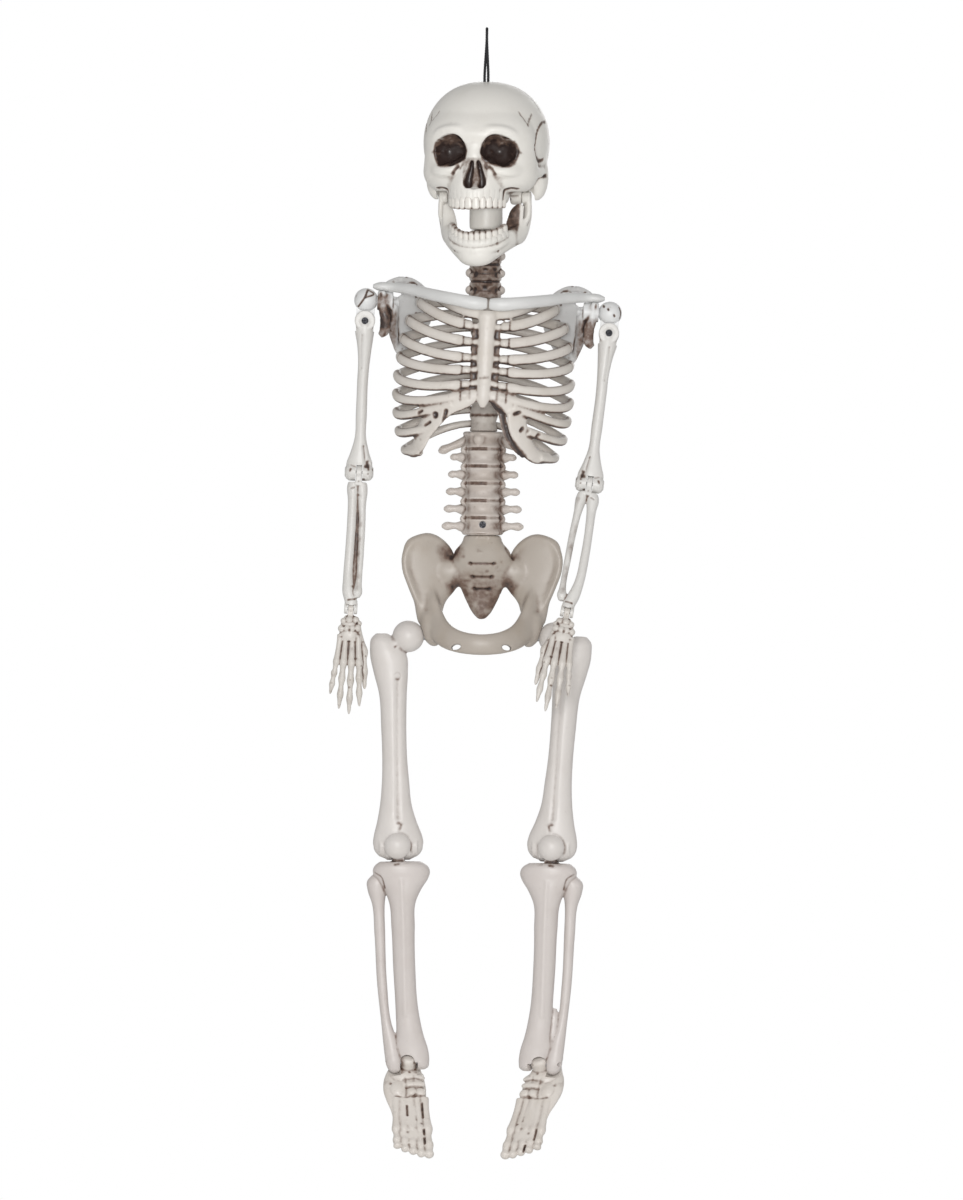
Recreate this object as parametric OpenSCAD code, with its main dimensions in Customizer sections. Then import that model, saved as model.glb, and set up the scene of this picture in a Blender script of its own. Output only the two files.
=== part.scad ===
// Hanging skeleton figure with swinging limbs.
// Millimetres. Z is up and the figure faces -Y, so +X is its left side.
// The origin is the bearing point inside the top of the cord loop.

/* [Pose at rest] */
// Turn of the head towards its right side, degrees
head_turn = 10; // [0:1:20]
// Opening of the jaw from shut teeth, degrees
jaw_open = 17; // [12:1:20]
// Roll of the chest with its left shoulder down, degrees
chest_roll = 2.5; // [0:0.5:4]
// Inward lean of the upper arms, right then left, degrees
arm_lean = [0.9, 4.2]; // [0:0.1:6]
// Forward swing of the upper arms, right then left, degrees
arm_swing = [-3, 5]; // [-6:1:8]
// Inward lean of the forearms at the elbow, right then left, degrees
forearm_lean = [-1.2, 2.5]; // [-4:0.1:4]
// Bend of the elbows, right then left, degrees
elbow_bend = [9, 14]; // [5:1:20]
// Twist of the wrist end of the forearms, right then left, degrees
forearm_twist = [35, 5]; // [0:1:45]
// Inward lean of the thighs, right then left, degrees
thigh_lean = [0.5, 2.6]; // [0:0.1:4]
// Inward twist of the thighs, right then left, degrees
thigh_twist = [2, 9]; // [0:1:12]
// Inward lean of the shins at the knee, right then left, degrees
shin_lean = [0.7, -2]; // [-3:0.1:3]
// Inward turn of the feet at the ankle, right then left, degrees
toe_in = [3, 12]; // [0:1:15]
// Droop of the toes below level, degrees
foot_droop = 50; // [40:1:60]

/* [Hanging cord] */
// Height of the loop's bearing point above the skull
loop_h = 43; // [38:0.5:44]
// Diameter of the cord
cord_d = 2.4; // [2:0.1:2.6]
// Diameter of the cord hole in the skull
cord_hole_d = 6; // [5.6:0.1:8]

/* [Skull] */
// Width of the cranium
cranium_w = 105; // [98:1:115]
// Depth of the cranium, front to back
cranium_d = 126; // [118:1:140]
// Height of the cranium
cranium_h = 102; // [96:1:112]
// Width of the face across the brow
face_w = 90; // [84:1:98]
// Width of the upper jaw
maxilla_w = 49; // [44:1:54]
// Distance between the centres of the eye sockets
orbit_gap = 46; // [42:1:48]
// Width of an eye socket
orbit_w = 31; // [27:1:33]
// Height of an eye socket
orbit_h = 26; // [22:1:29]
// Depth of the eye sockets' centre below the top of the skull
orbit_drop = 57; // [54:1:60]
// Height of a tooth
tooth_h = 9; // [7:0.5:11]
// Diameter of the hollow inside the skull
cavity_d = 80; // [70:1:82]

/* [Jaw] */
// Width over the two sides of the jaw
jaw_w = 77; // [72:1:82]
// Thickness of a side of the jaw
jaw_t = 7; // [5:0.5:9]
// Depth of the jaw hinge below the top of the skull
jaw_pin_drop = 97; // [94:1:100]
// Forward reach of the chin from the jaw hinge
jaw_reach = 63; // [58:1:68]
// Diameter of the jaw pins
jaw_pin_d = 4; // [3:0.5:5]

/* [Neck and spine] */
// Length of the neck from the skull to the chest
neck_len = 57; // [52:1:62]
// Diameter of a neck vertebra
neck_d = 27; // [24:1:30]
// Diameter of the neck peg in the skull
neck_peg_d = 18; // [15:0.5:20]
// Height of the upper spine, neck to lumbar spine
upper_spine_h = 111; // [106:1:118]
// Diameter of an upper vertebra
upper_spine_d = 24; // [20:1:28]
// Height of one lumbar vertebra
lumbar_pitch = 14.4; // [13:0.2:16]
// Diameter of a lumbar vertebra
lumbar_d = 35; // [31:1:38]
// Span of the lumbar side processes
process_span = 64; // [56:1:72]
// Diameter of the pegs between the spine's pieces
spigot_d = 12; // [9:0.5:14]
// Length of the pegs between the spine's pieces
spigot_h = 15; // [10:1:20]
// Head diameter of the spine screw
screw_head_d = 5.6; // [4.5:0.1:7]
// Shank diameter of the spine and shoulder screws
screw_d = 3; // [2.4:0.1:3.6]

/* [Rib cage] */
// Width of the rib cage at its widest rib
chest_w = 151; // [144:1:158]
// Depth of the front half of the rib cage
chest_front_d = 48; // [42:1:54]
// Depth of the back half of the rib cage
chest_back_d = 36; // [32:1:40]
// Distance from one rib to the next
rib_pitch = 15.4; // [14.6:0.2:16.2]
// Height of a rib
rib_h = 9.8; // [8:0.2:10.4]
// Thickness of a rib
rib_t = 5.4; // [4.4:0.2:6]
// Width of the breastbone
sternum_w = 13.5; // [11:0.5:16]

/* [Shoulders and arms] */
// Distance of each shoulder screw from the middle
shoulder_x = 102; // [100:1:110]
// Depth of the shoulder screws below the top of the chest
shoulder_drop = 23.7; // [20:0.1:26]
// Diameter of the shoulder axles
axle_d = 8; // [6:0.5:9]
// Thickness of the yoke's tongue
yoke_t = 6; // [4.5:0.5:7]
// Diameter of the upper arm's head
arm_head_d = 18; // [16:0.5:20]
// Length of the upper arm, screw to elbow pin
upper_arm_len = 127; // [115:1:140]
// Length of the forearm, elbow pin to wrist pin
forearm_len = 115; // [105:1:125]
// Diameter of the elbow knuckles
elbow_d = 15; // [13:0.5:17]
// Width over the elbow knuckles
elbow_w = 24; // [20:0.5:28]
// Diameter of the wrist knuckle
wrist_d = 9; // [8:0.5:11]
// Width over the wrist knuckle
wrist_w = 11; // [10:0.5:13]
// Length of the middle finger's tip below the wrist
hand_len = 83; // [75:1:90]
// Width of the hand across the knuckles
hand_w = 27; // [24:1:30]
// Diameter of the arm pins
arm_pin_d = 2.5; // [2:0.5:3]
// Thickness of the tongues in the elbows and wrists
arm_tongue_t = 5; // [4:0.5:6]

/* [Pelvis and legs] */
// Width of the pelvis across its wings
pelvis_w = 132; // [124:1:140]
// Depth of the hip balls below the top of the sacrum
hip_drop = 85.3; // [80:0.1:90]
// Distance of each hip ball from the middle
hip_x = 61; // [59:1:66]
// Diameter of the hip balls
hip_ball_d = 26.6; // [23:0.2:28]
// Diameter of the hip pins
hip_pin_d = 6; // [5:0.5:8]
// Length of the thigh, hip ball to knee pin
thigh_len = 175; // [160:1:190]
// Diameter of the knee knuckles
knee_d = 24; // [21:0.5:26]
// Width over the knee knuckles
knee_w = 40; // [36:1:44]
// Diameter of the kneecaps
kneecap_d = 22; // [18:1:25]
// Length of the shin, knee pin to ankle pin
shin_len = 181; // [165:1:195]
// Diameter of the ankle knuckles
ankle_d = 14; // [12:0.5:16]
// Width over the ankle knuckles
ankle_w = 33; // [30:1:36]
// Diameter of the knee and ankle pins
leg_pin_d = 4; // [3:0.5:5]
// Thickness of the tongue in the knee
knee_tongue_t = 10; // [8:0.5:12]
// Thickness of the tongue in the ankle
ankle_tongue_t = 14; // [12:0.5:16]
// Reach of the toes from the ankle
foot_len = 88; // [82:1:96]
// Width of the foot across the toes
foot_w = 33; // [29:1:37]

/* [Fits] */
// Radial clearance of a shaft that turns
turn_gap = 0.05; // [0.02:0.01:0.1]
// Radial clearance of a shaft that is pressed in
press_gap = 0.02; // [0.01:0.01:0.05]
// Gap between faces that pass each other
pass_gap = 0.3; // [0.2:0.05:0.5]

/* [Hidden] */

$fn = 48;
bone = [0.87, 0.83, 0.76];
steel = [0.66, 0.66, 0.68];
black = [0.05, 0.05, 0.06];
RIGHT = -1;
LEFT = 1;
mm = 0.001;

// Frames as 4 x 4 matrices
function shift(v) = [[1, 0, 0, v[0]], [0, 1, 0, v[1]], [0, 0, 1, v[2]], [0, 0, 0, 1]];
function turn_x(a) = [[1, 0, 0, 0], [0, cos(a), -sin(a), 0], [0, sin(a), cos(a), 0], [0, 0, 0, 1]];
function turn_y(a) = [[cos(a), 0, sin(a), 0], [0, 1, 0, 0], [-sin(a), 0, cos(a), 0], [0, 0, 0, 1]];
function turn_z(a) = [[cos(a), -sin(a), 0, 0], [sin(a), cos(a), 0, 0], [0, 0, 1, 0], [0, 0, 0, 1]];
function point_in(m, p) = let (q = m * [p[0], p[1], p[2], 1]) [q[0], q[1], q[2]];
function along(m, d) = let (q = m * [d[0], d[1], d[2], 0]) [q[0], q[1], q[2]];
function of_side(pair, s) = s == RIGHT ? pair[0] : pair[1];

// Skull levels below its top
cranium_back = 5;
cavity_drop = cranium_h / 2 - 3;
gum_drop = orbit_drop + 40;
boss_drop = gum_drop + 27;
neck_y = 6;
neck_boss_d = neck_peg_d + 10;
neck_head_d = neck_peg_d + 3;
neck_head_h = 3.5;
neck_head_drop = cavity_drop - pass_gap + sqrt(pow(cavity_d / 2, 2)
    - pow(neck_y - cranium_back + neck_head_d / 2, 2));
jaw_pin_y = 2;
jaw_swing_r = 13;
skull_frame = shift([0, 0, -loop_h]) * turn_z(-head_turn);
jaw_frame = skull_frame * shift([0, jaw_pin_y, -jaw_pin_drop]) * turn_x(jaw_open);
knot_d = 9.2;
knot_flat = 3.2;
knot_edge = cranium_back + sqrt(knot_d * knot_d / 4 - knot_flat * knot_flat);
knot_top = -loop_h - cavity_drop + sqrt(cavity_d * cavity_d / 4 - knot_edge * knot_edge) - 0.13;

// Cord route: up one strand, round the bearing point and down the other
cord_route = [[1.5, 0, knot_top], [1.5, 0, -43], [1.5, -1, -37], [1.2, -2, -30], [0.8, -3.2, -23],
    [0.4, -4.4, -16], [0.1, -5.3, -10], [0, -5.5, -5.5], [0, -5, -2], [0, -3, 0.5], [0, 0, 1.2],
    [0, 3, 0.5], [0, 5, -2], [0, 5.5, -5.5], [-0.1, 5.3, -10], [-0.4, 4.4, -16],
    [-0.8, 3.2, -23], [-1.2, 2, -30], [-1.5, 1, -37], [-1.5, 0, -43], [-1.5, 0, knot_top]];
cord_sides = 8;

// Torso levels; the torso's own zero lines run down the neck's axis
neck_at = point_in(skull_frame, [0, neck_y, 0]);
torso_frame = shift([neck_at[0], neck_at[1], 0]);
neck_top = -loop_h - boss_drop - pass_gap;
chest_top = neck_top - neck_len;
spine_joint = chest_top - upper_spine_h;
lumbar_n = 6;
lumbar_bottom = spine_joint - lumbar_n * lumbar_pitch;
chest_pivot = chest_top - 4.2 * rib_pitch;
chest_frame = torso_frame * shift([0, 0, chest_pivot]) * turn_y(chest_roll)
    * shift([0, 0, -chest_pivot]);

// Arms: frames at the shoulder axle, the screw, the elbow pin and the wrist pin
yoke_drop = 17;
yoke_r = 10;
shoulder_y = -6;
boss_end = shoulder_x - sqrt(yoke_r * yoke_r - axle_d * axle_d / 4) - pass_gap;
boss_r = axle_d / 2 + 4;
boss_len = 13;
axle_len = 12;
slot_t = yoke_t + 2 * pass_gap;
head_t = 15;
elbow_slot = arm_tongue_t + 2 * pass_gap;
girdle_z = chest_top - shoulder_drop + yoke_drop;
function yoke_frame(s) = chest_frame * shift([s * shoulder_x, shoulder_y, girdle_z])
    * turn_x(-of_side(arm_swing, s));
function arm_frame(s) = yoke_frame(s) * shift([0, 0, -yoke_drop]) * turn_y(s * of_side(arm_lean, s));
function elbow_axis(s) = arm_frame(s) * shift([0, 0, -upper_arm_len])
    * turn_y(s * of_side(forearm_lean, s));
function forearm_frame(s) = elbow_axis(s) * turn_x(-of_side(elbow_bend, s));
function hand_frame(s) = forearm_frame(s) * shift([0, 0, -forearm_len]);

// Legs: frames at the hip ball, the knee pin and the ankle pin
hip_y = 2;
hip_z = lumbar_bottom - hip_drop;
hip_face = hip_x - hip_ball_d / 2 - pass_gap;
knee_out = 8;
knee_slot = knee_tongue_t + 2 * pass_gap;
ankle_in = 7;
ankle_arch = 3;
ankle_swing_r = 11;
function hip_frame(s) = torso_frame * shift([s * hip_x, hip_y, hip_z]);
function thigh_frame(s) = hip_frame(s) * turn_y(s * of_side(thigh_lean, s))
    * turn_z(-s * of_side(thigh_twist, s));
function shin_frame(s) = thigh_frame(s) * shift([s * knee_out, 0, -thigh_len])
    * turn_y(s * of_side(shin_lean, s));
function ankle_frame(s) = shin_frame(s) * shift([-s * ankle_in, 2, -shin_len])
    * turn_z(-s * of_side(toe_in, s));
function foot_frame(s) = ankle_frame(s) * turn_x(foot_droop);

// Merges its children into one skin
module skin() resize([0, 0, 0]) union() children();

// Children as they are and mirrored to the other side
module both() {
    children();
    mirror([1, 0, 0]) children();
}

// Children for one side: as drawn on the left, mirrored on the right
module on_side(s) mirror([s == RIGHT ? 1 : 0, 0, 0]) children();

function unit(v) = v / norm(v);
function tangent(path, i) = unit(path[min(i + 1, len(path) - 1)] - path[max(i - 1, 0)]);

// Ring of n points across direction t: half size a sideways, b outwards
function ring(c, t, out, a, b, n) =
    let (v = unit(out - (out * t) * t), u = cross(v, t))
    [for (i = [0:n - 1]) let (w = 360 * i / n) c + a * cos(w) * u + b * sin(w) * v];

// Solid through a list of rings with equal numbers of points
module loft(rings) {
    n = len(rings[0]);
    last = len(rings) - 1;
    sides = [for (j = [0:last - 1], i = [0:n - 1])
        let (k = (i + 1) % n, a = j * n + i, b = j * n + k, c = a + n, d = b + n)
        each [[a, d, b], [a, c, d]]];
    low = [for (i = [1:n - 2]) [0, i, i + 1]];
    high = [for (i = [1:n - 2]) [last * n, last * n + i + 1, last * n + i]];
    polyhedron([for (r = rings) each r], concat(low, sides, high));
}

// Solid through level ellipses [x, y, z, half width, half depth]
module stack(stations, n) {
    way = stations[0][2] > stations[1][2] ? -1 : 1;
    loft([for (s = stations) [for (i = [0:n - 1])
        let (w = 360 * i / n) [s[0] + s[3] * cos(w), s[1] + way * s[4] * sin(w), s[2]]]]);
}

// Bar along a path of points [x, y, z] with half sizes [sideways, outwards]; its start faces the way first
module sweep(path, outs, sizes, n, first = [0, 0, 0]) {
    loft([for (i = [0:len(path) - 1])
        let (t = i == 0 && norm(first) > 0 ? first : tangent(path, i))
        ring(path[i], t, outs[i], sizes[i][0], sizes[i][1], n)]);
}

// Ellipsoid with half sizes r, turned by a
module blob(c, r, a = [0, 0, 0], n = 12) translate(c) rotate(a) scale(r) sphere(1, $fn = n);

// Exact cylinder along X, from x0 to x1
module bar_x(x0, x1, r, y = 0, z = 0) translate([x0, y, z]) rotate([0, 90, 0]) cylinder(h = x1 - x0, r = r);

// Barrel along X, w wide, with ends rounded over the length e
module knuckle(w, r, e) rotate([0, 90, 0]) rotate_extrude()
    polygon([[0, -w / 2], [r - 0.9 * e, -w / 2], [r - 0.3 * e, -w / 2 + 0.3 * e], [r, -w / 2 + e],
        [r, w / 2 - e],
        [r - 0.3 * e, w / 2 - 0.3 * e], [r - 0.9 * e, w / 2], [0, w / 2]]);

// Hanging cord

module hanging_cord() color(black) {
    n = len(cord_route);
    loft([for (i = [0:n - 1]) ring(cord_route[i], tangent(cord_route, i),
        abs(i - (n - 1) / 2) < 3 ? [1, 0, 0] : [1, 0.02, 0], cord_d / 2, cord_d / 2, cord_sides)]);
}

module cord_knot() color(black) translate([0, 0, knot_top - knot_flat]) intersection() {
    sphere(knot_d / 2);
    translate([-knot_d, -knot_d, -knot_d]) cube([2 * knot_d, 2 * knot_d, knot_d + knot_flat]);
}

// Skull

module cranium() {
    round_off = 0.86;
    angles = [5, 14, 28, 44, 62, 80, 98, 116, 134, 146];
    stack([for (a = angles) let (f = pow(sin(a), round_off))
        [0, cranium_back, cranium_h / 2 * (cos(a) - 1), cranium_w / 2 * f, cranium_d / 2 * f]], 20);
}

module face() {
    f = face_w / 2;
    z = -orbit_drop;
    stack([[0, -20, z + 32, 0.8 * f, 33], [0, -23, z + 20, 0.98 * f, 37.4],
        [0, -24, z + 12, 1.03 * f, 38.4],
        [0, -22, z + 2, 1.04 * f, 36], [0, -22, z - 12, 1.06 * f, 35], [0, -22, z - 21, 1.07 * f, 34.4],
        [0, -21, z - 27, 1.03 * f, 33], [0, -20, z - 32, 0.94 * f, 30],
        [0, -19, z - 35, 0.84 * f, 26]], 20);
}

// Front of the upper jaw, below the nose
module maxilla() {
    m = maxilla_w / 2;
    z = -orbit_drop;
    stack([[0, -26, z - 10, 0.84 * m, 30], [0, -28, z - 18, 1.02 * m, 32], [0, -29, z - 26, 1.07 * m, 33.4],
        [0, -30, -gum_drop + 6, 1.04 * m, 33.6], [0, -30, -gum_drop - 1, 0.99 * m, 33],
        [0, -30, -gum_drop - 3, 0.92 * m, 31]], 16);
}

module cheek() {
    f = face_w / 2;
    z = -orbit_drop - 19;
    path = [[0.84 * f, -38, z], [0.98 * f, -27, z], [1.04 * f, -13, z], [1.05 * f, 1, z + 1],
        [0.98 * f, 12, z + 2]];
    sweep(path, [for (p = path) [1, -0.4, 0]], [[4, 3], [4.8, 3.4], [4.6, 3], [4.6, 3], [5, 3]], 8);
}

module nasal_bridge() {
    z = -orbit_drop;
    path = [[0, -55, z + 16], [0, -56, z + 7], [0, -56.6, z - 1], [0, -57, z - 8], [0, -56, z - 13]];
    sweep(path, [for (p = path) [0, -1, 0.2]], [[10, 3], [7.4, 3.4], [6.6, 3.6], [6.4, 3.6], [5, 2]], 10);
}

module mastoid() {
    x = 0.83 * cranium_w / 2;
    z = -orbit_drop;
    stack([[x - 2, 12, z - 12, 9, 15], [x, 10, z - 26, 8, 13], [x - 0.6, 9, z - 34, 7, 10],
        [x - 1.4, 8.5, z - 39, 5.2, 7], [x - 2, 8, z - 42, 2.6, 3.6]], 12);
}

// One side of the hinge that carries the jaw
module jaw_lug() {
    out = jaw_w / 2 - jaw_t - pass_gap;
    r = jaw_pin_d / 2 + 4;
    translate([out - 10, jaw_pin_y, -jaw_pin_drop]) rotate([0, 90, 0]) cylinder(h = 10, r = r, $fn = 18);
    translate([out - 10, jaw_pin_y - r, -jaw_pin_drop]) cube([10, 2 * r, 22]);
}

// Row of teeth round an arch: half width a, depth b, standing down (way -1) or up (way 1)
module teeth(a, b, y, z, way, w, count) {
    d = 5;
    step = 118 / (count - 1);
    for (i = [0:count - 1]) {
        t = -59 + i * step;
        wide = w * (1 - 0.0022 * abs(t));
        translate([a * sin(t), y - b * cos(t), z]) rotate([0, 0, t * 0.88])
            loft([for (k = [[-3, 0.4, 0.9], [0.3 * tooth_h, 0.5, 1], [0.85 * tooth_h, 0.47, 0.8],
                [tooth_h, 0.4, 0.5]])
                [for (c = [[-1, -1], [1, -1], [1, 1], [-1, 1]])
                    [c[0] * wide * k[1], way * c[1] * d / 2 * k[2], way * k[0]]]]);
    }
}

module orbit() {
    blob([orbit_gap / 2, -59, -orbit_drop - 1.2], [orbit_w / 2, 22, orbit_h / 2], [0, 20, 18], 20);
}

module nostril() {
    z = -orbit_drop - 10;
    stack([[2.6, -62, z + 1.6, 1.6, 9], [3.2, -62, z - 2, 2.5, 10], [4, -62, z - 7, 3.3, 10],
        [5, -62, z - 13, 4.3, 10], [5.3, -62, z - 17, 4.5, 10], [5, -62, z - 20, 3, 9]], 10);
}

module temple() {
    blob([cranium_w / 2 + 12, -16, -orbit_drop + 1], [15, 22, 22], [0, 0, -14], 14);
}

module skull() color(bone) multmatrix(skull_frame) difference() {
    skin() difference() {
        union() {
            cranium();
            face();
            maxilla();
            both() {
                cheek();
                mastoid();
                jaw_lug();
            }
            nasal_bridge();
            teeth(maxilla_w / 2 - 1.6, 30.6, -30, -gum_drop - 1, -1, 7.8, 10);
            translate([0, neck_y, -boss_drop]) cylinder(h = 46, d = neck_boss_d, $fn = 24);
        }
        both() {
            orbit();
            nostril();
            temple();
        }
    }
    translate([0, cranium_back, -cavity_drop]) sphere(d = cavity_d);
    translate([0, 0, -cavity_drop]) cylinder(h = cavity_drop + 1, d = cord_hole_d);
    translate([0, neck_y, -boss_drop - 1]) cylinder(h = 52, d = neck_peg_d + 2 * turn_gap);
    for (s = [RIGHT, LEFT]) on_side(s) {
        bar_x(jaw_w / 2 - jaw_t - 8, jaw_w / 2, jaw_pin_d / 2 + press_gap, jaw_pin_y, -jaw_pin_drop);
        bar_x(jaw_w / 2 - jaw_t - pass_gap, jaw_w / 2 + 2 * pass_gap, jaw_swing_r, jaw_pin_y,
            -jaw_pin_drop);
    }
}

// Jaw

module jaw_body() {
    x = jaw_w / 2 - jaw_t / 2;
    reach = jaw_reach - 7;
    side = [[x, 2, 5], [x, 1.5, -3], [x, 0, -11], [x - 0.4, -4, -19.5], [x - 2.6, -12, -25.2],
        [x - 7.5, -25, -26.4], [x - 14.6, -0.7 * reach, -27.8], [x - 23, -0.9 * reach, -30.2],
        [6.6, -reach, -31.6]];
    half = [[5.4, 3.3], [8, 3.5], [9.4, 3.7], [10, 3.9], [9.2, 4.4], [8.2, 5], [8.4, 5.7],
        [9.6, 6.3], [10.6, 6.8]];
    last = len(side) - 1;
    path = concat(side, [for (i = [last:-1:0]) [-side[i][0], side[i][1], side[i][2]]]);
    sizes = concat(half, [for (i = [last:-1:0]) half[i]]);
    sweep(path, [for (p = path) [p[0], 0.9 * (p[1] + 14), 0]], sizes, 10);
}

module jaw() color(bone) multmatrix(jaw_frame) difference() {
    union() {
        skin() {
            jaw_body();
            blob([0, -jaw_reach + 8, -35], [12, 7.6, 7.4], [0, 0, 0], 16);
            teeth(maxilla_w / 2 - 2.6, 29.6, -28.5, -tooth_h - 12, 1, 7.2, 10);
        }
        for (s = [RIGHT, LEFT]) on_side(s) bar_x(jaw_w / 2 - jaw_t, jaw_w / 2, jaw_pin_d / 2 + 3.5);
    }
    for (s = [RIGHT, LEFT]) on_side(s) {
        bar_x(jaw_w / 2 - jaw_t - 5, jaw_w / 2 + 5, jaw_pin_d / 2 + turn_gap);
        bar_x(jaw_w / 2 - jaw_t - 16, jaw_w / 2 - jaw_t, jaw_pin_d / 2 + 8);
    }
}

module jaw_pin(s) color(bone) multmatrix(skull_frame) on_side(s)
    bar_x(jaw_w / 2 - jaw_t - 7.5, jaw_w / 2 - 0.4, jaw_pin_d / 2, jaw_pin_y, -jaw_pin_drop);

// Neck and spine

// Outline of a column of n vertebrae with waists, from z = 0 down
function column(n, pitch, r, waist) = [for (i = [0:n - 1]) let (z = -i * pitch)
    each [[r - 1.6, z], [r, z - 0.12 * pitch], [r - waist, z - 0.5 * pitch], [r, z - 0.88 * pitch],
        [r - 1.6, z - pitch]]];

module neck() color(bone) multmatrix(torso_frame) {
    n = 4;
    pitch = neck_len / n;
    r = neck_d / 2;
    peg_top = -loop_h - neck_head_drop;
    translate([0, 0, neck_top]) rotate_extrude()
        polygon(concat([[0, 0]], column(n, pitch, r, 2.2), [[0, -neck_len]]));
    translate([0, 0, neck_top - 1]) cylinder(h = peg_top - neck_top + 1 + neck_head_h, d = neck_peg_d);
    translate([0, 0, peg_top]) cylinder(h = neck_head_h, d = neck_head_d);
    for (i = [0:n - 1], s = [-1, 1]) translate([s * (r - 0.6), 1, neck_top - (i + 0.5) * pitch])
        sphere(r = 4);
    for (i = [0:n - 1]) translate([0, r + 1, neck_top - (i + 0.6) * pitch]) rotate([60, 0, 0])
        cylinder(h = 11, r1 = 2, r2 = 4, center = true);
    translate([0, 0, chest_top - spigot_h]) cylinder(h = spigot_h + 2, d = spigot_d);
}

module lumbar_spine() color(bone) multmatrix(torso_frame) difference() {
    r = lumbar_d / 2;
    reach = process_span / 2;
    union() {
        translate([0, 0, spine_joint]) rotate_extrude()
            polygon(concat([[0, 0]], column(lumbar_n, lumbar_pitch, r, 2.6),
                [[0, -lumbar_n * lumbar_pitch]]));
        for (i = [1:lumbar_n - 1], s = [-1, 1]) let (h = reach - r + 3 - 1.6 * (lumbar_n - 1 - i))
            translate([s * (r - 3), 2, spine_joint - (i + 0.5) * lumbar_pitch]) rotate([0, s * 90, 0]) {
                cylinder(h = h, r1 = 4.2, r2 = 2.5);
                translate([0, 0, h]) sphere(r = 2.5);
            }
        for (s = [-1, 1]) translate([s * (r - 3), 2, spine_joint - 0.55 * lumbar_pitch])
            rotate([0, s * 112, 0]) {
            cylinder(h = reach - r + 7, r1 = 4, r2 = 2.8);
            translate([0, 0, reach - r + 7]) sphere(r = 2.8);
        }
        for (i = [0:lumbar_n - 1]) translate([-2, r - 4, spine_joint - (i + 0.9) * lumbar_pitch])
            rotate([-14, 0, 0]) cube([4, 15, 9]);
        translate([0, 0, spine_joint]) cylinder(h = spigot_h, d = spigot_d);
    }
    translate([0, 0, lumbar_bottom - 1]) cylinder(h = spigot_h + 2, d = spigot_d + 2 * press_gap);
    translate([0, 0, lumbar_bottom + 0.6 * lumbar_pitch]) rotate([90, 0, 0]) {
        cylinder(h = r + 2, d = screw_d + 2 * press_gap);
        translate([0, 0, r - 4.5]) cylinder(h = 8, d = screw_head_d + 1);
    }
}

module spine_screw() color(steel) multmatrix(torso_frame)
    translate([0, 0, lumbar_bottom + 0.6 * lumbar_pitch]) rotate([90, 0, 0]) difference() {
        r = lumbar_d / 2;
        union() {
            cylinder(h = r - 4.5, d = screw_d);
            translate([0, 0, r - 4.5]) cylinder(h = 2, d = screw_head_d);
        }
        for (a = [0, 90]) translate([0, 0, r - 3]) rotate([0, 0, a])
            cube([0.7 * screw_head_d, 1, 2], center = true);
    }

// Rib cage, drawn on the left side

rib_n = 10;
rib_share = [0.58, 0.79, 0.9, 0.955, 0.98, 1, 1, 0.985, 0.95, 0.87];
rib_stop = [85, 86, 86, 86, 86, 86, 86, 69, 56, 38];
rib_fall = [-13, -18, -15.5, -13, -7, -2.5, 4, 15, 15, 6];
rib_sag = [0, 1, 2, 3, 4.5, 6.5, 7.5, 7, 6, 4];
rib_rise = [-5, 2, 9, 13, 16, 18, 19, 20, 21, 25];
rib_mid_y = -12;
rib_first = 1;
margin_r = [4.6, 7, 9, 9.2, 7.4, 4.4];
rib_bulge = 7;
rib_seat = 7;
spine_bow = chest_back_d + rib_mid_y - rib_seat;
function spine_y(z) = spine_bow * pow(sin(180 * (chest_top - z) / upper_spine_h), 2);
function rib_z(i) = i == 0 ? chest_top - 1 : chest_top - 6 - rib_pitch * (i - rib_first);
function rib_tall(i) = rib_h * (1.03 - 0.03 * i);
function rib_w(i) = chest_w / 2 * rib_share[i] - rib_t / 2;
function rib_front(i, a) = [rib_w(i) * cos(a), rib_mid_y - (chest_front_d - rib_t / 2) * sin(a),
    rib_z(i) + rib_fall[i] * pow(sin(a), 2) - rib_sag[i] * sin(2 * a)];
function rib_back(i, a) = let (depth = spine_y(rib_z(i) + rib_rise[i]) + rib_seat - rib_mid_y)
    [rib_w(i) * cos(a), rib_mid_y + depth * sin(a) + rib_bulge * sin(2 * a),
        rib_z(i) + rib_rise[i] * pow(sin(a), 2)];

module rib_bar(path, tall, thin) {
    sweep(path, [for (p = path) [p[0], 1.4 * (p[1] - rib_mid_y), 0]],
        [for (k = [0:len(path) - 1]) [tall / 2 * (1 - thin * k / (len(path) - 1)), rib_t / 2]],
        6, [0, 1, 0]);
}

module front_ribs() {
    g = rib_t / 2;
    for (i = [0:rib_n - 1]) {
        h = rib_tall(i) / 2;
        stop = rib_stop[i];
        knob = i == 0 || i > 6 ? [] : [for (x = [18.5, 17.4, 13.4, 12.2]) acos(x / rib_w(i))];
        last = len(knob) == 0 ? stop : knob[0];
        angles = concat([0, 0.2, 0.4, 0.6, 0.8, 1] * last, [for (k = [1:3]) each len(knob) == 0 ? []
            : knob[k]],
            len(knob) == 0 ? [] : [stop]);
        path = [for (a = angles) rib_front(i, a)];
        sizes = [for (k = [0:len(path) - 1]) k == 6 || k == 7 ? [1.04 * h, 1.4 * g] : k < 6 ? [h, g]
            : [0.8 * h, 0.9 * g]];
        sweep(path, [for (p = path) [p[0], 1.4 * (p[1] - rib_mid_y), 0]], sizes, 6, [0, -1, 0]);
    }
}

// Bar of cartilage that ties the lower ribs to the breastbone
module rib_margin() {
    path = [rib_front(9, 20) + [0, 0, 1], rib_front(9, 36) + [0, 0, 2], rib_front(8, 54), rib_front(7, 68),
        rib_front(6, 80) + [0, 0, -2], rib_front(6, 86)];
    sweep(path, [for (p = path) [p[0], 1.4 * (p[1] - rib_mid_y), 0]],
        [for (i = [0:len(path) - 1]) [margin_r[i], rib_t / 2]], 8);
}

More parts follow.
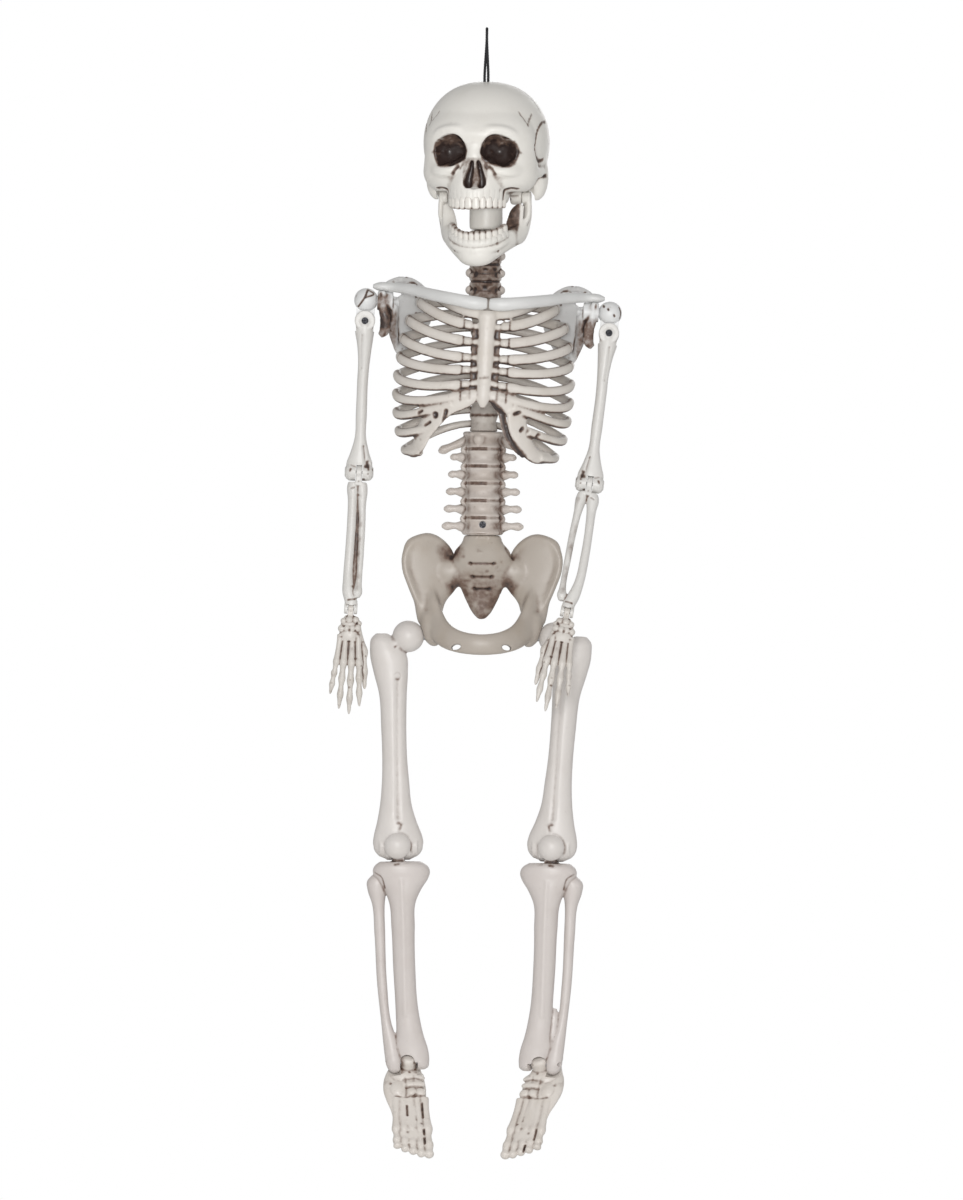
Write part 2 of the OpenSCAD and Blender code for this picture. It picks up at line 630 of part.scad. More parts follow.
module sternum() {
    y = rib_mid_y - chest_front_d + 1;
    h = sternum_w / 2;
    z = rib_z(rib_first);
    stack([[0, y + 1, z - 4, 0.8 * h, 3], [0, y + 0.5, z - 6, 1.05 * h, 4], [0, y, z - 14, 1.05 * h, 4],
        [0, y, z - 20, 0.98 * h, 3.8], [0, y, z - 48, 1 * h, 4], [0, y, z - 58, 0.86 * h, 3.8],
        [0, y + 0.5, z - 70, 0.82 * h, 3.4], [0, y + 1, z - 82, 0.6 * h, 2.6],
        [0, y + 1.5, z - 86, 0.24 * h, 1.4]], 10);
}

module front_rib_cage() color(bone) multmatrix(chest_frame) skin() {
    sternum();
    both() {
        front_ribs();
        rib_margin();
    }
}

module upper_spine() {
    r = upper_spine_d / 2;
    n = 8;
    pitch = upper_spine_h / n;
    stack([for (i = [0:2 * n]) let (z = chest_top - i * pitch / 2, q = i % 2 == 0 ? r : r - 1.8)
        [0, spine_y(z), z, q, q]], 14);
    for (i = [0:n - 1]) let (z = chest_top - (i + 0.4) * pitch, y = spine_y(z) + r)
        sweep([[0, y - 4, z + 1], [0, y + 4, z - 2], [0, y + 9, z - 5]], [for (k = [0:2]) [1, 0, 0]],
            [[4, 3], [3.4, 2.2], [2.4, 1.6]], 4);
}

module back_ribs() {
    for (i = [0:rib_n - 1]) {
        last = acos(5 / rib_w(i));
        rib_bar([for (k = [0:6]) rib_back(i, last * k / 6)], rib_tall(i), 0.2);
    }
}

module back_rib_cage() color(bone) difference() {
    skin() {
        multmatrix(chest_frame) both() back_ribs();
        multmatrix(torso_frame) upper_spine();
    }
    multmatrix(torso_frame) {
        translate([0, 0, chest_top - spigot_h - 1])
            cylinder(h = spigot_h + 2, d = spigot_d + 2 * press_gap);
        translate([0, 0, spine_joint - 1]) cylinder(h = spigot_h + 2, d = spigot_d + 2 * press_gap);
    }
}

// Shoulder girdle, drawn on the left side

module collar_bone(s) color(bone) multmatrix(chest_frame) on_side(s) {
    y = rib_mid_y - chest_front_d;
    z = girdle_z + boss_r;
    path = [[1.2, y, z - 6], [8, y - 1, z - 6], [26, y + 1, z - 4], [46, y + 15, z - 1],
        [66, y + 36, z + 2.5],
        [82, y + 52, z + 3.95], [93, y + 54, z + 3.9], [97, y + 54, z + 3.9]];
    sweep(path, [for (p = path) [0.5, -1, 0]],
        [[4.6, 4], [5.6, 4.8], [5.2, 4.4], [5, 4.2], [4.6, 4.2], [4, 5], [3.4, 5.4], [1.6, 3]], 10);
}

module blade_plate() {
    z = girdle_z;
    translate([64, 17, 0]) rotate([0, 0, -38])
        stack([[-4, 0, z + 10, 8, 1.6], [-3, 0, z + 5, 17, 2.4], [0, 0, z - 4, 22, 2.4],
            [0, 0, z - 16, 21, 2.4],
            [3, 0, z - 30, 15, 2.4], [7, 0, z - 41, 8, 2], [8, 0, z - 45, 3, 1.2]], 10);
    stack([[80, -3, z + 4, 5, 7], [80, -2, z - 6, 6, 7.5], [79, 1, z - 18, 4.6, 6], [77, 6, z - 30, 3.4, 4],
        [75, 9, z - 38, 2, 2.4]], 8);
}

// Ridge across the back of the blade, ending over the shoulder
module blade_ridge() {
    z = girdle_z;
    path = [[46, 32, z + 1], [57, 28, z + 12], [66, 24, z + 17], [76, 16, z + 17], [85, 9, z + 12],
        [90, 4, z + 5]];
    sweep(path, [for (p = path) [0.5, 1, 0]], [[2, 2], [4, 3], [4, 3.4], [4, 3.6], [4, 4], [2.4, 3]], 8);
    stack([[62, 22, z + 2, 9, 4], [66, 21, z + 10, 8, 3.4], [67, 21, z + 16, 6, 2.4]], 8);
}

module shoulder_blade(s) color(bone) multmatrix(chest_frame) on_side(s) difference() {
    union() {
        skin() {
            blade_plate();
            blade_ridge();
        }
        bar_x(boss_end - boss_len, boss_end, boss_r, shoulder_y, girdle_z);
    }
    bar_x(boss_end - boss_len - 20, boss_end + 1, axle_d / 2 + turn_gap, shoulder_y, girdle_z);
    translate([shoulder_x, shoulder_y, girdle_z]) sphere(r = yoke_r + pass_gap);
}

// Arms, drawn on the left side

module shoulder_yoke(s) color(bone) multmatrix(yoke_frame(s)) on_side(s) difference() {
    union() {
        difference() {
            sphere(r = yoke_r);
            translate([0, yoke_r, -yoke_drop]) rotate([90, 0, 0])
                cylinder(h = 2 * yoke_r, d = arm_head_d + 2 * pass_gap);
        }
        bar_x(-shoulder_x + boss_end - axle_len, 0, axle_d / 2);
        translate([0, yoke_t / 2, -yoke_drop]) rotate([90, 0, 0]) cylinder(h = yoke_t, d = arm_head_d - 3);
        translate([-arm_head_d / 2 + 1.5, -yoke_t / 2, -yoke_drop])
            cube([arm_head_d - 3, yoke_t, yoke_drop]);
    }
    translate([0, 50, -yoke_drop]) rotate([90, 0, 0]) cylinder(h = 100, d = screw_d + 2 * turn_gap);
}

module shoulder_screw(s) color(steel) multmatrix(arm_frame(s)) rotate([90, 0, 0]) difference() {
    union() {
        translate([0, 0, -head_t / 2 + 1.5]) cylinder(h = head_t - 3.5, d = screw_d);
        translate([0, 0, head_t / 2 - 2.4]) cylinder(h = 1.6, d = screw_head_d);
    }
    for (a = [0, 90]) translate([0, 0, head_t / 2 - 0.9]) rotate([0, 0, a])
        cube([0.7 * screw_head_d, 1, 1.4], center = true);
}

module upper_arm(s) color(bone) difference() {
    L = upper_arm_len;
    r = elbow_d / 2;
    multmatrix(arm_frame(s)) on_side(s) difference() {
        union() {
            rotate([0, 0, 90]) knuckle(head_t, arm_head_d / 2, 3);
            skin() stack([[0, 0, 0, 0.46 * arm_head_d, 6.5], [0, 0, -8, 8.2, 7], [-0.5, 0, -20, 6.4, 6.4],
                [-0.5, 0, -34, 5, 5.2], [0, 0, -50, 4.6, 4.8], [0, 0, -78, 4.7, 4.6],
                [0, 0, -L + 28, 5, 4.6],
                [0, 0, -L + 15, 8.4, 5.6], [0, 0, -L + 7, 11, 6], [0, 0, -L + 1, 10.5, 5.6]], 12);
            translate([0, 0, -L]) knuckle(elbow_w, r, 4);
        }
        translate([-arm_head_d, -slot_t / 2, -arm_head_d / 2 - pass_gap])
            cube([2 * arm_head_d, slot_t, 2 * arm_head_d]);
        rotate([90, 0, 0]) cylinder(h = 2 * head_t, d = screw_d + 2 * press_gap, center = true);
        rotate([90, 0, 0]) translate([0, 0, head_t / 2 - 2.4]) cylinder(h = 5, d = screw_head_d + 0.6);
    }
    multmatrix(elbow_axis(s)) {
        bar_x(-elbow_slot / 2, elbow_slot / 2, r + 1);
        translate([-elbow_slot / 2, -r - 1, -r - 1]) cube([elbow_slot, 2 * r + 2, r + 1]);
        bar_x(-elbow_w, elbow_w, arm_pin_d / 2 + press_gap);
    }
}

module elbow_pin(s) color(steel) multmatrix(elbow_axis(s))
    bar_x(-elbow_w / 2 + 1, elbow_w / 2 - 1, arm_pin_d / 2);

// Station of a forearm bone: its centre turns with the twist towards the wrist
function forearm_station(x, y, z, a, b, twist) = let (w = twist * z / forearm_len)
    [x * cos(w) + y * sin(w), y * cos(w) - x * sin(w), z, a, b];

module forearm(s) color(bone) multmatrix(forearm_frame(s)) on_side(s) difference() {
    L = forearm_len;
    tw = of_side(forearm_twist, s);
    r = elbow_d / 2;
    q = wrist_d / 2;
    half = arm_tongue_t / 2;
    radius = [[4, 0, -r - 1.2, 4.6, 5], [4.6, 0, -r - 4, 5.2, 5.4], [5.4, 0, -24, 4, 4.2],
        [6.2, -0.6, -40, 3.6, 3.8],
        [6.6, -1, -0.55 * L, 3.7, 3.8], [5.4, -1, -L + 26, 4.2, 4.2], [2.4, 0, -L + 13, 5.4, 4.8],
        [0, 0, -L + 5, 5.4, 4.6],
        [0, 0, -L + 1, 5.2, 4.2]];
    ulna = [[-3.6, 0, -r - 1.2, 4.6, 5.4], [-4.4, 0.4, -r - 5, 4.8, 5.4], [-5.6, 1, -26, 3.4, 4],
        [-6.6, 1.6, -44, 3, 3.4],
        [-7, 1.8, -0.6 * L, 2.8, 3], [-7, 1.4, -L + 20, 3, 3.2], [-6.6, 1, -L + 13, 4, 4],
        [-6.4, 1, -L + 9.5, 2.4, 2.6]];
    union() {
        bar_x(-half, half, r - 0.8);
        translate([-half, -r + 2, -r - 4]) cube([arm_tongue_t, 2 * r - 4, r + 4]);
        skin() {
            stack([for (p = radius) forearm_station(p[0], p[1], p[2], p[3], p[4],
                p[2] < -L + 20 ? 0 : tw)], 10);
            stack([for (p = ulna) forearm_station(p[0], p[1], p[2], p[3], p[4], tw)], 8);
        }
        translate([0, 0, -L]) bar_x(-wrist_w / 2, wrist_w / 2, q);
    }
    bar_x(-elbow_w, elbow_w, arm_pin_d / 2 + turn_gap);
    translate([0, 0, -L]) {
        bar_x(-elbow_slot / 2, elbow_slot / 2, q + 0.6);
        translate([-elbow_slot / 2, -q - 2, -q - 1]) cube([elbow_slot, 2 * q + 4, q + 1]);
        bar_x(-wrist_w, wrist_w, arm_pin_d / 2 + press_gap);
    }
}

module wrist_pin(s) color(steel) multmatrix(hand_frame(s))
    bar_x(-wrist_w / 2 + 0.6, wrist_w / 2 - 0.6, arm_pin_d / 2);

// Finger or toe along three points [x, y, z]: its root, its knuckle and its tip
module digit(root, knuckle, tip, r, out, joints, blunt, slim) {
    span = tip - knuckle;
    low = [for (k = [0:joints - 1])
        let (f = (k + 0.5) / joints, g = (k + 1) / joints, q = r * (0.92 - 0.08 * k))
        each k < joints - 1 ? [[knuckle + f * span, slim * q], [knuckle + g * span, q]]
            : [[knuckle + f * span, (0.5 + 0.4 * blunt) * q],
                [knuckle + (g - 0.03) * span, 0.8 * blunt * q], [tip, 0.45 * blunt * q]]];
    list = concat([[root, 0.95 * r], [0.5 * (root + knuckle), slim * r], [knuckle, r]], low);
    sweep([for (p = list) p[0]], [for (p = list) out], [for (p = list) [p[1], p[1]]], 6);
}

module hand(s) color(bone) multmatrix(hand_frame(s)) on_side(s) difference() {
    q = wrist_d / 2;
    half = arm_tongue_t / 2;
    w = hand_w / 27;
    h = hand_len / 83;
    back = [0, -1, 0];
    root_x = [-7.5, -2.6, 2.6, 7.2];
    knuckle_x = [-9.6, -3.2, 3.4, 9.4];
    tip_x = [-12, -3.6, 5, 13];
    tip_z = [-77, -83, -79, -67];
    union() {
        bar_x(-half, half, q - 0.5);
        translate([-half, -q + 1.4, -q - 4]) cube([arm_tongue_t, 2 * q - 2.8, q + 4]);
        skin() {
            stack([[0, 0, -q - 1.2, 4.2, 3.2], [0, 0, -9, 7 * w, 4.4], [0, 0, -14, 8.6 * w, 5],
                [0, 0, -18, 8.2 * w, 4.4],
                [0, 0, -22, 9.4 * w, 4.8], [0, 0, -27, 8.4 * w, 3.4]], 10);
            for (i = [0:3]) digit([root_x[i] * w, 0, -22], [knuckle_x[i] * w, -1.2, -45 * h],
                [tip_x[i] * w, 4, tip_z[i] * h], i == 3 ? 3.2 : 3.6, back, 3, 0.7, 0.74);
            digit([-6 * w, 0, -14], [-13 * w, 2, -34 * h], [-15.5 * w, 5, -66 * h],
                3.6, back, 2, 0.7, 0.74);
        }
    }
    bar_x(-wrist_w, wrist_w, arm_pin_d / 2 + turn_gap);
}

// Pelvis

sacrum_top = lumbar_bottom;

module wing() {
    z = sacrum_top;
    w = pelvis_w / 132;
    translate([42 * w, 8, 0]) rotate([0, 0, -14])
        stack([[3, -2, z - 74, 9, 7], [2.5, -2, z - 66, 11.4, 7], [1.6, -1, z - 56, 14, 6.6],
            [-1, 0, z - 46, 20, 6], [-2, 1, z - 36, 24.5, 5.2], [0, 1, z - 24, 25 * w, 4.8],
            [4, 1, z - 15, 21 * w, 4.6], [6.4, 1, z - 8, 17.4 * w, 4.2], [6.4, 1, z - 3, 13.4 * w, 3.6],
            [6, 1, z - 0.4, 8 * w, 2.8]], 14);
    crest = [[23 * w, 14, z - 25], [27 * w, 13, z - 15], [34 * w, 11.4, z - 7], [44 * w, 8.8, z - 2],
        [56 * w, 5.6, z - 5], [63.6 * w, 3.6, z - 16], [64 * w, 2.6, z - 28], [59.6 * w, 2.8, z - 41],
        [54, 3, z - 54], [50, 2.6, z - 64]];
    half = [[2, 3], [3, 3.8], [3.4, 4.2], [3.6, 4.4], [3.6, 4.4], [3.4, 4.4], [3.2, 4.4], [3.2, 4.8],
        [3.2, 5], [2, 4]];
    sweep(crest, [for (p = crest) [0.2, -1, 0]], half, 6);
    blob([26 * w, 11, z - 31], [17, 8, 13], [0, 0, 0], 14);
}

// Body of the hip socket
module hip_block() {
    z = hip_z;
    y = hip_y;
    stack([[44, y, z + 20, 7, 8], [43.8, y, z + 10, 7.6, 11], [42.6, y, z + 2, 6.8, 10.8],
        [40.8, y - 1, z - 4, 5.6, 8.8], [39, y - 2, z - 8, 3, 4.6]], 14);
}

// Bar from both hip sockets round to the front
module pubic_bar() {
    z = hip_z;
    side = [[44, 9, z + 46], [43, 5.5, z + 30], [38.5, -4, z + 12], [30, -17, z + 1],
        [17, -27, z - 4.4], [6, -31, z - 6]];
    half = [[4, 2], [10.4, 5], [11, 6.2], [10.4, 5.8], [9.6, 5], [9.2, 5]];
    last = len(side) - 1;
    path = concat(side, [for (i = [last:-1:0]) [-side[i][0], side[i][1], side[i][2]]]);
    sizes = concat(half, [for (i = [last:-1:0]) half[i]]);
    sweep(path, [for (p = path) [0.5 * p[0], p[1] - 16, 0]], sizes, 10);
}

module sacrum() {
    z = sacrum_top;
    stack([[0, 0, z, 15.5, 13], [0, 1, z - 6, 17, 12.5], [0, 4, z - 13, 23, 11.5], [0, 6, z - 20, 25, 11],
        [0, 8, z - 28, 24, 9.6], [0, 10, z - 38, 20.5, 8.4], [0, 11.5, z - 48, 16.6, 7.2],
        [0, 11, z - 58, 12, 6],
        [0, 9.5, z - 67, 6.6, 4.4], [0, 8, z - 71, 2.4, 2]], 14);
}

module pelvis() color(bone) multmatrix(torso_frame) difference() {
    union() {
        skin() difference() {
            union() {
                sacrum();
                pubic_bar();
                both() {
                    wing();
                    hip_block();
                }
            }
            both() blob([21, -28, hip_z - 8.5], [3.6, 12, 2], [0, 12, 0], 8);
        }
        translate([0, 0, sacrum_top - 2]) cylinder(h = spigot_h + 1, d = spigot_d);
    }
    for (s = [RIGHT, LEFT]) on_side(s) {
        translate([hip_x, hip_y, hip_z]) sphere(d = hip_ball_d + 2 * pass_gap);
        bar_x(hip_face - 10, hip_x, hip_pin_d / 2 + press_gap, hip_y, hip_z);
    }
    translate([0, 0, lumbar_bottom + 0.6 * lumbar_pitch]) rotate([90, 0, 0])
        cylinder(h = lumbar_d, d = screw_d + 2 * press_gap, center = true);
}

module hip_pin(s) color(steel) multmatrix(hip_frame(s)) on_side(s)
    bar_x(hip_face - hip_x - 10, 0.2 * hip_ball_d, hip_pin_d / 2);

// Legs, drawn on the left side

module thigh_skin() {
    L = thigh_len;
    sweep([[3, 0, -1], [9, 0, -6], [16, 0, -13]], [for (i = [0:2]) [0, 1, 0]], [[6, 6], [7.4, 8],
        [10, 9]], 10);
    stack([[22, 1, 2.5, 5, 4], [21.5, 1, -1, 9, 7.5], [18.5, 0, -9, 13.6, 9.5], [16.5, 0, -16, 15.4, 10.5],
        [14.6, 0, -30, 14.4, 10.5], [12.8, 0, -47, 11.8, 10], [12, -1, -76, 10.6, 9.6],
        [11, -1, -0.6 * L, 10.6, 9.4],
        [10.4, -1, -L + 55, 11.4, 9.4], [10, 0, -L + 34, 13.4, 10], [9, 0, -L + 19, 17, 11],
        [8.2, 0, -L + 9, 20, 11.6],
        [knee_out, 0.2, -L + 1.4, 20.8, 11.2], [knee_out, 0.2, -L - 5.8, 19.4, 9.4],
        [knee_out, 0, -L - 10, 15, 6]], 16);
}

module thigh(s) color(bone) difference() {
    r = knee_d / 2;
    multmatrix(thigh_frame(s)) on_side(s) union() {
        rotate([90, 0, 0]) rotate([0, 0, 90]) sphere(d = hip_ball_d);
        skin() {
            thigh_skin();
            translate([knee_out, 0, -thigh_len]) rotate([0, of_side(shin_lean, s), 0])
                knuckle(knee_w - 2, r, 10, $fn = 24);
        }
    }
    multmatrix(shin_frame(s)) {
        bar_x(-knee_slot / 2, knee_slot / 2, r + 0.6);
        translate([-knee_slot / 2, -r - 1, -r - 1]) cube([knee_slot, 2 * r + 2, r + 1]);
        translate([-knee_slot / 2, 0, -r]) cube([knee_slot, r + 2, 2 * r]);
        bar_x(-knee_w, knee_w, leg_pin_d / 2 + press_gap);
    }
    multmatrix(hip_frame(s)) on_side(s) bar_x(-hip_ball_d, 0.2 * hip_ball_d, hip_pin_d / 2 + turn_gap);
}

module kneecap(s) color(bone) multmatrix(thigh_frame(s)) on_side(s)
    translate([knee_out + 1, -knee_d / 2 - 0.1, -thigh_len]) rotate([90, 0, 0]) intersection() {
        translate([0, 0, -0.24 * kneecap_d]) sphere(r = 0.555 * kneecap_d);
        cylinder(h = kneecap_d, d = 2 * kneecap_d);
    }

module knee_pin(s) color(steel) multmatrix(shin_frame(s))
    bar_x(-knee_w / 2 + 1, knee_w / 2 - 1, leg_pin_d / 2);

module shin_skin() {
    L = shin_len;
    top = -knee_d / 2 - 1;
    tibia = [[-1.5, 0, top, 17, 10], [-2, 0, top - 2.5, 21, 12.6], [-2.4, 0, top - 8, 24, 13.5],
        [-3, 0, top - 14, 22, 13],
        [-3.4, -1, top - 22, 16.4, 12], [-3, -2, top - 32, 11.8, 10.5], [-3.4, -2, -0.38 * L, 9.8, 9.6],
        [-4, -1, -0.55 * L, 9.3, 9], [-6.4, 0, -L + 40, 9.8, 8.6], [-8.4, 1, -L + 22, 11.6, 8.8],
        [-9.4, 2, -L + 12, 13.8, 8.6], [-11.5, 2, -L + 5, 12.8, 8.2], [-14.6, 2, -L - 1, 9.6, 7.2],
        [-17, 2, -L - 4.4, 6, 5], [-17.6, 2, -L - 6, 2.8, 2.6]];
    fibula = [[17, 3, top - 11, 4.6, 5.4], [18, 3, top - 15, 7.6, 7.6], [18, 3, top - 24, 7.8, 7.8],
        [17, 3, top - 34, 5.6, 6], [16, 3, -0.4 * L, 4.6, 4.8], [14.4, 3, -0.64 * L, 4.2, 4.4],
        [11, 3, -L + 32, 4.4, 4.6],
        [7.6, 2.5, -L + 16, 6.4, 6], [6, 2, -L + 5, 6.8, 6.4], [5, 2, -L - 3, 6.4, 6],
        [4.4, 2, -L - 7, 4.4, 4], [4.2, 2, -L - 8.6, 2, 1.8]];
    stack(tibia, 14);
    stack(fibula, 10);
}

module shin(s) color(bone) difference() {
    r = knee_d / 2;
    half = knee_tongue_t / 2;
    q = ankle_d / 2;
    slot = ankle_tongue_t + 2 * pass_gap;
    multmatrix(shin_frame(s)) on_side(s) {
        bar_x(-half, half, r - 0.8);
        translate([-half, -r + 3, -r - 5]) cube([knee_tongue_t, 2 * r - 6, r + 5]);
        skin() shin_skin();
    }
    multmatrix(shin_frame(s)) bar_x(-knee_w, knee_w, leg_pin_d / 2 + turn_gap);
    multmatrix(ankle_frame(s)) {
        bar_x(-slot / 2, slot / 2, q + ankle_arch);
        translate([-slot / 2, -3 * q, -3 * q]) cube([slot, 6 * q, 3 * q]);
        bar_x(-ankle_w, ankle_w, leg_pin_d / 2 + press_gap);
    }
}

module ankle_pin(s) color(steel) multmatrix(ankle_frame(s))
    bar_x(-ankle_w / 2 + 1, ankle_w / 2 - 1, leg_pin_d / 2);

module foot(s) color(bone) multmatrix(foot_frame(s)) on_side(s) difference() {
    half = ankle_tongue_t / 2;
    q = ankle_d / 2;
    w = foot_w / 33;
    f = foot_len / 92;
    up = [0, 0, 1];
    tarsal = [[1, 27, -13], [1, 24, -13.5], [1, 14, -14], [0.5, 4, -14.5], [0, -6, -14],
        [0, -14, -13.5], [0, -18, -13.5],
        [0, -26, -13.5], [0, -38, -14.5], [0, -56, -15.5], [0, -78 * f, -17.5]];
    tip_y = [-92, -91, -88, -85, -81];
    union() {
        bar_x(-half, half, q - 0.8);
        translate([-half, -q + 1.6, -q - 5]) cube([ankle_tongue_t, 2 * q - 3.2, q + 5]);
        skin() {
            sweep(tarsal, [for (p = tarsal) up],
                [[4, 4.6], [8, 8.6], [9.4, 8.6], [11, 7.6], [13.6 * w, 8], [14.4 * w, 7],
                [15.2 * w, 7.4], [16 * w, 5.4],
                    [15.4 * w, 4], [15 * w, 2.8], [14 * w, 2]], 10);
            for (i = [0:4]) digit([(i - 2) * 5.8 * w, -29, -12], [(i - 2) * 6.5 * w, -62 * f, -15.5],
                [(i - 2) * 6.5 * w, tip_y[i] * f, -18], i == 0 ? 4.6 : 4, up, 2, 1, 0.86);
        }
    }
    bar_x(-ankle_w, ankle_w, leg_pin_d / 2 + turn_gap);
    both() bar_x(half, ankle_w, ankle_swing_r);
}

// Joint positions in metres and axes, for the figure's motion
module joint_note(name, m, axis) {
    echo(joint = name, pos = mm * point_in(m, [0, 0, 0]), axis = along(m, axis));
}

module joint_notes() {
    joint_note("jaw", jaw_frame, [-1, 0, 0]);
    joint_note("neck_turn", torso_frame * shift([0, 0, neck_top]), [0, 0, 1]);
    for (s = [RIGHT, LEFT]) {
        name = s == RIGHT ? "right" : "left";
        joint_note(str(name, "_shoulder_swing"), yoke_frame(s), [-1, 0, 0]);
        joint_note(str(name, "_shoulder_raise"), yoke_frame(s) * shift([0, 0, -yoke_drop]), [0, -s, 0]);
        joint_note(str(name, "_elbow"), elbow_axis(s), [-1, 0, 0]);
        joint_note(str(name, "_wrist"), hand_frame(s), [-1, 0, 0]);
        joint_note(str(name, "_hip"), hip_frame(s), [-1, 0, 0]);
        joint_note(str(name, "_knee"), shin_frame(s), [1, 0, 0]);
        joint_note(str(name, "_ankle"), ankle_frame(s), [-1, 0, 0]);
    }
}

joint_notes();

hanging_cord();
cord_knot();
skull();
jaw();
jaw_pin(RIGHT);  // right_jaw_pin
jaw_pin(LEFT);  // left_jaw_pin
neck();
front_rib_cage();
back_rib_cage();
collar_bone(RIGHT);  // right_collar_bone
collar_bone(LEFT);  // left_collar_bone
shoulder_blade(RIGHT);  // right_shoulder_blade
shoulder_blade(LEFT);  // left_shoulder_blade
lumbar_spine();
pelvis();
spine_screw();
shoulder_yoke(RIGHT);  // right_shoulder_yoke
shoulder_yoke(LEFT);  // left_shoulder_yoke
shoulder_screw(RIGHT);  // right_shoulder_screw
shoulder_screw(LEFT);  // left_shoulder_screw
upper_arm(RIGHT);  // right_upper_arm
upper_arm(LEFT);  // left_upper_arm
elbow_pin(RIGHT);  // right_elbow_pin
elbow_pin(LEFT);  // left_elbow_pin
forearm(RIGHT);  // right_forearm
forearm(LEFT);  // left_forearm
wrist_pin(RIGHT);  // right_wrist_pin
wrist_pin(LEFT);  // left_wrist_pin
hand(RIGHT);  // right_hand
hand(LEFT);  // left_hand
hip_pin(RIGHT);  // right_hip_pin
hip_pin(LEFT);  // left_hip_pin
thigh(RIGHT);  // right_thigh
thigh(LEFT);  // left_thigh
kneecap(RIGHT);  // right_kneecap
kneecap(LEFT);  // left_kneecap
knee_pin(RIGHT);  // right_knee_pin
knee_pin(LEFT);  // left_knee_pin
shin(RIGHT);  // right_shin
shin(LEFT);  // left_shin
ankle_pin(RIGHT);  // right_ankle_pin
ankle_pin(LEFT);  // left_ankle_pin
foot(RIGHT);  // right_foot
foot(LEFT);  // left_foot
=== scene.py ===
"""Hanging skeleton figure: the dressed bones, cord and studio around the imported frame."""

import logging
import math
from abc import ABC, abstractmethod
from dataclasses import dataclass
from enum import Enum
from typing import Callable, Iterable, Optional, Sequence

import bmesh
import bpy
import numpy as np
from mathutils import Matrix, Vector


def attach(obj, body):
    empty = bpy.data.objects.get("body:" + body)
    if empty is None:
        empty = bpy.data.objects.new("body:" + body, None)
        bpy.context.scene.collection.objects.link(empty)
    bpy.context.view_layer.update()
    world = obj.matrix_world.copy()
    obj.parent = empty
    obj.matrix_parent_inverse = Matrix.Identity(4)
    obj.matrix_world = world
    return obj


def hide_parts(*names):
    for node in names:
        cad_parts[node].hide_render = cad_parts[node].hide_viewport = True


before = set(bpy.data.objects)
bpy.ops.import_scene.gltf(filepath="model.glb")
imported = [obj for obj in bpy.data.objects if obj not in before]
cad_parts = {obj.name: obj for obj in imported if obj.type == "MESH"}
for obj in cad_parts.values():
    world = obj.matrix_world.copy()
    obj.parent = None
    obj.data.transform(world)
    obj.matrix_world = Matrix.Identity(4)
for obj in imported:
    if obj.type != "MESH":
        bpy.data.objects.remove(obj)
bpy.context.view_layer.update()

LOG = logging.getLogger("skeleton")
MM = 0.001
PHOTO_H = 1200
SHARP_EDGE = 48.0
Row = Sequence[float]
Pair = tuple[float, float]
Colour = tuple[float, float, float]
Socket = bpy.types.NodeSocket
MIRROR = Matrix.Diagonal((-1.0, 1.0, 1.0, 1.0))
BOTH = (-1.0, 1.0)
FRONT, BACK, UP = (0, -1, 0), (0, 1, 0), (0, 0, 1)


class Side(Enum):
    """Side of the figure, with its sign along X."""

    RIGHT = -1
    LEFT = 1

    @property
    def word(self) -> str:
        """The side's name as the nodes use it."""
        return self.name.lower()

    def pick(self, pair: Row) -> float:
        """The value for this side of a (right, left) pair."""
        return pair[0] if self is Side.RIGHT else pair[1]


# Finishes


@dataclass(frozen=True)
class BoneFinish:
    """Aged bone-coloured plastic with a brown wash that stays in the recesses, and painted shade where a bone carries
    it.

    Attributes:
        name: name of the material
        tone: colour of the plain plastic
        wash: colour of the thin wash and of light painted shade
        dark: colour of the thickest wash and of the deepest painted shade
        mottle: strength of the large tone changes
        roughness: roughness of the plain plastic
    """

    name: str
    tone: Colour
    wash: Colour = (0.150, 0.095, 0.070)
    dark: Colour = (0.034, 0.021, 0.018)
    mottle: float = 0.5
    roughness: float = 0.40


@dataclass(frozen=True)
class SteelFinish:
    """Plain zinc-grey steel with a turned sheen."""

    name: str = "zinc_steel"
    tone: Colour = (0.42, 0.42, 0.44)
    shade: Colour = (0.20, 0.20, 0.21)
    scale: float = 900.0


@dataclass(frozen=True)
class CordFinish:
    """Matte black twisted cord, the crowns of its strands with a painted highlight."""

    name: str = "black_cord"
    tone: Colour = (0.012, 0.012, 0.014)
    painted_highlight: Colour = (0.018, 0.018, 0.020)
    scale: float = 2600.0


SKULL_BONE = BoneFinish("skull_bone", (0.735, 0.712, 0.668), mottle=0.35)
COLLAR_BONE = BoneFinish("collar_bone", (0.615, 0.612, 0.600), mottle=0.25)
BLADE_BONE = BoneFinish("blade_bone", (0.66, 0.66, 0.655), mottle=0.3)
RIB_BONE = BoneFinish("rib_bone", (0.605, 0.565, 0.520), mottle=0.6)
SPINE_BONE = BoneFinish("spine_bone", (0.545, 0.495, 0.455), mottle=0.9)
PELVIS_BONE = BoneFinish("pelvis_bone", (0.400, 0.355, 0.310), mottle=0.6)
ARM_BONE = BoneFinish("arm_bone", (0.625, 0.608, 0.582), mottle=0.35)
HAND_BONE = BoneFinish("hand_bone", (0.580, 0.545, 0.505), mottle=0.6)
LEG_BONE = BoneFinish("leg_bone", (0.615, 0.580, 0.552), mottle=0.3)
SHIN_BONE = BoneFinish("shin_bone", (0.575, 0.530, 0.505), mottle=0.35)
FOOT_BONE = BoneFinish("foot_bone", (0.640, 0.595, 0.550), mottle=0.6)
TOOTH_BONE = BoneFinish("tooth_bone", (0.735, 0.705, 0.655), mottle=0.3, roughness=0.32)
STEEL = SteelFinish()
# near-black steel for the screws: painted shade of the counterbores they sit in
SHADED_SCREW_STEEL = SteelFinish("black_steel", (0.02, 0.02, 0.022), (0.008, 0.008, 0.009))
CORD = CordFinish()
Finish = BoneFinish | SteelFinish | CordFinish


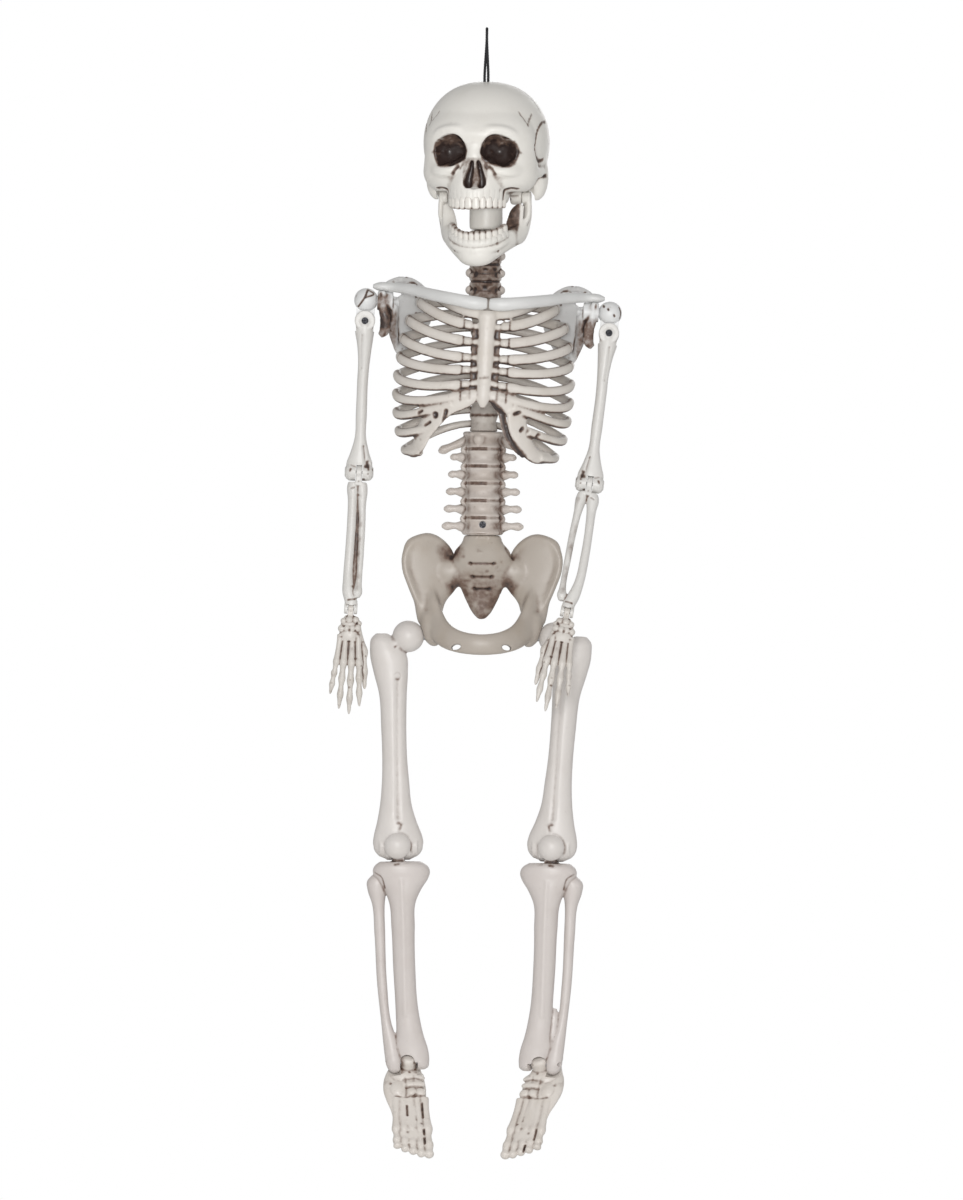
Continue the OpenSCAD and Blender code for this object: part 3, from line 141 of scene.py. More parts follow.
class Nodes:
    """Adds nodes to one node tree."""

    def __init__(self, tree: bpy.types.NodeTree) -> None:
        """Takes the tree to add to."""
        self.tree = tree

    def add(self, kind: str) -> bpy.types.Node:
        """A new node of a kind."""
        return self.tree.nodes.new(kind)

    def feed(self, slot: Socket, value: object) -> None:
        """Links a socket to an input, or sets its colour or number."""
        if isinstance(value, Socket):
            self.tree.links.new(value, slot)
        else:
            slot.default_value = (*value, 1.0) if isinstance(value, tuple) else value

    def place(self) -> Socket:
        """Socket of the place in the object's frame."""
        return self.add("ShaderNodeTexCoord").outputs["Object"]

    def attribute(self, name: str) -> Socket:
        """Socket of a mesh attribute."""
        node = self.add("ShaderNodeAttribute")
        node.attribute_name = name
        return node.outputs["Fac"]

    def noise(self, source: Socket, scale: float, detail: float) -> Socket:
        """Adds a noise texture.

        Args:
            source: coordinates to read
            scale: cells per metre
            detail: number of octaves

        Returns:
            The noise value's socket.
        """
        node = self.add("ShaderNodeTexNoise")
        for name, value in (("Scale", scale), ("Detail", detail), ("Vector", source)):
            self.feed(node.inputs[name], value)
        return node.outputs[0]

    def math(self, kind: str, *values: object) -> Socket:
        """Adds a math node.

        Args:
            kind: the operation
            values: sockets or numbers, in order

        Returns:
            The result's socket.
        """
        node = self.add("ShaderNodeMath")
        node.operation = kind
        for slot, value in zip(node.inputs, values):
            self.feed(slot, value)
        return node.outputs[0]

    def mix(self, factor: Socket, a: object, b: object) -> Socket:
        """Adds a colour mix.

        Args:
            factor: socket of the mix factor
            a: socket or colour at factor 0
            b: socket or colour at factor 1

        Returns:
            The mixed colour's socket.
        """
        node = self.add("ShaderNodeMix")
        node.data_type = "RGBA"
        for slot, value in ((node.inputs["Factor"], factor), (node.inputs[6], a), (node.inputs[7], b)):
            self.feed(slot, value)
        return node.outputs[2]

    def span(self, value: Socket, low: float, high: float, to_low: float = 0.0, to_high: float = 1.0) -> Socket:
        """Adds a smooth step.

        Args:
            value: socket to read
            low: value where the step starts
            high: value where the step ends
            to_low: result before the step
            to_high: result after the step

        Returns:
            The step's socket.
        """
        node = self.add("ShaderNodeMapRange")
        node.interpolation_type = "SMOOTHSTEP"
        for name, number in (("From Min", low), ("From Max", high), ("To Min", to_low), ("To Max", to_high),
                             ("Value", value)):
            self.feed(node.inputs[name], number)
        return node.outputs[0]

    def bump(self, shader: bpy.types.Node, height: Socket, strength: float, distance: float) -> None:
        """Feeds a height to the shader's normal.

        Args:
            shader: the shader node
            height: socket of the height
            strength: strength of the bump
            distance: depth of the bump in metres
        """
        node = self.add("ShaderNodeBump")
        for name, value in (("Strength", strength), ("Distance", distance), ("Height", height)):
            self.feed(node.inputs[name], value)
        self.feed(shader.inputs["Normal"], node.outputs[0])


def blank(name: str) -> tuple[bpy.types.Material, Nodes, bpy.types.Node]:
    """A new node material with its nodes and its shader."""
    material = bpy.data.materials.new(name)
    material.use_nodes = True
    nodes = Nodes(material.node_tree)
    return material, nodes, nodes.tree.nodes["Principled BSDF"]


class Paints:
    """Builds the materials and the node group that they share."""

    WASH_AND_SHADE = "recess"
    TWIST = "twist"
    INPUTS = {"Tone": "Color", "Wash": "Color", "Dark": "Color", "Recess": "Float", "Mottle": "Float",
              "Gloss": "Float"}
    OUTPUTS = {"Color": "Color", "Roughness": "Float", "Height": "Float"}

    def __init__(self) -> None:
        """Makes the shared wash group."""
        self.group = self._wash_and_shade_group()
        self.made: dict[str, bpy.types.Material] = {}

    def _wash_and_shade_group(self) -> bpy.types.NodeTree:
        """Builds the group that lays the brown wash into the recesses and the painted shade onto the bones.

        Returns:
            The node group.
        """
        tree = bpy.data.node_groups.new("antique_wash_and_shade", "ShaderNodeTree")
        for way, sockets in (("INPUT", self.INPUTS), ("OUTPUT", self.OUTPUTS)):
            for name, kind in sockets.items():
                tree.interface.new_socket(name, in_out=way, socket_type="NodeSocket" + kind)
        nodes = Nodes(tree)
        enter = nodes.add("NodeGroupInput").outputs
        leave = nodes.add("NodeGroupOutput").inputs
        place = nodes.place()
        cloud = nodes.noise(place, 42.0, 3.0)
        spots = nodes.noise(place, 300.0, 4.0)
        grain = nodes.noise(place, 1500.0, 3.0)
        uneven = nodes.math("SUBTRACT", spots, 0.5)
        # the wash breaks up in patches of a few millimetres
        laid = nodes.math("MULTIPLY", enter["Recess"], nodes.math("MULTIPLY_ADD", uneven, 1.1, 0.9))
        thin = nodes.span(laid, 0.06, 0.95)
        thick = nodes.span(laid, 0.75, 1.5)
        # faint warm and cool clouds in the plain plastic
        warm = nodes.math("MULTIPLY", nodes.span(cloud, 0.42, 0.72), enter["Mottle"])
        tint = nodes.add("ShaderNodeHueSaturation")
        for name, value in (("Saturation", 1.35), ("Value", 0.88), ("Color", enter["Tone"])):
            nodes.feed(tint.inputs[name], value)
        tone = nodes.mix(warm, enter["Tone"], tint.outputs[0])
        speck = nodes.math("MULTIPLY", nodes.span(spots, 0.66, 0.74, 0.0, 0.22), enter["Mottle"])
        tone = nodes.mix(speck, tone, enter["Wash"])
        nodes.feed(leave["Color"], nodes.mix(thick, nodes.mix(thin, tone, enter["Wash"]), enter["Dark"]))
        rough = nodes.math("MULTIPLY_ADD", thin, 0.16, enter["Gloss"])
        rough = nodes.math("MULTIPLY_ADD", thick, -0.24, rough)
        nodes.feed(leave["Roughness"], nodes.math("MULTIPLY_ADD", uneven, 0.16, rough))
        height = nodes.math("MULTIPLY_ADD", spots, 0.7, nodes.math("MULTIPLY", grain, 0.3))
        nodes.feed(leave["Height"], height)
        return tree

    def of(self, finish: Finish) -> bpy.types.Material:
        """The material of a finish, made once."""
        if finish.name not in self.made:
            material, nodes, shader = blank(finish.name)
            fill = {BoneFinish: self._bone, SteelFinish: self._steel, CordFinish: self._cord}[type(finish)]
            fill(finish, nodes, shader)
            self.made[finish.name] = material
        return self.made[finish.name]

    def repaint(self, node: str, finish: Finish) -> None:
        """Gives a solid that keeps its own mesh a finish."""
        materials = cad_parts[node].data.materials
        materials.clear()
        materials.append(self.of(finish))

    def _bone(self, finish: BoneFinish, nodes: Nodes, shader: bpy.types.Node) -> None:
        """Fills the material of a bone.

        Args:
            finish: the finish
            nodes: the material's nodes
            shader: the shader node
        """
        group = nodes.add("ShaderNodeGroup")
        group.node_tree = self.group
        for name, value in (("Tone", finish.tone), ("Wash", finish.wash), ("Dark", finish.dark),
                            ("Mottle", finish.mottle), ("Gloss", finish.roughness),
                            ("Recess", nodes.attribute(self.WASH_AND_SHADE))):
            nodes.feed(group.inputs[name], value)
        nodes.feed(shader.inputs["Base Color"], group.outputs["Color"])
        nodes.feed(shader.inputs["Roughness"], group.outputs["Roughness"])
        nodes.bump(shader, group.outputs["Height"], 0.22, 0.0004)

    @staticmethod
    def _steel(finish: SteelFinish, nodes: Nodes, shader: bpy.types.Node) -> None:
        """Fills the material of the screws and pins.

        Args:
            finish: the finish
            nodes: the material's nodes
            shader: the shader node
        """
        spots = nodes.noise(nodes.place(), finish.scale, 4.0)
        nodes.feed(shader.inputs["Base Color"], nodes.mix(nodes.span(spots, 0.4, 0.75), finish.tone, finish.shade))
        nodes.feed(shader.inputs["Roughness"], nodes.span(spots, 0.3, 0.7, 0.28, 0.5))
        nodes.feed(shader.inputs["Metallic"], 1.0)
        nodes.bump(shader, spots, 0.15, 0.0002)

    def _cord(self, finish: CordFinish, nodes: Nodes, shader: bpy.types.Node) -> None:
        """Fills the material of the hanging cord, with a painted highlight on the crowns of the strands.

        Args:
            finish: the finish
            nodes: the material's nodes
            shader: the shader node
        """
        fibre = nodes.noise(nodes.place(), finish.scale, 3.0)
        # painted highlight: the crowns of the strands are a little lighter
        lit = nodes.math("MULTIPLY", nodes.span(nodes.attribute(self.TWIST), 0.2, 1.0), fibre)
        nodes.feed(shader.inputs["Base Color"], nodes.mix(lit, finish.tone, finish.painted_highlight))
        nodes.feed(shader.inputs["Roughness"], nodes.span(fibre, 0.3, 0.7, 0.7, 0.95))
        nodes.bump(shader, fibre, 0.5, 0.0003)


# Forms and bones


def shift(x: float, y: float, z: float) -> Matrix:
    """Matrix that moves by x, y, z."""
    return Matrix.Translation((x, y, z))


def turn(axis: str, degrees: float) -> Matrix:
    """Matrix that turns about an axis through the origin."""
    return Matrix.Rotation(math.radians(degrees), 4, axis)


def unit(values: np.ndarray) -> np.ndarray:
    """Values held between 0 and 1."""
    return np.clip(values, 0, 1)


def fair(rows: Sequence[Row], pace: float) -> np.ndarray:
    """Runs a smooth curve through rows whose first three values are a place.

    Args:
        rows: the rows to pass through
        pace: largest step between the rows returned, in millimetres

    Returns:
        The rows along the curve, the given ones among them.
    """
    knots = np.asarray(rows, float)
    gaps = np.linalg.norm(np.diff(knots[:, :3], axis=0), axis=1).clip(1e-6)
    at = np.concatenate([[0.0], np.cumsum(gaps)])
    slope = np.gradient(knots, at, axis=0) if len(knots) > 2 else np.diff(knots, axis=0).repeat(2, 0) / gaps[0]
    out = []
    for i, gap in enumerate(gaps):
        parts = max(1, math.ceil(gap / pace))
        for t in np.arange(parts) / parts:
            h1 = 2 * t ** 3 - 3 * t ** 2 + 1
            h2 = t ** 3 - 2 * t ** 2 + t
            h3 = 3 * t ** 2 - 2 * t ** 3
            h4 = t ** 3 - t ** 2
            out.append(h1 * knots[i] + h2 * gap * slope[i] + h3 * knots[i + 1] + h4 * gap * slope[i + 1])
    return np.array([*out, knots[-1]])


class Form:
    """Closed shapes in one bmesh, in millimetres, drawn in a frame of their own."""

    THIN = 0.05  # least half size of a ring

    def __init__(self, place: Matrix, bm: Optional[bmesh.types.BMesh] = None) -> None:
        """Starts an empty form in the frame place, or goes on with the bmesh bm."""
        self.place = place
        self.bm = bmesh.new() if bm is None else bm

    def within(self, place: Matrix) -> "Form":
        """The same form, drawn in another frame."""
        return Form(place, self.bm)

    def loft(self, rings: Sequence[Matrix], segments: int) -> None:
        """Adds a closed tube through rings.

        Args:
            rings: matrices that lay the unit circle into each ring
            segments: points round a ring
        """
        bm = self.bm
        loop = bmesh.ops.create_circle(bm, cap_ends=False, segments=segments, radius=1.0)["verts"]
        circle = [v.co.copy() for v in loop]
        edges = list({e for v in loop for e in v.link_edges})
        first = edges
        for vert, spot in zip(loop, circle):
            vert.co = self.place @ (rings[0] @ spot)
        for ring in rings[1:]:
            order = {v: i for i, v in enumerate(loop)}
            grown = bmesh.ops.extrude_edge_only(bm, edges=edges)["geom"]
            edges = [g for g in grown if isinstance(g, bmesh.types.BMEdge)]
            new: list[Optional[bmesh.types.BMVert]] = [None] * segments
            for vert in (g for g in grown if isinstance(g, bmesh.types.BMVert)):
                for edge in vert.link_edges:
                    other = edge.other_vert(vert)
                    if other in order:
                        new[order[other]] = vert
            edges = [e for e in edges if e.verts[0] not in order and e.verts[1] not in order]
            loop = new
            for vert, spot in zip(loop, circle):
                vert.co = self.place @ (ring @ spot)
        for ends in (first, edges):
            bmesh.ops.contextual_create(bm, geom=ends)

    def stack(self, stations: Sequence[Row], segments: int = 28, pace: float = 2.0) -> None:
        """Adds a solid through level ellipses.

        Args:
            stations: rows of x, y, z, half width and half depth
            segments: points round an ellipse
            pace: largest step between ellipses
        """
        rings = []
        for x, y, z, a, b in fair(stations, pace):
            rings.append(shift(x, y, z) @ Matrix.Diagonal((max(a, self.THIN), max(b, self.THIN), 1.0, 1.0)))
        self.loft(rings, segments)

    def sweep(self, path: Sequence[Row], outs: Sequence[Row], sizes: Sequence[Row], segments: int = 20,
              pace: float = 2.0, first: Optional[Row] = None) -> None:
        """Adds a bar along a path.

        Args:
            path: points of the path
            outs: outward direction at each point
            sizes: half sizes sideways and outwards at each point
            segments: points round the bar
            pace: largest step between rings
            first: direction that the start faces, or None
        """
        rows = fair([[*p, *s, *o] for p, s, o in zip(path, sizes, outs)], pace)
        rings = []
        last = len(rows) - 1
        for i, row in enumerate(rows):
            tangent = Vector(rows[min(i + 1, last)][:3] - rows[max(i - 1, 0)][:3]).normalized()
            if i == 0 and first is not None:
                tangent = Vector(first).normalized()
            out = Vector(row[5:8])
            out = (out - out.dot(tangent) * tangent).normalized()
            across = out.cross(tangent)
            a, b = max(row[3], self.THIN), max(row[4], self.THIN)
            ring = Matrix((across * a, out * b, tangent)).transposed().to_4x4()
            ring.translation = row[:3]
            rings.append(ring)
        self.loft(rings, segments)

    def ball(self, centre: Row, radii: Row, turned: Matrix = Matrix(), segments: int = 32,
             square: float = 2.0) -> None:
        """Adds an ellipsoid.

        Args:
            centre: its centre
            radii: its half sizes
            turned: its turn
            segments: points round it
            square: 2 for round as seen along Y, more for squarer
        """
        place = self.place @ Matrix.Translation(centre) @ turned @ Matrix.Diagonal((*radii, 1.0))
        made = bmesh.ops.create_uvsphere(self.bm, u_segments=segments, v_segments=segments // 2, radius=1.0)
        for v in made["verts"]:
            flat = (abs(v.co.x) ** square + abs(v.co.z) ** square) ** (1 / square)
            grow = math.hypot(v.co.x, v.co.z) / flat if flat > 1e-6 else 1.0
            v.co = place @ Vector((v.co.x * grow, v.co.y, v.co.z * grow))

    def globe(self, centre: Row, r: float, segments: int = 48) -> None:
        """Adds a round ball."""
        self.ball(centre, (r, r, r), segments=segments)

    def drum(self, x0: float, x1: float, r: float, y: float = 0.0, z: float = 0.0, axis: str = "X",
             segments: int = 48) -> None:
        """Adds a cylinder along an axis.

        Args:
            x0: start along the axis
            x1: end along the axis
            r: radius
            y: second coordinate of the axis line, or x for an axis other than X
            z: third coordinate of the axis line, or y for the axis Z
            axis: X, Y or Z
            segments: points round it
        """
        middle = 0.5 * (x0 + x1)
        lay = {"X": shift(middle, y, z) @ turn("Y", 90), "Y": shift(y, middle, z) @ turn("X", -90),
               "Z": shift(y, z, middle)}[axis]
        bmesh.ops.create_cone(self.bm, cap_ends=True, segments=segments, radius1=r, radius2=r, depth=abs(x1 - x0),
                              matrix=self.place @ lay)

    def block(self, low: Row, high: Row) -> None:
        """Adds a box.

        Args:
            low: its lowest corner
            high: its highest corner
        """
        size = [h - l for l, h in zip(low, high)]
        centre = [0.5 * (h + l) for l, h in zip(low, high)]
        place = self.place @ Matrix.Translation(centre) @ Matrix.Diagonal((*size, 1.0))
        bmesh.ops.create_cube(self.bm, size=1.0, matrix=place)

    def mesh(self, name: str) -> bpy.types.Mesh:
        """Closes the form.

        Args:
            name: name of the mesh

        Returns:
            The mesh, in millimetres.
        """
        bmesh.ops.recalc_face_normals(self.bm, faces=self.bm.faces)
        mesh = bpy.data.meshes.new(name)
        self.bm.to_mesh(mesh)
        self.bm.free()
        return mesh


def lattice(points: np.ndarray, scale: float, seed: int) -> np.ndarray:
    """Smooth value noise.

    Args:
        points: places, one a row
        scale: size of a cell
        seed: number of the pattern

    Returns:
        Values from 0 to 1.
    """
    cell = points / scale
    base = np.floor(cell).astype(np.int64)
    part = cell - base
    part = part * part * (3 - 2 * part)
    total = np.zeros(len(points))
    for corner in range(8):
        step = np.array([corner & 1, corner >> 1 & 1, corner >> 2 & 1])
        key = ((base + step) * np.array([73856093, 19349663, 83492791])).sum(1) + seed * 2654435761
        key = (key ^ (key >> 13)) * 1274126177
        value = ((key ^ (key >> 16)) & 0xFFFF) / 65535.0
        total += value * np.where(step == 1, part, 1 - part).prod(1)
    return total


def read_points(mesh: bpy.types.Mesh) -> tuple[np.ndarray, np.ndarray]:
    """Places and normals of a mesh's points, one a row."""
    flat = np.empty(len(mesh.vertices) * 3, np.float32)
    mesh.vertices.foreach_get("co", flat)
    spots = flat.reshape(-1, 3).astype(float)
    mesh.vertex_normals.foreach_get("vector", flat)
    return spots, flat.reshape(-1, 3).astype(float)


class Sculpt:
    """Carving, wash and painted shade on one mesh, in the bone's own frame."""

    def __init__(self, mesh: bpy.types.Mesh, place: Matrix) -> None:
        """Reads the mesh's points and normals into the frame place."""
        self.mesh = mesh
        self.world, self.normal = read_points(mesh)
        inverse = np.array(place.inverted())
        self.spot = self.world @ inverse[:3, :3].T + inverse[:3, 3]
        facing = self.normal @ inverse[:3, :3].T
        self.facing = facing / np.linalg.norm(facing, axis=1, keepdims=True).clip(1e-9)
        self.sink = np.zeros(len(self.spot))
        self.paint = np.zeros(len(self.spot))

    def _near(self, path: np.ndarray, along: Optional[Row]) -> np.ndarray:
        """Distance of each point to a path.

        Args:
            path: points of the path
            along: direction that doesn't count, or None

        Returns:
            The distances.
        """
        spot = self.spot
        if along is not None:
            way = np.asarray(along, float)
            way = way / np.linalg.norm(way)
            spot = spot - np.outer(spot @ way, way)
            path = path - np.outer(path @ way, way)
        best = np.full(len(spot), 1e9)
        for a, b in zip(path[:-1], path[1:]):
            run = b - a
            t = unit((spot - a) @ run / max(run @ run, 1e-9))
            best = np.minimum(best, np.linalg.norm(spot - a - t[:, None] * run, axis=1))
        return best

    def groove(self, path: Sequence[Row], width: float, depth: float, paint: float,
               along: Optional[Row] = None, wave: float = 0.0) -> None:
        """Cuts a groove, or raises a ridge where depth is negative.

        Args:
            path: points of the groove's line
            width: half width
            depth: depth
            paint: wash in it
            along: direction that the surface faces, or None for a line on the surface
            wave: sideways waves of the line
        """
        line = fair(path, 1.0) if len(path) > 1 else np.asarray([path[0], path[0]], float)
        if wave:
            phase = np.arange(len(line))
            sway = [np.sin(phase * rate + start) for rate, start in ((1.9, 0), (1.3, 1), (1.6, 2))]
            line = line + wave * np.stack(sway, 1)
        share = unit(1 - self._near(line, along) / width)
        share = share * share * (3 - 2 * share)
        if along is not None:
            way = np.asarray(along, float)
            share = share * (self.facing @ (way / np.linalg.norm(way)) > 0.15)
        self.sink += depth * share
        self.paint += paint * share

    def paint_by_place(self, test: Callable[[np.ndarray], np.ndarray]) -> None:
        """Adds wash, and painted shade where a bone lays it, by a function of the place in the bone's frame."""
        self.paint += test(self.spot)

    def pits(self, size: float, depth: float, share: float, paint: float, seed: int,
             where: Optional[np.ndarray] = None) -> None:
        """Scatters shallow pits.

        Args:
            size: distance between pits
            depth: depth of a pit
            share: share of the surface from 0 to 1
            paint: wash in a pit
            seed: number of the pattern
            where: weight at each point, or None
        """
        low = unit((share - lattice(self.spot, size, seed)) / 0.15)
        if where is not None:
            low = low * where
        self.sink += depth * low
        self.paint += paint * low

    def lumps(self, size: float, height: float, seed: int) -> None:
        """Makes the surface slightly uneven.

        Args:
            size: distance between lumps
            height: height of a lump
            seed: number of the pattern
        """
        self.sink += height * (lattice(self.spot, size, seed) - 0.5)

    def close(self) -> None:
        """Writes the carved places back to the mesh."""
        moved = self.world - self.normal * self.sink[:, None]
        self.mesh.vertices.foreach_set("co", moved.astype(np.float32).ravel())
        self.mesh.update()


class Bone:
    """One bone: shapes merged to a skin, carved, cut for its joints and washed."""

    NEAR_STEPS, FAR_STEPS, WASH_STEPS = 8, 60, 2  # rounds of blur for narrow and wide recesses and for the wash
    NARROW, WIDE = 0.16, 1.3  # depth of a recess that takes full wash, in steps of the skin
    FULL, MOST = 1.6, 2.0  # most wash of one kind and of all kinds

    def __init__(self, name: str, place: Matrix, voxel: float) -> None:
        """Starts a bone.

        Args:
            name: the bone's node
            place: the bone's own frame, in millimetres
            voxel: step of the skin
        """
        self.name = name
        self.place = place
        self.voxel = voxel
        self.solid = Form(place)
        self.hollows: list[Form] = []
        self.fits: list[Form] = []
        self.sculpt: Optional[Sculpt] = None

    def hollow(self) -> Form:
        """A new form that is cut from the skin before it is smoothed."""
        self.hollows.append(Form(self.place))
        return self.hollows[-1]

    def fit(self, place: Optional[Matrix] = None) -> Form:
        """A new form that is cut sharply at the end, for a bore or a slot."""
        self.fits.append(Form(place if place is not None else self.place))
        return self.fits[-1]

    def _through(self, mesh: bpy.types.Mesh, setup: Callable[[bpy.types.Object], list[bpy.types.Object]],
                 ) -> bpy.types.Mesh:
        """Puts a mesh through modifiers.

        Args:
            mesh: the mesh, which is removed
            setup: adds the modifiers and returns the helper objects

        Returns:
            The new mesh.
        """
        holder = bpy.data.objects.new("work", mesh)
        bpy.context.scene.collection.objects.link(holder)
        helpers = setup(holder)
        graph = bpy.context.evaluated_depsgraph_get()
        result = bpy.data.meshes.new_from_object(holder.evaluated_get(graph), depsgraph=graph)
        for each in [holder, *helpers]:
            data = each.data
            bpy.data.objects.remove(each)
            bpy.data.meshes.remove(data)
        return result

    def _skin(self, smooth: int) -> Callable[[bpy.types.Object], list[bpy.types.Object]]:
        """Modifiers that merge the shapes to one smooth skin."""

        def setup(holder: bpy.types.Object) -> list[bpy.types.Object]:
            """Adds a remesh and a smoothing."""
            remesh = holder.modifiers.new("skin", "REMESH")
            remesh.mode = "VOXEL"
            remesh.voxel_size = self.voxel
            relax = holder.modifiers.new("relax", "SMOOTH")
            relax.factor = 0.5
            relax.iterations = smooth
            return []

        return setup

    @staticmethod
    def _cut(forms: Sequence[Form]) -> Callable[[bpy.types.Object], list[bpy.types.Object]]:
        """Modifiers that cut forms away."""

        def setup(holder: bpy.types.Object) -> list[bpy.types.Object]:
            """Adds one boolean for each form."""
            tools = []
            for number, form in enumerate(forms):
                tool = bpy.data.objects.new(f"tool{number}", form.mesh(f"tool{number}"))
                bpy.context.scene.collection.objects.link(tool)
                tool.hide_render = True
                cut = holder.modifiers.new(f"cut{number}", "BOOLEAN")
                cut.operation = "DIFFERENCE"
                cut.solver = "MANIFOLD"
                cut.object = tool
                tools.append(tool)
            bpy.context.view_layer.update()
            return tools

        return setup

    def grow(self, smooth: int, second: int = 4) -> Sculpt:
        """Merges the shapes to one skin and cuts the hollows.

        Args:
            smooth: smoothing steps of the first skin
            second: smoothing steps after the hollows

        Returns:
            The carving of the skin.
        """
        mesh = self._through(self.solid.mesh(self.name), self._skin(smooth))
        if self.hollows:
            mesh = self._through(mesh, self._cut(self.hollows))
            mesh = self._through(mesh, self._skin(second))
        self.sculpt = Sculpt(mesh, self.place)
        return self.sculpt

    @staticmethod
    def _blur(values: np.ndarray, edges: np.ndarray, steps: int) -> np.ndarray:
        """Averages values with their neighbours' along the mesh.

        Args:
            values: one row a point
            edges: pairs of points
            steps: number of rounds

        Returns:
            The smoothed values.
        """
        count = len(values)
        a, b = edges[:, 0], edges[:, 1]
        share = np.bincount(a, minlength=count) + np.bincount(b, minlength=count) + 1.0
        out = values
        for _ in range(steps):
            columns = [np.bincount(a, out[b, k], count) + np.bincount(b, out[a, k], count) + out[:, k]
                       for k in range(out.shape[1])]
            out = np.stack(columns, 1) / share[:, None]
        return out

    def finish(self, paints: Paints, body: str, finish: BoneFinish, fine: float, broad: float) -> bpy.types.Object:
        """Cuts the fits, lays the wash and the painted shade, and hangs the bone on its body.

        Args:
            paints: the materials
            body: the body that the bone rides on
            finish: the bone's finish
            fine: wash in narrow recesses
            broad: wash in wide recesses

        Returns:
            The bone's object.
        """
        self.sculpt.close()
        mesh = self.sculpt.mesh
        edges = np.empty(len(mesh.edges) * 2, np.int32)
        mesh.edges.foreach_get("vertices", edges)
        edges = edges.reshape(-1, 2)
        spots, normals = read_points(mesh)
        near = self._blur(spots, edges, self.NEAR_STEPS)
        far = self._blur(near, edges, self.FAR_STEPS)
        small = ((near - spots) * normals).sum(1) / (self.NARROW * self.voxel)
        large = ((far - spots) * normals).sum(1) / (self.WIDE * self.voxel)
        recess = fine * np.clip(small, 0, self.FULL) + broad * np.clip(large, 0, self.FULL) + self.sculpt.paint
        recess = self._blur(np.clip(recess, 0, self.MOST)[:, None], edges, self.WASH_STEPS)[:, 0]
        layer = mesh.attributes.new(Paints.WASH_AND_SHADE, "FLOAT", "POINT")
        layer.data.foreach_set("value", recess.astype(np.float32))
        mesh = self._machined()
        mesh.materials.clear()
        dress(mesh, paints.of(finish), bool(self.fits))
        return hang(mesh, self.name + "_dress", body, [self.name])

    def _machined(self) -> bpy.types.Mesh:
        """The grown mesh with its fits cut."""
        return self._through(self.sculpt.mesh, self._cut(self.fits)) if self.fits else self.sculpt.mesh

    def bare(self, paints: Paints, body: str, finish: BoneFinish) -> bpy.types.Object:
        """Hangs the bone as it grew, without wash, as a piece that stands for no node.

        Args:
            paints: the materials
            body: the body that the bone rides on
            finish: the bone's finish

        Returns:
            The bone's object.
        """
        mesh = dress(self._machined(), paints.of(finish), bool(self.fits))
        return hang(mesh, self.name, body, [])


def dress(mesh: bpy.types.Mesh, material: bpy.types.Material, sharp: bool = False) -> bpy.types.Mesh:
    """Brings a mesh to metres and appends its material.

    Args:
        mesh: the mesh, in millimetres
        material: the material
        sharp: whether steep edges stay sharp

    Returns:
        The same mesh.
    """
    mesh.transform(Matrix.Scale(MM, 4))
    mesh.shade_smooth()
    if sharp:
        mesh.set_sharp_from_angle(angle=math.radians(SHARP_EDGE))
    mesh.materials.append(material)
    return mesh


def hang(mesh: bpy.types.Mesh, name: str, body: str, nodes: Sequence[str]) -> bpy.types.Object:
    """Makes a piece of a mesh and hangs it on a body.

    Args:
        mesh: the mesh, in metres
        name: the piece's name
        body: the body that it rides on
        nodes: the nodes that it stands for

    Returns:
        The piece.
    """
    mesh.name = name
    piece = bpy.data.objects.new(name, mesh)
    bpy.context.scene.collection.objects.link(piece)
    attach(piece, body)
    if nodes:
        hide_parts(*nodes)
    LOG.info("%s: %d faces on %s", name, len(mesh.polygons), body)
    return piece


# The figure's frames


@dataclass(frozen=True)
class Fit:
    """Sizes that two parts share, in millimetres."""

    gap: float = 0.3
    cavity_d: float = 80.0
    cavity_drop: float = 48.0
    jaw_pin_y: float = 2.0
    jaw_pin_drop: float = 97.0
    neck_peg_d: float = 18.0
    spigot_d: float = 12.0
    spigot_h: float = 15.0
    yoke_r: float = 10.0
    axle_d: float = 8.0
    screw_d: float = 3.0
    screw_head_d: float = 5.6
    hip_ball_d: float = 26.6
    hip_pin_d: float = 6.0
    slide: float = 0.05
    press: float = 0.02

    def loose(self, diameter: float) -> float:
        """Radius of a bore that turns on a pin of this diameter."""
        return 0.5 * diameter + self.slide

    def tight(self, diameter: float) -> float:
        """Radius of a bore that holds a pin of this diameter."""
        return 0.5 * diameter + self.press

    def inner(self, size: float) -> float:
        """Half of a peg or a tongue that stays within this size."""
        return 0.5 * size - self.slide

    @property
    def boss_end(self) -> float:
        """Outer end of the shoulder blade's boss."""
        return STANCE.shoulder_x - math.sqrt(self.yoke_r ** 2 - 0.25 * self.axle_d ** 2) - self.gap


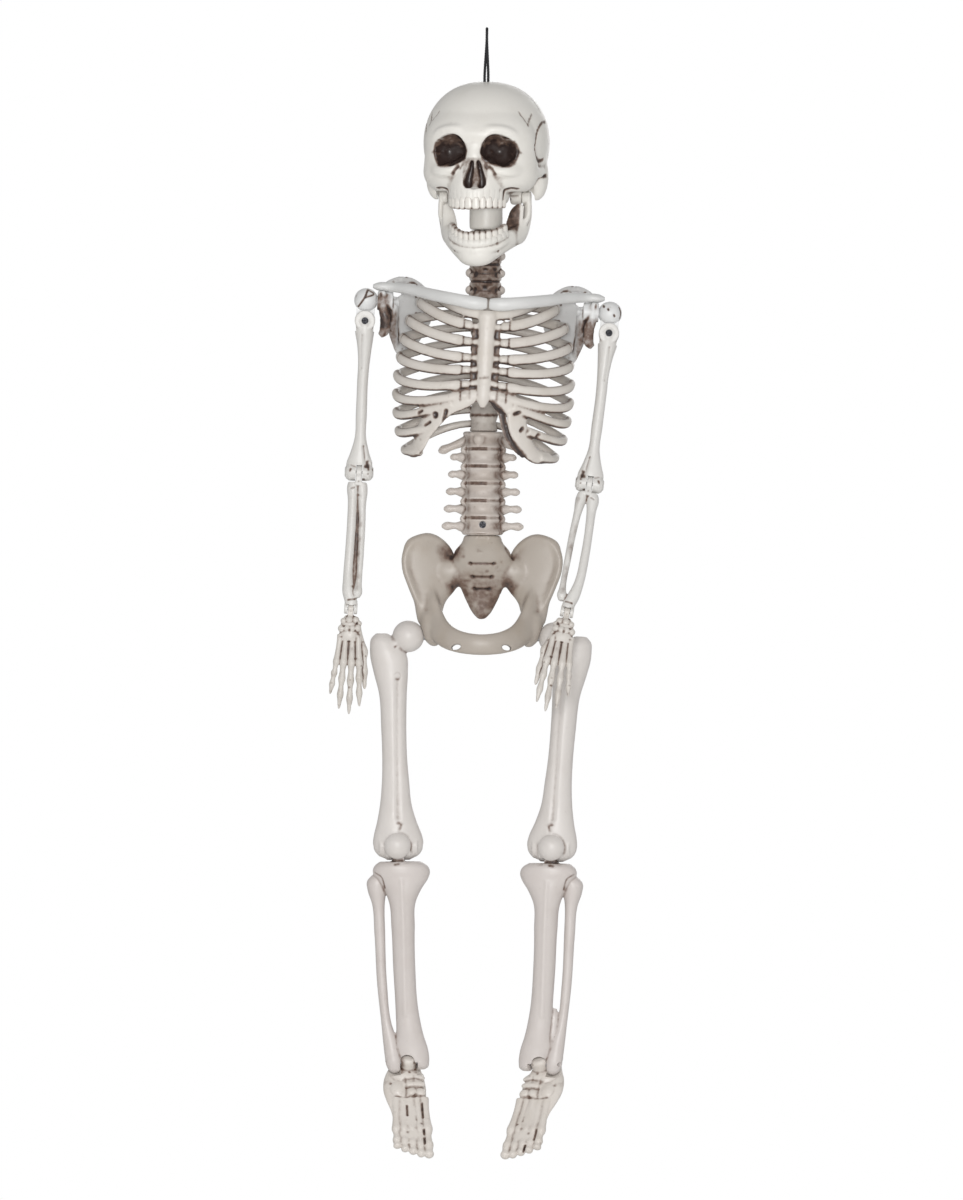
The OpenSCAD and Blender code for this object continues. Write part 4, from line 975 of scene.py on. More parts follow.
@dataclass(frozen=True)
class Stance:
    """Rest pose and levels of the figure, in millimetres and degrees."""

    head_turn: float = 10.0
    jaw_open: float = 17.0
    chest_roll: float = 2.5
    arm_lean: Pair = (0.9, 4.2)
    arm_swing: Pair = (-3.0, 5.0)
    forearm_lean: Pair = (-1.2, 2.5)
    elbow_bend: Pair = (9.0, 14.0)
    forearm_twist: Pair = (35.0, 5.0)
    thigh_lean: Pair = (0.5, 2.6)
    thigh_twist: Pair = (2.0, 9.0)
    shin_lean: Pair = (0.7, -2.0)
    toe_in: Pair = (3.0, 12.0)
    foot_droop: float = 50.0
    loop_h: float = 43.0
    neck_y: float = 6.0
    neck_top: float = -167.3
    chest_top: float = -224.3
    spine_joint: float = -335.3
    lumbar_bottom: float = -421.7
    rib_pitch: float = 15.4
    shoulder_x: float = 102.0
    shoulder_y: float = -6.0
    shoulder_drop: float = 248.0
    yoke_drop: float = 17.0
    upper_arm_len: float = 127.0
    forearm_len: float = 115.0
    hip_x: float = 61.0
    hip_y: float = 2.0
    hip_drop: float = 507.0
    thigh_len: float = 175.0
    knee_out: float = 8.0
    shin_len: float = 181.0
    ankle_in: float = 7.0

    @property
    def skull(self) -> Matrix:
        """Frame of the skull, its zero at the skull's top."""
        return shift(0, 0, -self.loop_h) @ turn("Z", -self.head_turn)

    @property
    def jaw(self) -> Matrix:
        """Frame of the jaw, its zero at the jaw pins."""
        return self.skull @ shift(0, FIT.jaw_pin_y, -FIT.jaw_pin_drop) @ turn("X", self.jaw_open)

    @property
    def torso(self) -> Matrix:
        """Frame of the spine, its Z axis down the neck."""
        at = self.skull @ Vector((0, self.neck_y, 0))
        return shift(at.x, at.y, 0)

    @property
    def chest(self) -> Matrix:
        """Frame of the rib cage and shoulders."""
        pivot = self.chest_top - 4.2 * self.rib_pitch
        return self.torso @ shift(0, 0, pivot) @ turn("Y", self.chest_roll) @ shift(0, 0, -pivot)

    def yoke(self, s: Side) -> Matrix:
        """Frame of a shoulder yoke."""
        at = shift(s.value * self.shoulder_x, self.shoulder_y, self.yoke_drop - self.shoulder_drop)
        return self.chest @ at @ turn("X", -s.pick(self.arm_swing))

    def arm(self, s: Side) -> Matrix:
        """Frame of an upper arm, its zero at the shoulder screw."""
        return self.yoke(s) @ shift(0, 0, -self.yoke_drop) @ turn("Y", s.value * s.pick(self.arm_lean))

    def elbow(self, s: Side) -> Matrix:
        """Frame of an elbow pin."""
        return self.arm(s) @ shift(0, 0, -self.upper_arm_len) @ turn("Y", s.value * s.pick(self.forearm_lean))

    def forearm(self, s: Side) -> Matrix:
        """Frame of a forearm, its zero at the elbow pin."""
        return self.elbow(s) @ turn("X", -s.pick(self.elbow_bend))

    def hand(self, s: Side) -> Matrix:
        """Frame of a hand, its zero at the wrist pin."""
        return self.forearm(s) @ shift(0, 0, -self.forearm_len)

    def hip(self, s: Side) -> Matrix:
        """Frame of a hip joint."""
        return self.torso @ shift(s.value * self.hip_x, self.hip_y, -self.hip_drop)

    def thigh(self, s: Side) -> Matrix:
        """Frame of a thigh, its zero at the hip ball."""
        lean = turn("Y", s.value * s.pick(self.thigh_lean))
        return self.hip(s) @ lean @ turn("Z", -s.value * s.pick(self.thigh_twist))

    def shin(self, s: Side) -> Matrix:
        """Frame of a shin, its zero at the knee pin."""
        at = shift(s.value * self.knee_out, 0, -self.thigh_len)
        return self.thigh(s) @ at @ turn("Y", s.value * s.pick(self.shin_lean))

    def ankle(self, s: Side) -> Matrix:
        """Frame of an ankle pin."""
        at = shift(-s.value * self.ankle_in, 2, -self.shin_len)
        return self.shin(s) @ at @ turn("Z", -s.value * s.pick(self.toe_in))

    def foot(self, s: Side) -> Matrix:
        """Frame of a foot, its zero at the ankle pin."""
        return self.ankle(s) @ turn("X", self.foot_droop)


def sided(place: Matrix, s: Side) -> Matrix:
    """A frame that draws the left side's shapes on either side."""
    return place @ MIRROR if s is Side.RIGHT else place


STANCE = Stance()
FIT = Fit()


def arc(r: float, z: float, start: float, end: float, count: int, y: float = 0.0) -> list[Row]:
    """Sets points round the front of an upright column.

    Args:
        r: radius of the column
        z: height of the points
        start: first angle in radians, zero at the front
        end: last angle
        count: number of points
        y: depth of the column's middle

    Returns:
        The points.
    """
    return [(r * math.sin(t), y - r * math.cos(t), z) for t in np.linspace(start, end, count)]


def across(points: Iterable[Row], s: float) -> list[Row]:
    """Points of the left side, on the side of the sign s."""
    return [(s * x, y, z) for x, y, z in points]


@dataclass
class Part(ABC):
    """A part of the figure and the materials that it is finished in."""

    paints: Paints

    @abstractmethod
    def build(self) -> None:
        """Builds the part."""


# Cord


@dataclass
class HangingCord(Part):
    """Doubled cord from the knot in the skull up round the bearing point and back."""

    diameter: float = 2.4
    strands: int = 3
    lay: float = 7.0
    step: float = 0.6
    segments: int = 18
    knot_top: float = -52.0
    side: tuple[Row, ...] = (
        (1.5, 0, -43), (1.5, -1, -37), (1.2, -2, -30), (0.8, -3.2, -23), (0.4, -4.4, -16), (0.1, -5.3, -10),
        (0, -5.5, -5.5), (0, -5, -2), (0, -3, 0.5))

    def route(self) -> np.ndarray:
        """Points of the cord's line, in millimetres.

        Returns:
            One point a row, close together.
        """
        up = [(1.5, 0, self.knot_top), *self.side]
        down = [(-x, -y, z) for x, y, z in reversed(up)]
        return fair([*up, (0, 0, 1.2), *down], self.step)

    def build(self) -> None:
        line = self.route()
        run = np.concatenate([[0.0], np.cumsum(np.linalg.norm(np.diff(line, axis=0), axis=1))])
        form = Form(Matrix())
        rings = []
        out = Vector((1.0, 0.0, 0.0))
        for i, spot in enumerate(line):
            ahead = Vector(line[min(i + 1, len(line) - 1)] - line[max(i - 1, 0)]).normalized()
            out = (out - out.dot(ahead) * ahead).normalized()
            ring = Matrix((out, ahead.cross(out), ahead)).transposed().to_4x4()
            ring.translation = spot
            rings.append(ring @ turn("Z", 360.0 * run[i] / self.lay))
        form.loft(rings, self.segments)
        twist = form.bm.verts.layers.float.new(Paints.TWIST)
        form.bm.verts.ensure_lookup_table()
        for number, vert in enumerate(form.bm.verts):
            angle = 2 * math.pi * (number % self.segments) / self.segments
            share = abs(math.cos(0.5 * self.strands * angle))
            centre = Vector(line[min(number // self.segments, len(line) - 1)])
            vert.co = centre + (vert.co - centre) * 0.5 * self.diameter * (0.84 + 0.16 * share)
            vert[twist] = share
        mesh = form.mesh("hanging_cord_dress")
        dress(mesh, self.paints.of(CORD))
        piece = hang(mesh, "hanging_cord_dress", "skull", ["hanging_cord"])
        self.paints.repaint("cord_knot", CORD)
        LOG.info("cord length %.1f mm", run[-1])


# Head


@dataclass
class Head(Part):
    """Skull with its teeth, and the jaw."""

    cranium_w: float = 105.0
    cranium_d: float = 126.0
    cranium_h: float = 102.0
    cranium_back: float = 5.0
    face_w: float = 90.0
    maxilla_w: float = 49.0
    orbit_gap: float = 43.0
    orbit_w: float = 29.0
    orbit_h: float = 26.0
    orbit_drop: float = 57.0
    gum_drop: float = 97.0
    jaw_w: float = 77.0
    jaw_t: float = 7.0
    jaw_reach: float = 63.0
    jaw_pin_d: float = 4.0
    boss_drop: float = 124.0
    gum: tuple[float, float, float, float] = (22.9, 31.0, -28.5, -19.8)
    gum_rise: float = 2.8
    tooth_deep: float = 5.2
    tooth_root: float = 4.0

    @property
    def jaw_faces(self) -> Pair:
        """Inner and outer face of the jaw's sides."""
        return 0.5 * self.jaw_w - self.jaw_t, 0.5 * self.jaw_w

    def _skull_forms(self, form: Form) -> None:
        """Adds the skull's shapes.

        Args:
            form: form to add to
        """
        f, z = 0.5 * self.face_w, -self.orbit_drop
        rows = []
        for a in range(4, 150, 5):
            share = math.sin(math.radians(a)) ** 0.86
            level = 0.5 * self.cranium_h * (math.cos(math.radians(a)) - 1)
            rows.append((0, self.cranium_back, level, 0.5 * self.cranium_w * share, 0.5 * self.cranium_d * share))
        form.stack(rows, 72)
        form.stack([(0, -17, z + 38, 0.7 * f, 27), (0, -22, z + 20, 0.98 * f, 37.4),
                    (0, -24, z + 12, 1.03 * f, 38.4), (0, -22, z + 2, 1.04 * f, 36),
                    (0, -22, z - 12, 1.06 * f, 35), (0, -22, z - 21, 1.07 * f, 34.4),
                    (0, -21, z - 27, 1.03 * f, 33), (0, -20, z - 32, 0.94 * f, 30),
                    (0, -19, z - 35, 0.84 * f, 26)], 72)
        m = 0.5 * self.maxilla_w
        form.stack([(0, -26, z - 10, 0.84 * m, 30), (0, -28, z - 18, 1.02 * m, 32), (0, -29, z - 26, 1.07 * m, 33.4),
                    (0, -30, -self.gum_drop + 4, 1.04 * m, 33.6), (0, -30, -self.gum_drop - 3.4, 0.99 * m, 33),
                    (0, -30, -self.gum_drop - 5.4, 0.92 * m, 31)], 48)
        path = [(0, -55, z + 16), (0, -56, z + 7), (0, -56.8, z - 1), (0, -57.6, z - 8), (0, -57, z - 12)]
        form.sweep(path, [(0, -1, 0.2)] * 5, [(9, 3), (6.6, 3.4), (5.8, 3.6), (5.6, 3.4), (4.4, 2)])
        for s in BOTH:
            self._skull_side(form, s)
        form.drum(-self.boss_drop, -self.boss_drop + 46, 0.5 * FIT.neck_peg_d + 5, 0, STANCE.neck_y, "Z")

    def _skull_side(self, form: Form, s: float) -> None:
        """Adds the shapes of one side of the skull.

        Args:
            form: form to add to
            s: sign of the side
        """
        f, z = 0.5 * self.face_w, -self.orbit_drop
        arch = [(0.84 * f, -38, z - 19), (0.98 * f, -27, z - 19), (1.04 * f, -13, z - 19), (1.05 * f, 1, z - 18),
                (0.98 * f, 12, z - 17)]
        form.sweep(across(arch, s), [(s, -0.4, 0)] * 5,
                   [(4, 3), (4.8, 3.4), (4.6, 3), (4.6, 3), (5, 3)])
        x = s * 0.415 * self.cranium_w
        form.stack([(x - 2 * s, 12, z - 12, 9, 15), (x, 10, z - 26, 8, 13), (x - 0.6 * s, 9, z - 34, 7, 10),
                    (x - 1.4 * s, 8.5, z - 39, 5.2, 7), (x - 2 * s, 8, z - 42, 2.6, 3.6)])
        brow = [(6, -58.6, z + 14), (13, -58.8, z + 16.4), (21, -57, z + 16.6), (30, -52.2, z + 14.4),
                (37, -44.6, z + 8)]
        form.sweep(across(brow, s), [(s * 0.2, -1, 0.2)] * 5,
                   [(2.4, 1.6), (3.4, 2.4), (3.4, 2.4), (3.2, 2.4), (2.4, 2)])
        cheek = [(16, -55, z - 17), (24, -53.2, z - 18.6), (32, -47.8, z - 18), (38, -40, z - 15)]
        form.sweep(across(cheek, s), [(s * 0.4, -1, 0)] * 4,
                   [(2.4, 1.6), (4, 2.6), (5, 3), (4.6, 2.4)])
        out, r = self.jaw_faces[0] - FIT.gap, 0.5 * self.jaw_pin_d + 4
        form.drum(s * (out - 10), s * out, r, FIT.jaw_pin_y, -FIT.jaw_pin_drop)
        low, high = sorted((s * (out - 10), s * out))
        form.block((low, FIT.jaw_pin_y - r, -FIT.jaw_pin_drop), (high, FIT.jaw_pin_y + r, 22 - FIT.jaw_pin_drop))

    def _socket(self, s: float) -> tuple[Row, Row, Matrix]:
        """Centre, half sizes and turn of an eye socket on the side s."""
        centre = (s * (0.5 * self.orbit_gap + 1.6), -58.5, -self.orbit_drop - 1.4)
        return centre, (0.5 * self.orbit_w + 1.6, 21, 0.5 * self.orbit_h - 0.2), turn("Z", s * 18) @ turn("Y", s * 21)

    def _skull_hollows(self, bone: Bone) -> None:
        """Cuts the eye sockets, the nose and the temples.

        Args:
            bone: the skull
        """
        z = -self.orbit_drop
        for s in BOTH:
            centre, radii, way = self._socket(s)
            bone.hollow().ball(centre, radii, way, 64, 2.5)
            n, m = z - 11, 1.4
            bone.hollow().stack([(m + s * 2.3, -62, n + 1.6, 1.3, 9), (m + s * 3.1, -62, n - 2, 2.3, 10),
                                 (m + s * 4, -62, n - 7, 3.2, 10), (m + s * 5, -62, n - 13, 4.2, 10),
                                 (m + s * 5.4, -62, n - 18, 4.5, 10), (m + s * 5, -62, n - 22, 2.6, 9)])
            bone.hollow().ball((m, -63.5, n - 12.5), (7.4, 9, 10.4))
            bone.hollow().ball((s * (0.5 * self.cranium_w + 12), -16, z + 1), (15, 22, 22), turn("Z", -s * 14), 40)

    def _carve_skull(self, skull: Sculpt) -> None:
        """Carves the sutures, slits and tooth roots, stains the hollows and paints shade under the skull.

        Args:
            skull: the skull's carving
        """
        z = -self.orbit_drop
        for s in BOTH:
            out = (s, -0.25, 0)
            skull.groove([(s * 50, 4, -33), (s * 50, -10, -35), (s * 50, -18, -39), (s * 49, -24, -47),
                          (s * 48, -27, -56), (s * 48, -23, -64)], 1.5, 0.8, 1.0, out, 0.5)
            skull.groove([(s * 36, -34, -26), (s * 40, -33, -37)], 1.2, 0.5, 0.6, out, 0.4)
            skull.groove([(s * 42, -20, -27), (s * 40, -33, -37)], 1.2, 0.5, 0.6, out, 0.4)
            skull.groove([(s * 48, -23, -64), (s * 49, -15, -66), (s * 50, -6, -65)], 2.0, 0.9, 1.2, out, 0.3)
            skull.groove([(s * 50, -2, -79), (s * 51, 6, -78)], 2.4, 1.4, 1.2, (s, 0, 0))
            skull.groove([(s * 40, 10, -98), (s * 44, 16, -86), (s * 46, 24, -76)], 1.4, 0.7, 0.7, (s, 0.2, 0))
            skull.groove([(s * 13, -62, z - 14.5), (s * 16, -60, z - 17.5), (s * 18, -60, z - 21)], 1.6, 1.1, 1.2,
                         FRONT)
            skull.groove([(s * 9.6, -62, z - 12.5), (s * 11.6, -60, z - 17)], 1.2, 0.5, 0.5, FRONT)
            # the seam between cheek and upper jaw
            skull.groove([(s * 37, -44, z - 33), (s * 30, -46, z - 32.6), (s * 26, -48, z - 34),
                          (s * 24.6, -48, z - 42)], 1.3, 0.7, 1.1, (s * 0.3, -1, 0))
            skull.groove([(s * 34, -48, z - 2), (s * 38, -42, z - 3)], 1.0, 0.5, 0.7, (s * 0.6, -1, 0))
        # sutures over the crown and round the back
        skull.groove([(-46, 0, -30), (-30, 4, -12), (0, 6, -1), (30, 4, -12), (46, 0, -30)], 1.1, 0.4, 0.35,
                     UP, 0.6)
        skull.groove([(0, 6, -1), (0, 40, -12), (0, 58, -30)], 1.1, 0.4, 0.35, (0, 0.5, 1), 0.6)
        skull.groove([(-44, 40, -62), (-24, 60, -44), (0, 66, -30), (24, 60, -44), (44, 40, -62)], 1.3, 0.5, 0.45,
                     BACK, 0.7)
        for i in range(12):
            t = math.radians(-60 + 120 * i / 11 + 5.5)
            x, y = 0.54 * self.maxilla_w * math.sin(t), -30 - 33 * math.cos(t)
            skull.groove([(x, y, -self.gum_drop + 6), (x, y, -self.gum_drop - 3)], 1.3, 0.3, 0.1,
                         (math.sin(t), -math.cos(t), 0))
        skull.pits(7, 0.25, 0.16, 0.5, 3, unit((-60 - skull.spot[:, 2]) / 30))
        skull.paint_by_place(self._skull_wash_and_shade)

    def _skull_wash_and_shade(self, p: np.ndarray) -> np.ndarray:
        """Thick wash in the sockets and nose, and painted shade under the skull.

        Args:
            p: places in the skull's frame

        Returns:
            The wash at each place.
        """
        z = -self.orbit_drop
        total = np.zeros(len(p))
        for s in BOTH:
            centre, radii, way = self._socket(s)
            q = (p - np.array(centre)) @ np.array(way.to_3x3())
            r = (np.abs(q[:, 0] / (radii[0] + 0.5)) ** 2.5 + np.abs(q[:, 2] / (radii[2] + 0.5)) ** 2.5) ** 0.4
            deep = unit((q[:, 1] - 1) / 5) * unit((1.06 - r) / 0.12) * (q[:, 1] < 27)
            streak = lattice(q * np.array((1.0, 0.6, 1.0)), 3.2, 71) + 0.5 * lattice(q, 1.5, 72)
            upper = unit((q[:, 2] - 0.5 * s * q[:, 0]) / 11 + 0.1)
            total += deep * np.clip(1.5 - 1.5 * upper * unit(1.4 * streak - 0.45), 0.5, 1.6)
        nose = (np.abs(p[:, 0] - 1.4) < 10.5) & (p[:, 2] < z - 7) & (p[:, 2] > z - 32) & (p[:, 1] < -44)
        front = -30 - 33 * np.sqrt(unit(1 - (p[:, 0] / 30) ** 2))
        depth = p[:, 1] - front
        total += nose * (0.6 * unit((depth - 0.6) / 1.2) + 0.4 * unit((depth - 5) / 5))
        # painted shade under the skull behind the teeth, kept off the middle where the neck boss is
        underside_shade = unit((-self.gum_drop + 2 - p[:, 2]) / 6) * unit((p[:, 1] + 40) / 12)
        total += 0.35 * underside_shade * (np.abs(p[:, 0]) > 15)
        return total

    def build_skull(self) -> None:
        """Builds the skull."""
        bone = Bone("skull", STANCE.skull, 0.95)
        self._skull_forms(bone.solid)
        self._skull_hollows(bone)
        self._carve_skull(bone.grow(smooth=24, second=5))
        bone.sculpt.sink += 3.4 * (lattice(bone.sculpt.spot, 6.0, 73) - 0.5) * unit(bone.sculpt.paint - 0.6)
        bone.fit().globe((0, self.cranium_back, -FIT.cavity_drop), 0.5 * FIT.cavity_d)
        bone.fit().drum(-FIT.cavity_drop, 1, 3.0, 0, 0, "Z")
        bone.fit().drum(-self.boss_drop - 1, -self.boss_drop + 51, FIT.loose(FIT.neck_peg_d), 0, STANCE.neck_y, "Z")
        for s in BOTH:
            inner, outer = self.jaw_faces
            bone.fit().drum(s * (inner - 8), s * outer, FIT.tight(self.jaw_pin_d), FIT.jaw_pin_y, -FIT.jaw_pin_drop)
            bone.fit().drum(s * (inner - FIT.gap), s * (outer + 3), 13, FIT.jaw_pin_y, -FIT.jaw_pin_drop)
        bone.finish(self.paints, "skull", SKULL_BONE, fine=0.42, broad=0.3)

    def _teeth(self, name: str, body: str, place: Matrix, arch: Row, way: float, widths: Row) -> None:
        """Builds a row of separate rounded crowns round an arch.

        Args:
            name: the piece's name
            body: the body that carries the row
            place: frame of the arch
            arch: half width, depth, y, z, tooth height and rise of the arch's ends
            way: 1 for teeth that stand up, -1 for teeth that hang down
            widths: widths of the teeth from the middle outwards
        """
        a, b, y, z, tall, rise = arch
        bm = bmesh.new()
        for s in BOTH:
            run = 0.0
            for i, w in enumerate(widths):
                t = (run + 0.5 * w) / (0.5 * (a + b)) * 1.06
                run += w
                jog = math.sin(7.3 * i + 2.1 * s + 5 * way)
                at = shift(s * a * math.sin(t), y - b * math.cos(t) + 0.3 * jog, z + rise * math.sin(t) ** 2)
                at = at @ turn("Z", s * math.degrees(t) * 0.9 + 4 * jog) @ turn("Y", 1.5 * jog)
                crown = self._crown(w, tall * (1 - 0.04 * i + 0.05 * jog), i < 4)
                crown.transform(place @ at @ Matrix.Diagonal((1, 1, way, 1)))
                bm.from_mesh(crown)
                bpy.data.meshes.remove(crown)
        bmesh.ops.recalc_face_normals(bm, faces=bm.faces)
        mesh = bpy.data.meshes.new(name)
        bm.to_mesh(mesh)
        bm.free()
        piece = hang(dress(mesh, self.paints.of(TOOTH_BONE)), name, body, [])
        round_off = piece.modifiers.new("round", "SUBSURF")
        round_off.levels = 2
        round_off.render_levels = 2

    def _crown(self, width: float, tall: float, slim_root: bool) -> bpy.types.Mesh:
        """Shapes one crown, its root below zero, with painted shade at the root end, between the teeth and along the
        biting edge.

        Args:
            width: width of the crown
            tall: height of the crown
            slim_root: whether it narrows to the gum

        Returns:
            The crown's mesh.
        """
        bm = bmesh.new()
        recess = bm.verts.layers.float.new(Paints.WASH_AND_SHADE)
        broad, deep, whole = 1.03 * width, self.tooth_deep, tall + self.tooth_root
        bmesh.ops.create_cube(bm, size=1.0, matrix=Matrix.Diagonal((broad, deep, whole, 1)))
        bmesh.ops.subdivide_edges(bm, edges=bm.edges[:], cuts=3, use_grid_fill=True)
        for v in bm.verts:
            up, side, into = v.co.z / whole + 0.5, v.co.x / (0.515 * width), v.co.y / (0.5 * deep)
            slim = 0.80 + 0.2 * min(1.0, 1.6 * up) if slim_root else 0.88 + 0.12 * up
            v.co.x *= slim * (1 - 0.06 * max(0.0, up - 0.8) * 5)
            v.co.y = v.co.y * (0.95 - 0.4 * max(0.0, up - 0.55)) * (1 - 0.2 * side ** 4) - 0.5 * (1 - side * side)
            v.co.z += 0.5 * (tall - self.tooth_root) - (0.8 * side * side + 0.3 * into * into) * (up > 0.9)
            # painted shade: darker at the root end, at the sides between the teeth and along the biting edge
            v[recess] = max(0.0, 0.4 - 2.0 * up) + 1.2 * max(0.0, abs(side) - 0.6) + 6 * max(0.0, up - 0.9)
        mesh = bpy.data.meshes.new("crown")
        bm.to_mesh(mesh)
        bm.free()
        return mesh

    def _jaw_forms(self, bone: Bone) -> None:
        """Adds the shapes of the jaw.

        Args:
            bone: the bone
        """
        x, reach = 0.5 * self.jaw_w - 0.5 * self.jaw_t, self.jaw_reach - 7
        side = [(x, 2, 5), (x, 1.5, -3), (x, 0, -11), (x - 0.4, -4, -19.5), (x - 2.6, -12, -25.2),
                (x - 7.5, -25, -26.4), (x - 14.6, -0.7 * reach, -27.8), (x - 23, -0.9 * reach, -30.2),
                (6.6, -reach, -31.6)]
        half = [(5.4, 3.3), (8, 3.5), (9.4, 3.7), (10, 3.9), (9.2, 4.4), (8.2, 5), (8.4, 5.7), (9.6, 6.3),
                (10.6, 6.8)]
        path = [*side, *across(reversed(side), -1)]
        outs = [(p[0], 0.9 * (p[1] + 14), 0) for p in path]
        bone.solid.sweep(path, outs, [*half, *reversed(half)], 28)
        bone.solid.ball((0, -self.jaw_reach + 8, -35), (12, 7.6, 7.4))
        a, b, y, z = self.gum
        swing = np.radians(np.linspace(-72, 72, 13))
        ridge = [(a * math.sin(t), y - b * math.cos(t), z - 2.4 + self.gum_rise * math.sin(t) ** 2) for t in swing]
        for low, tall, thick in ((0, 4.4, 4.6), (6, 4.4, 5.2)):
            path = [(p[0], p[1], p[2] - low) for p in ridge]
            bone.solid.sweep(path, [(p[0], 0.7 * (p[1] - y), 0) for p in ridge], [(tall, thick)] * 13)
        for s in BOTH:
            inner, outer = self.jaw_faces
            bone.solid.drum(s * inner, s * outer, 0.5 * self.jaw_pin_d + 3.5)
            bone.solid.ball((s * 8, -self.jaw_reach + 9, -36.6), (5.6, 4.6, 4.6))
            more = 1.5 if s > 0 else 0.0
            flange = [(x - 3, -9, -3), (x - 5 - more, -12, -9), (x - 6.6 - more, -15.5, -16),
                      (x - 8 - more, -21, -21), (x - 9 - more, -28, -24)]
            bone.solid.sweep(across(flange, s), [(0, -1, 0.4)] * 5,
                             [(3, 1.6), (5 + 0.6 * more, 2), (6 + 0.6 * more, 2.4), (6 + 0.6 * more, 3), (4.6, 3)])

    def _carve_jaw(self, jaw: Sculpt) -> None:
        """Carves and stains the jaw, and paints shade on the inner faces of its sides.

        Args:
            jaw: the bone's carving
        """
        for i in range(12):
            t = math.radians(-58 + 116 * i / 11 + 5.3)
            px, py = 0.52 * self.maxilla_w * math.sin(t), -28.5 - 32 * math.cos(t)
            jaw.groove([(px, py, -17), (px, py, -21)], 1.3, 0.4, 0.25, (math.sin(t), -math.cos(t), 0))
        for s in BOTH:
            jaw.groove([(s * 19, -54, -31), (s * 19.4, -54, -31.4)], 1.5, 0.6, 0.5, (s * 0.4, -1, 0))
            jaw.groove([(s * 5, -64, -28), (s * 12, -60, -27), (s * 19, -52, -25)], 4.0, 0.5, 0.0, (s * 0.3, -1, 0))
            jaw.groove([(s * 36, -2, -6), (s * 37, -6, -14), (s * 36, -12, -20)], 2.6, 0.5, 0.25, (s, 0, 0))
        jaw.pits(6, 0.2, 0.16, 0.4, 5)
        # painted shade inside the mouth on the inner faces of the jaw's sides, strong on the left and faint on the
        # right
        jaw.paint_by_place(lambda p: np.where(p[:, 0] > 0, 1.2, 0.2) * unit((32 - np.abs(p[:, 0])) / 2)
                  * unit((p[:, 1] + 34) / 8) * unit((p[:, 2] + 40) / 10))

    def build_jaw(self) -> None:
        """Builds the jaw."""
        bone = Bone("jaw", STANCE.jaw, 0.7)
        self._jaw_forms(bone)
        self._carve_jaw(bone.grow(smooth=8))
        for s in BOTH:
            inner, outer = self.jaw_faces
            bone.fit().drum(s * (inner - 5), s * (outer + 5), FIT.loose(self.jaw_pin_d))
            bone.fit().drum(s * (inner - 16), s * inner, 0.5 * self.jaw_pin_d + 8)
        bone.finish(self.paints, "jaw", SKULL_BONE, fine=0.45, broad=0.2)

    def build(self) -> None:
        """Builds the head."""
        self.build_skull()
        upper = (0.5 * self.maxilla_w - 2.4, 30.9, -30, -self.gum_drop - 3.8, 7.4, 0.8)
        self._teeth("upper_teeth", "skull", STANCE.skull, upper, -1.0, (6.6, 5.6, 6.0, 5.6, 5.8, 6.6))
        self.build_jaw()
        lower = (*self.gum, 8.0, self.gum_rise)
        self._teeth("lower_teeth", "jaw", STANCE.jaw, lower, 1.0, (4.8, 5.2, 5.8, 5.8, 6.0, 6.8))
        for s in Side:
            self.paints.repaint(s.word + "_jaw_pin", SKULL_BONE)


# Spine and pelvis


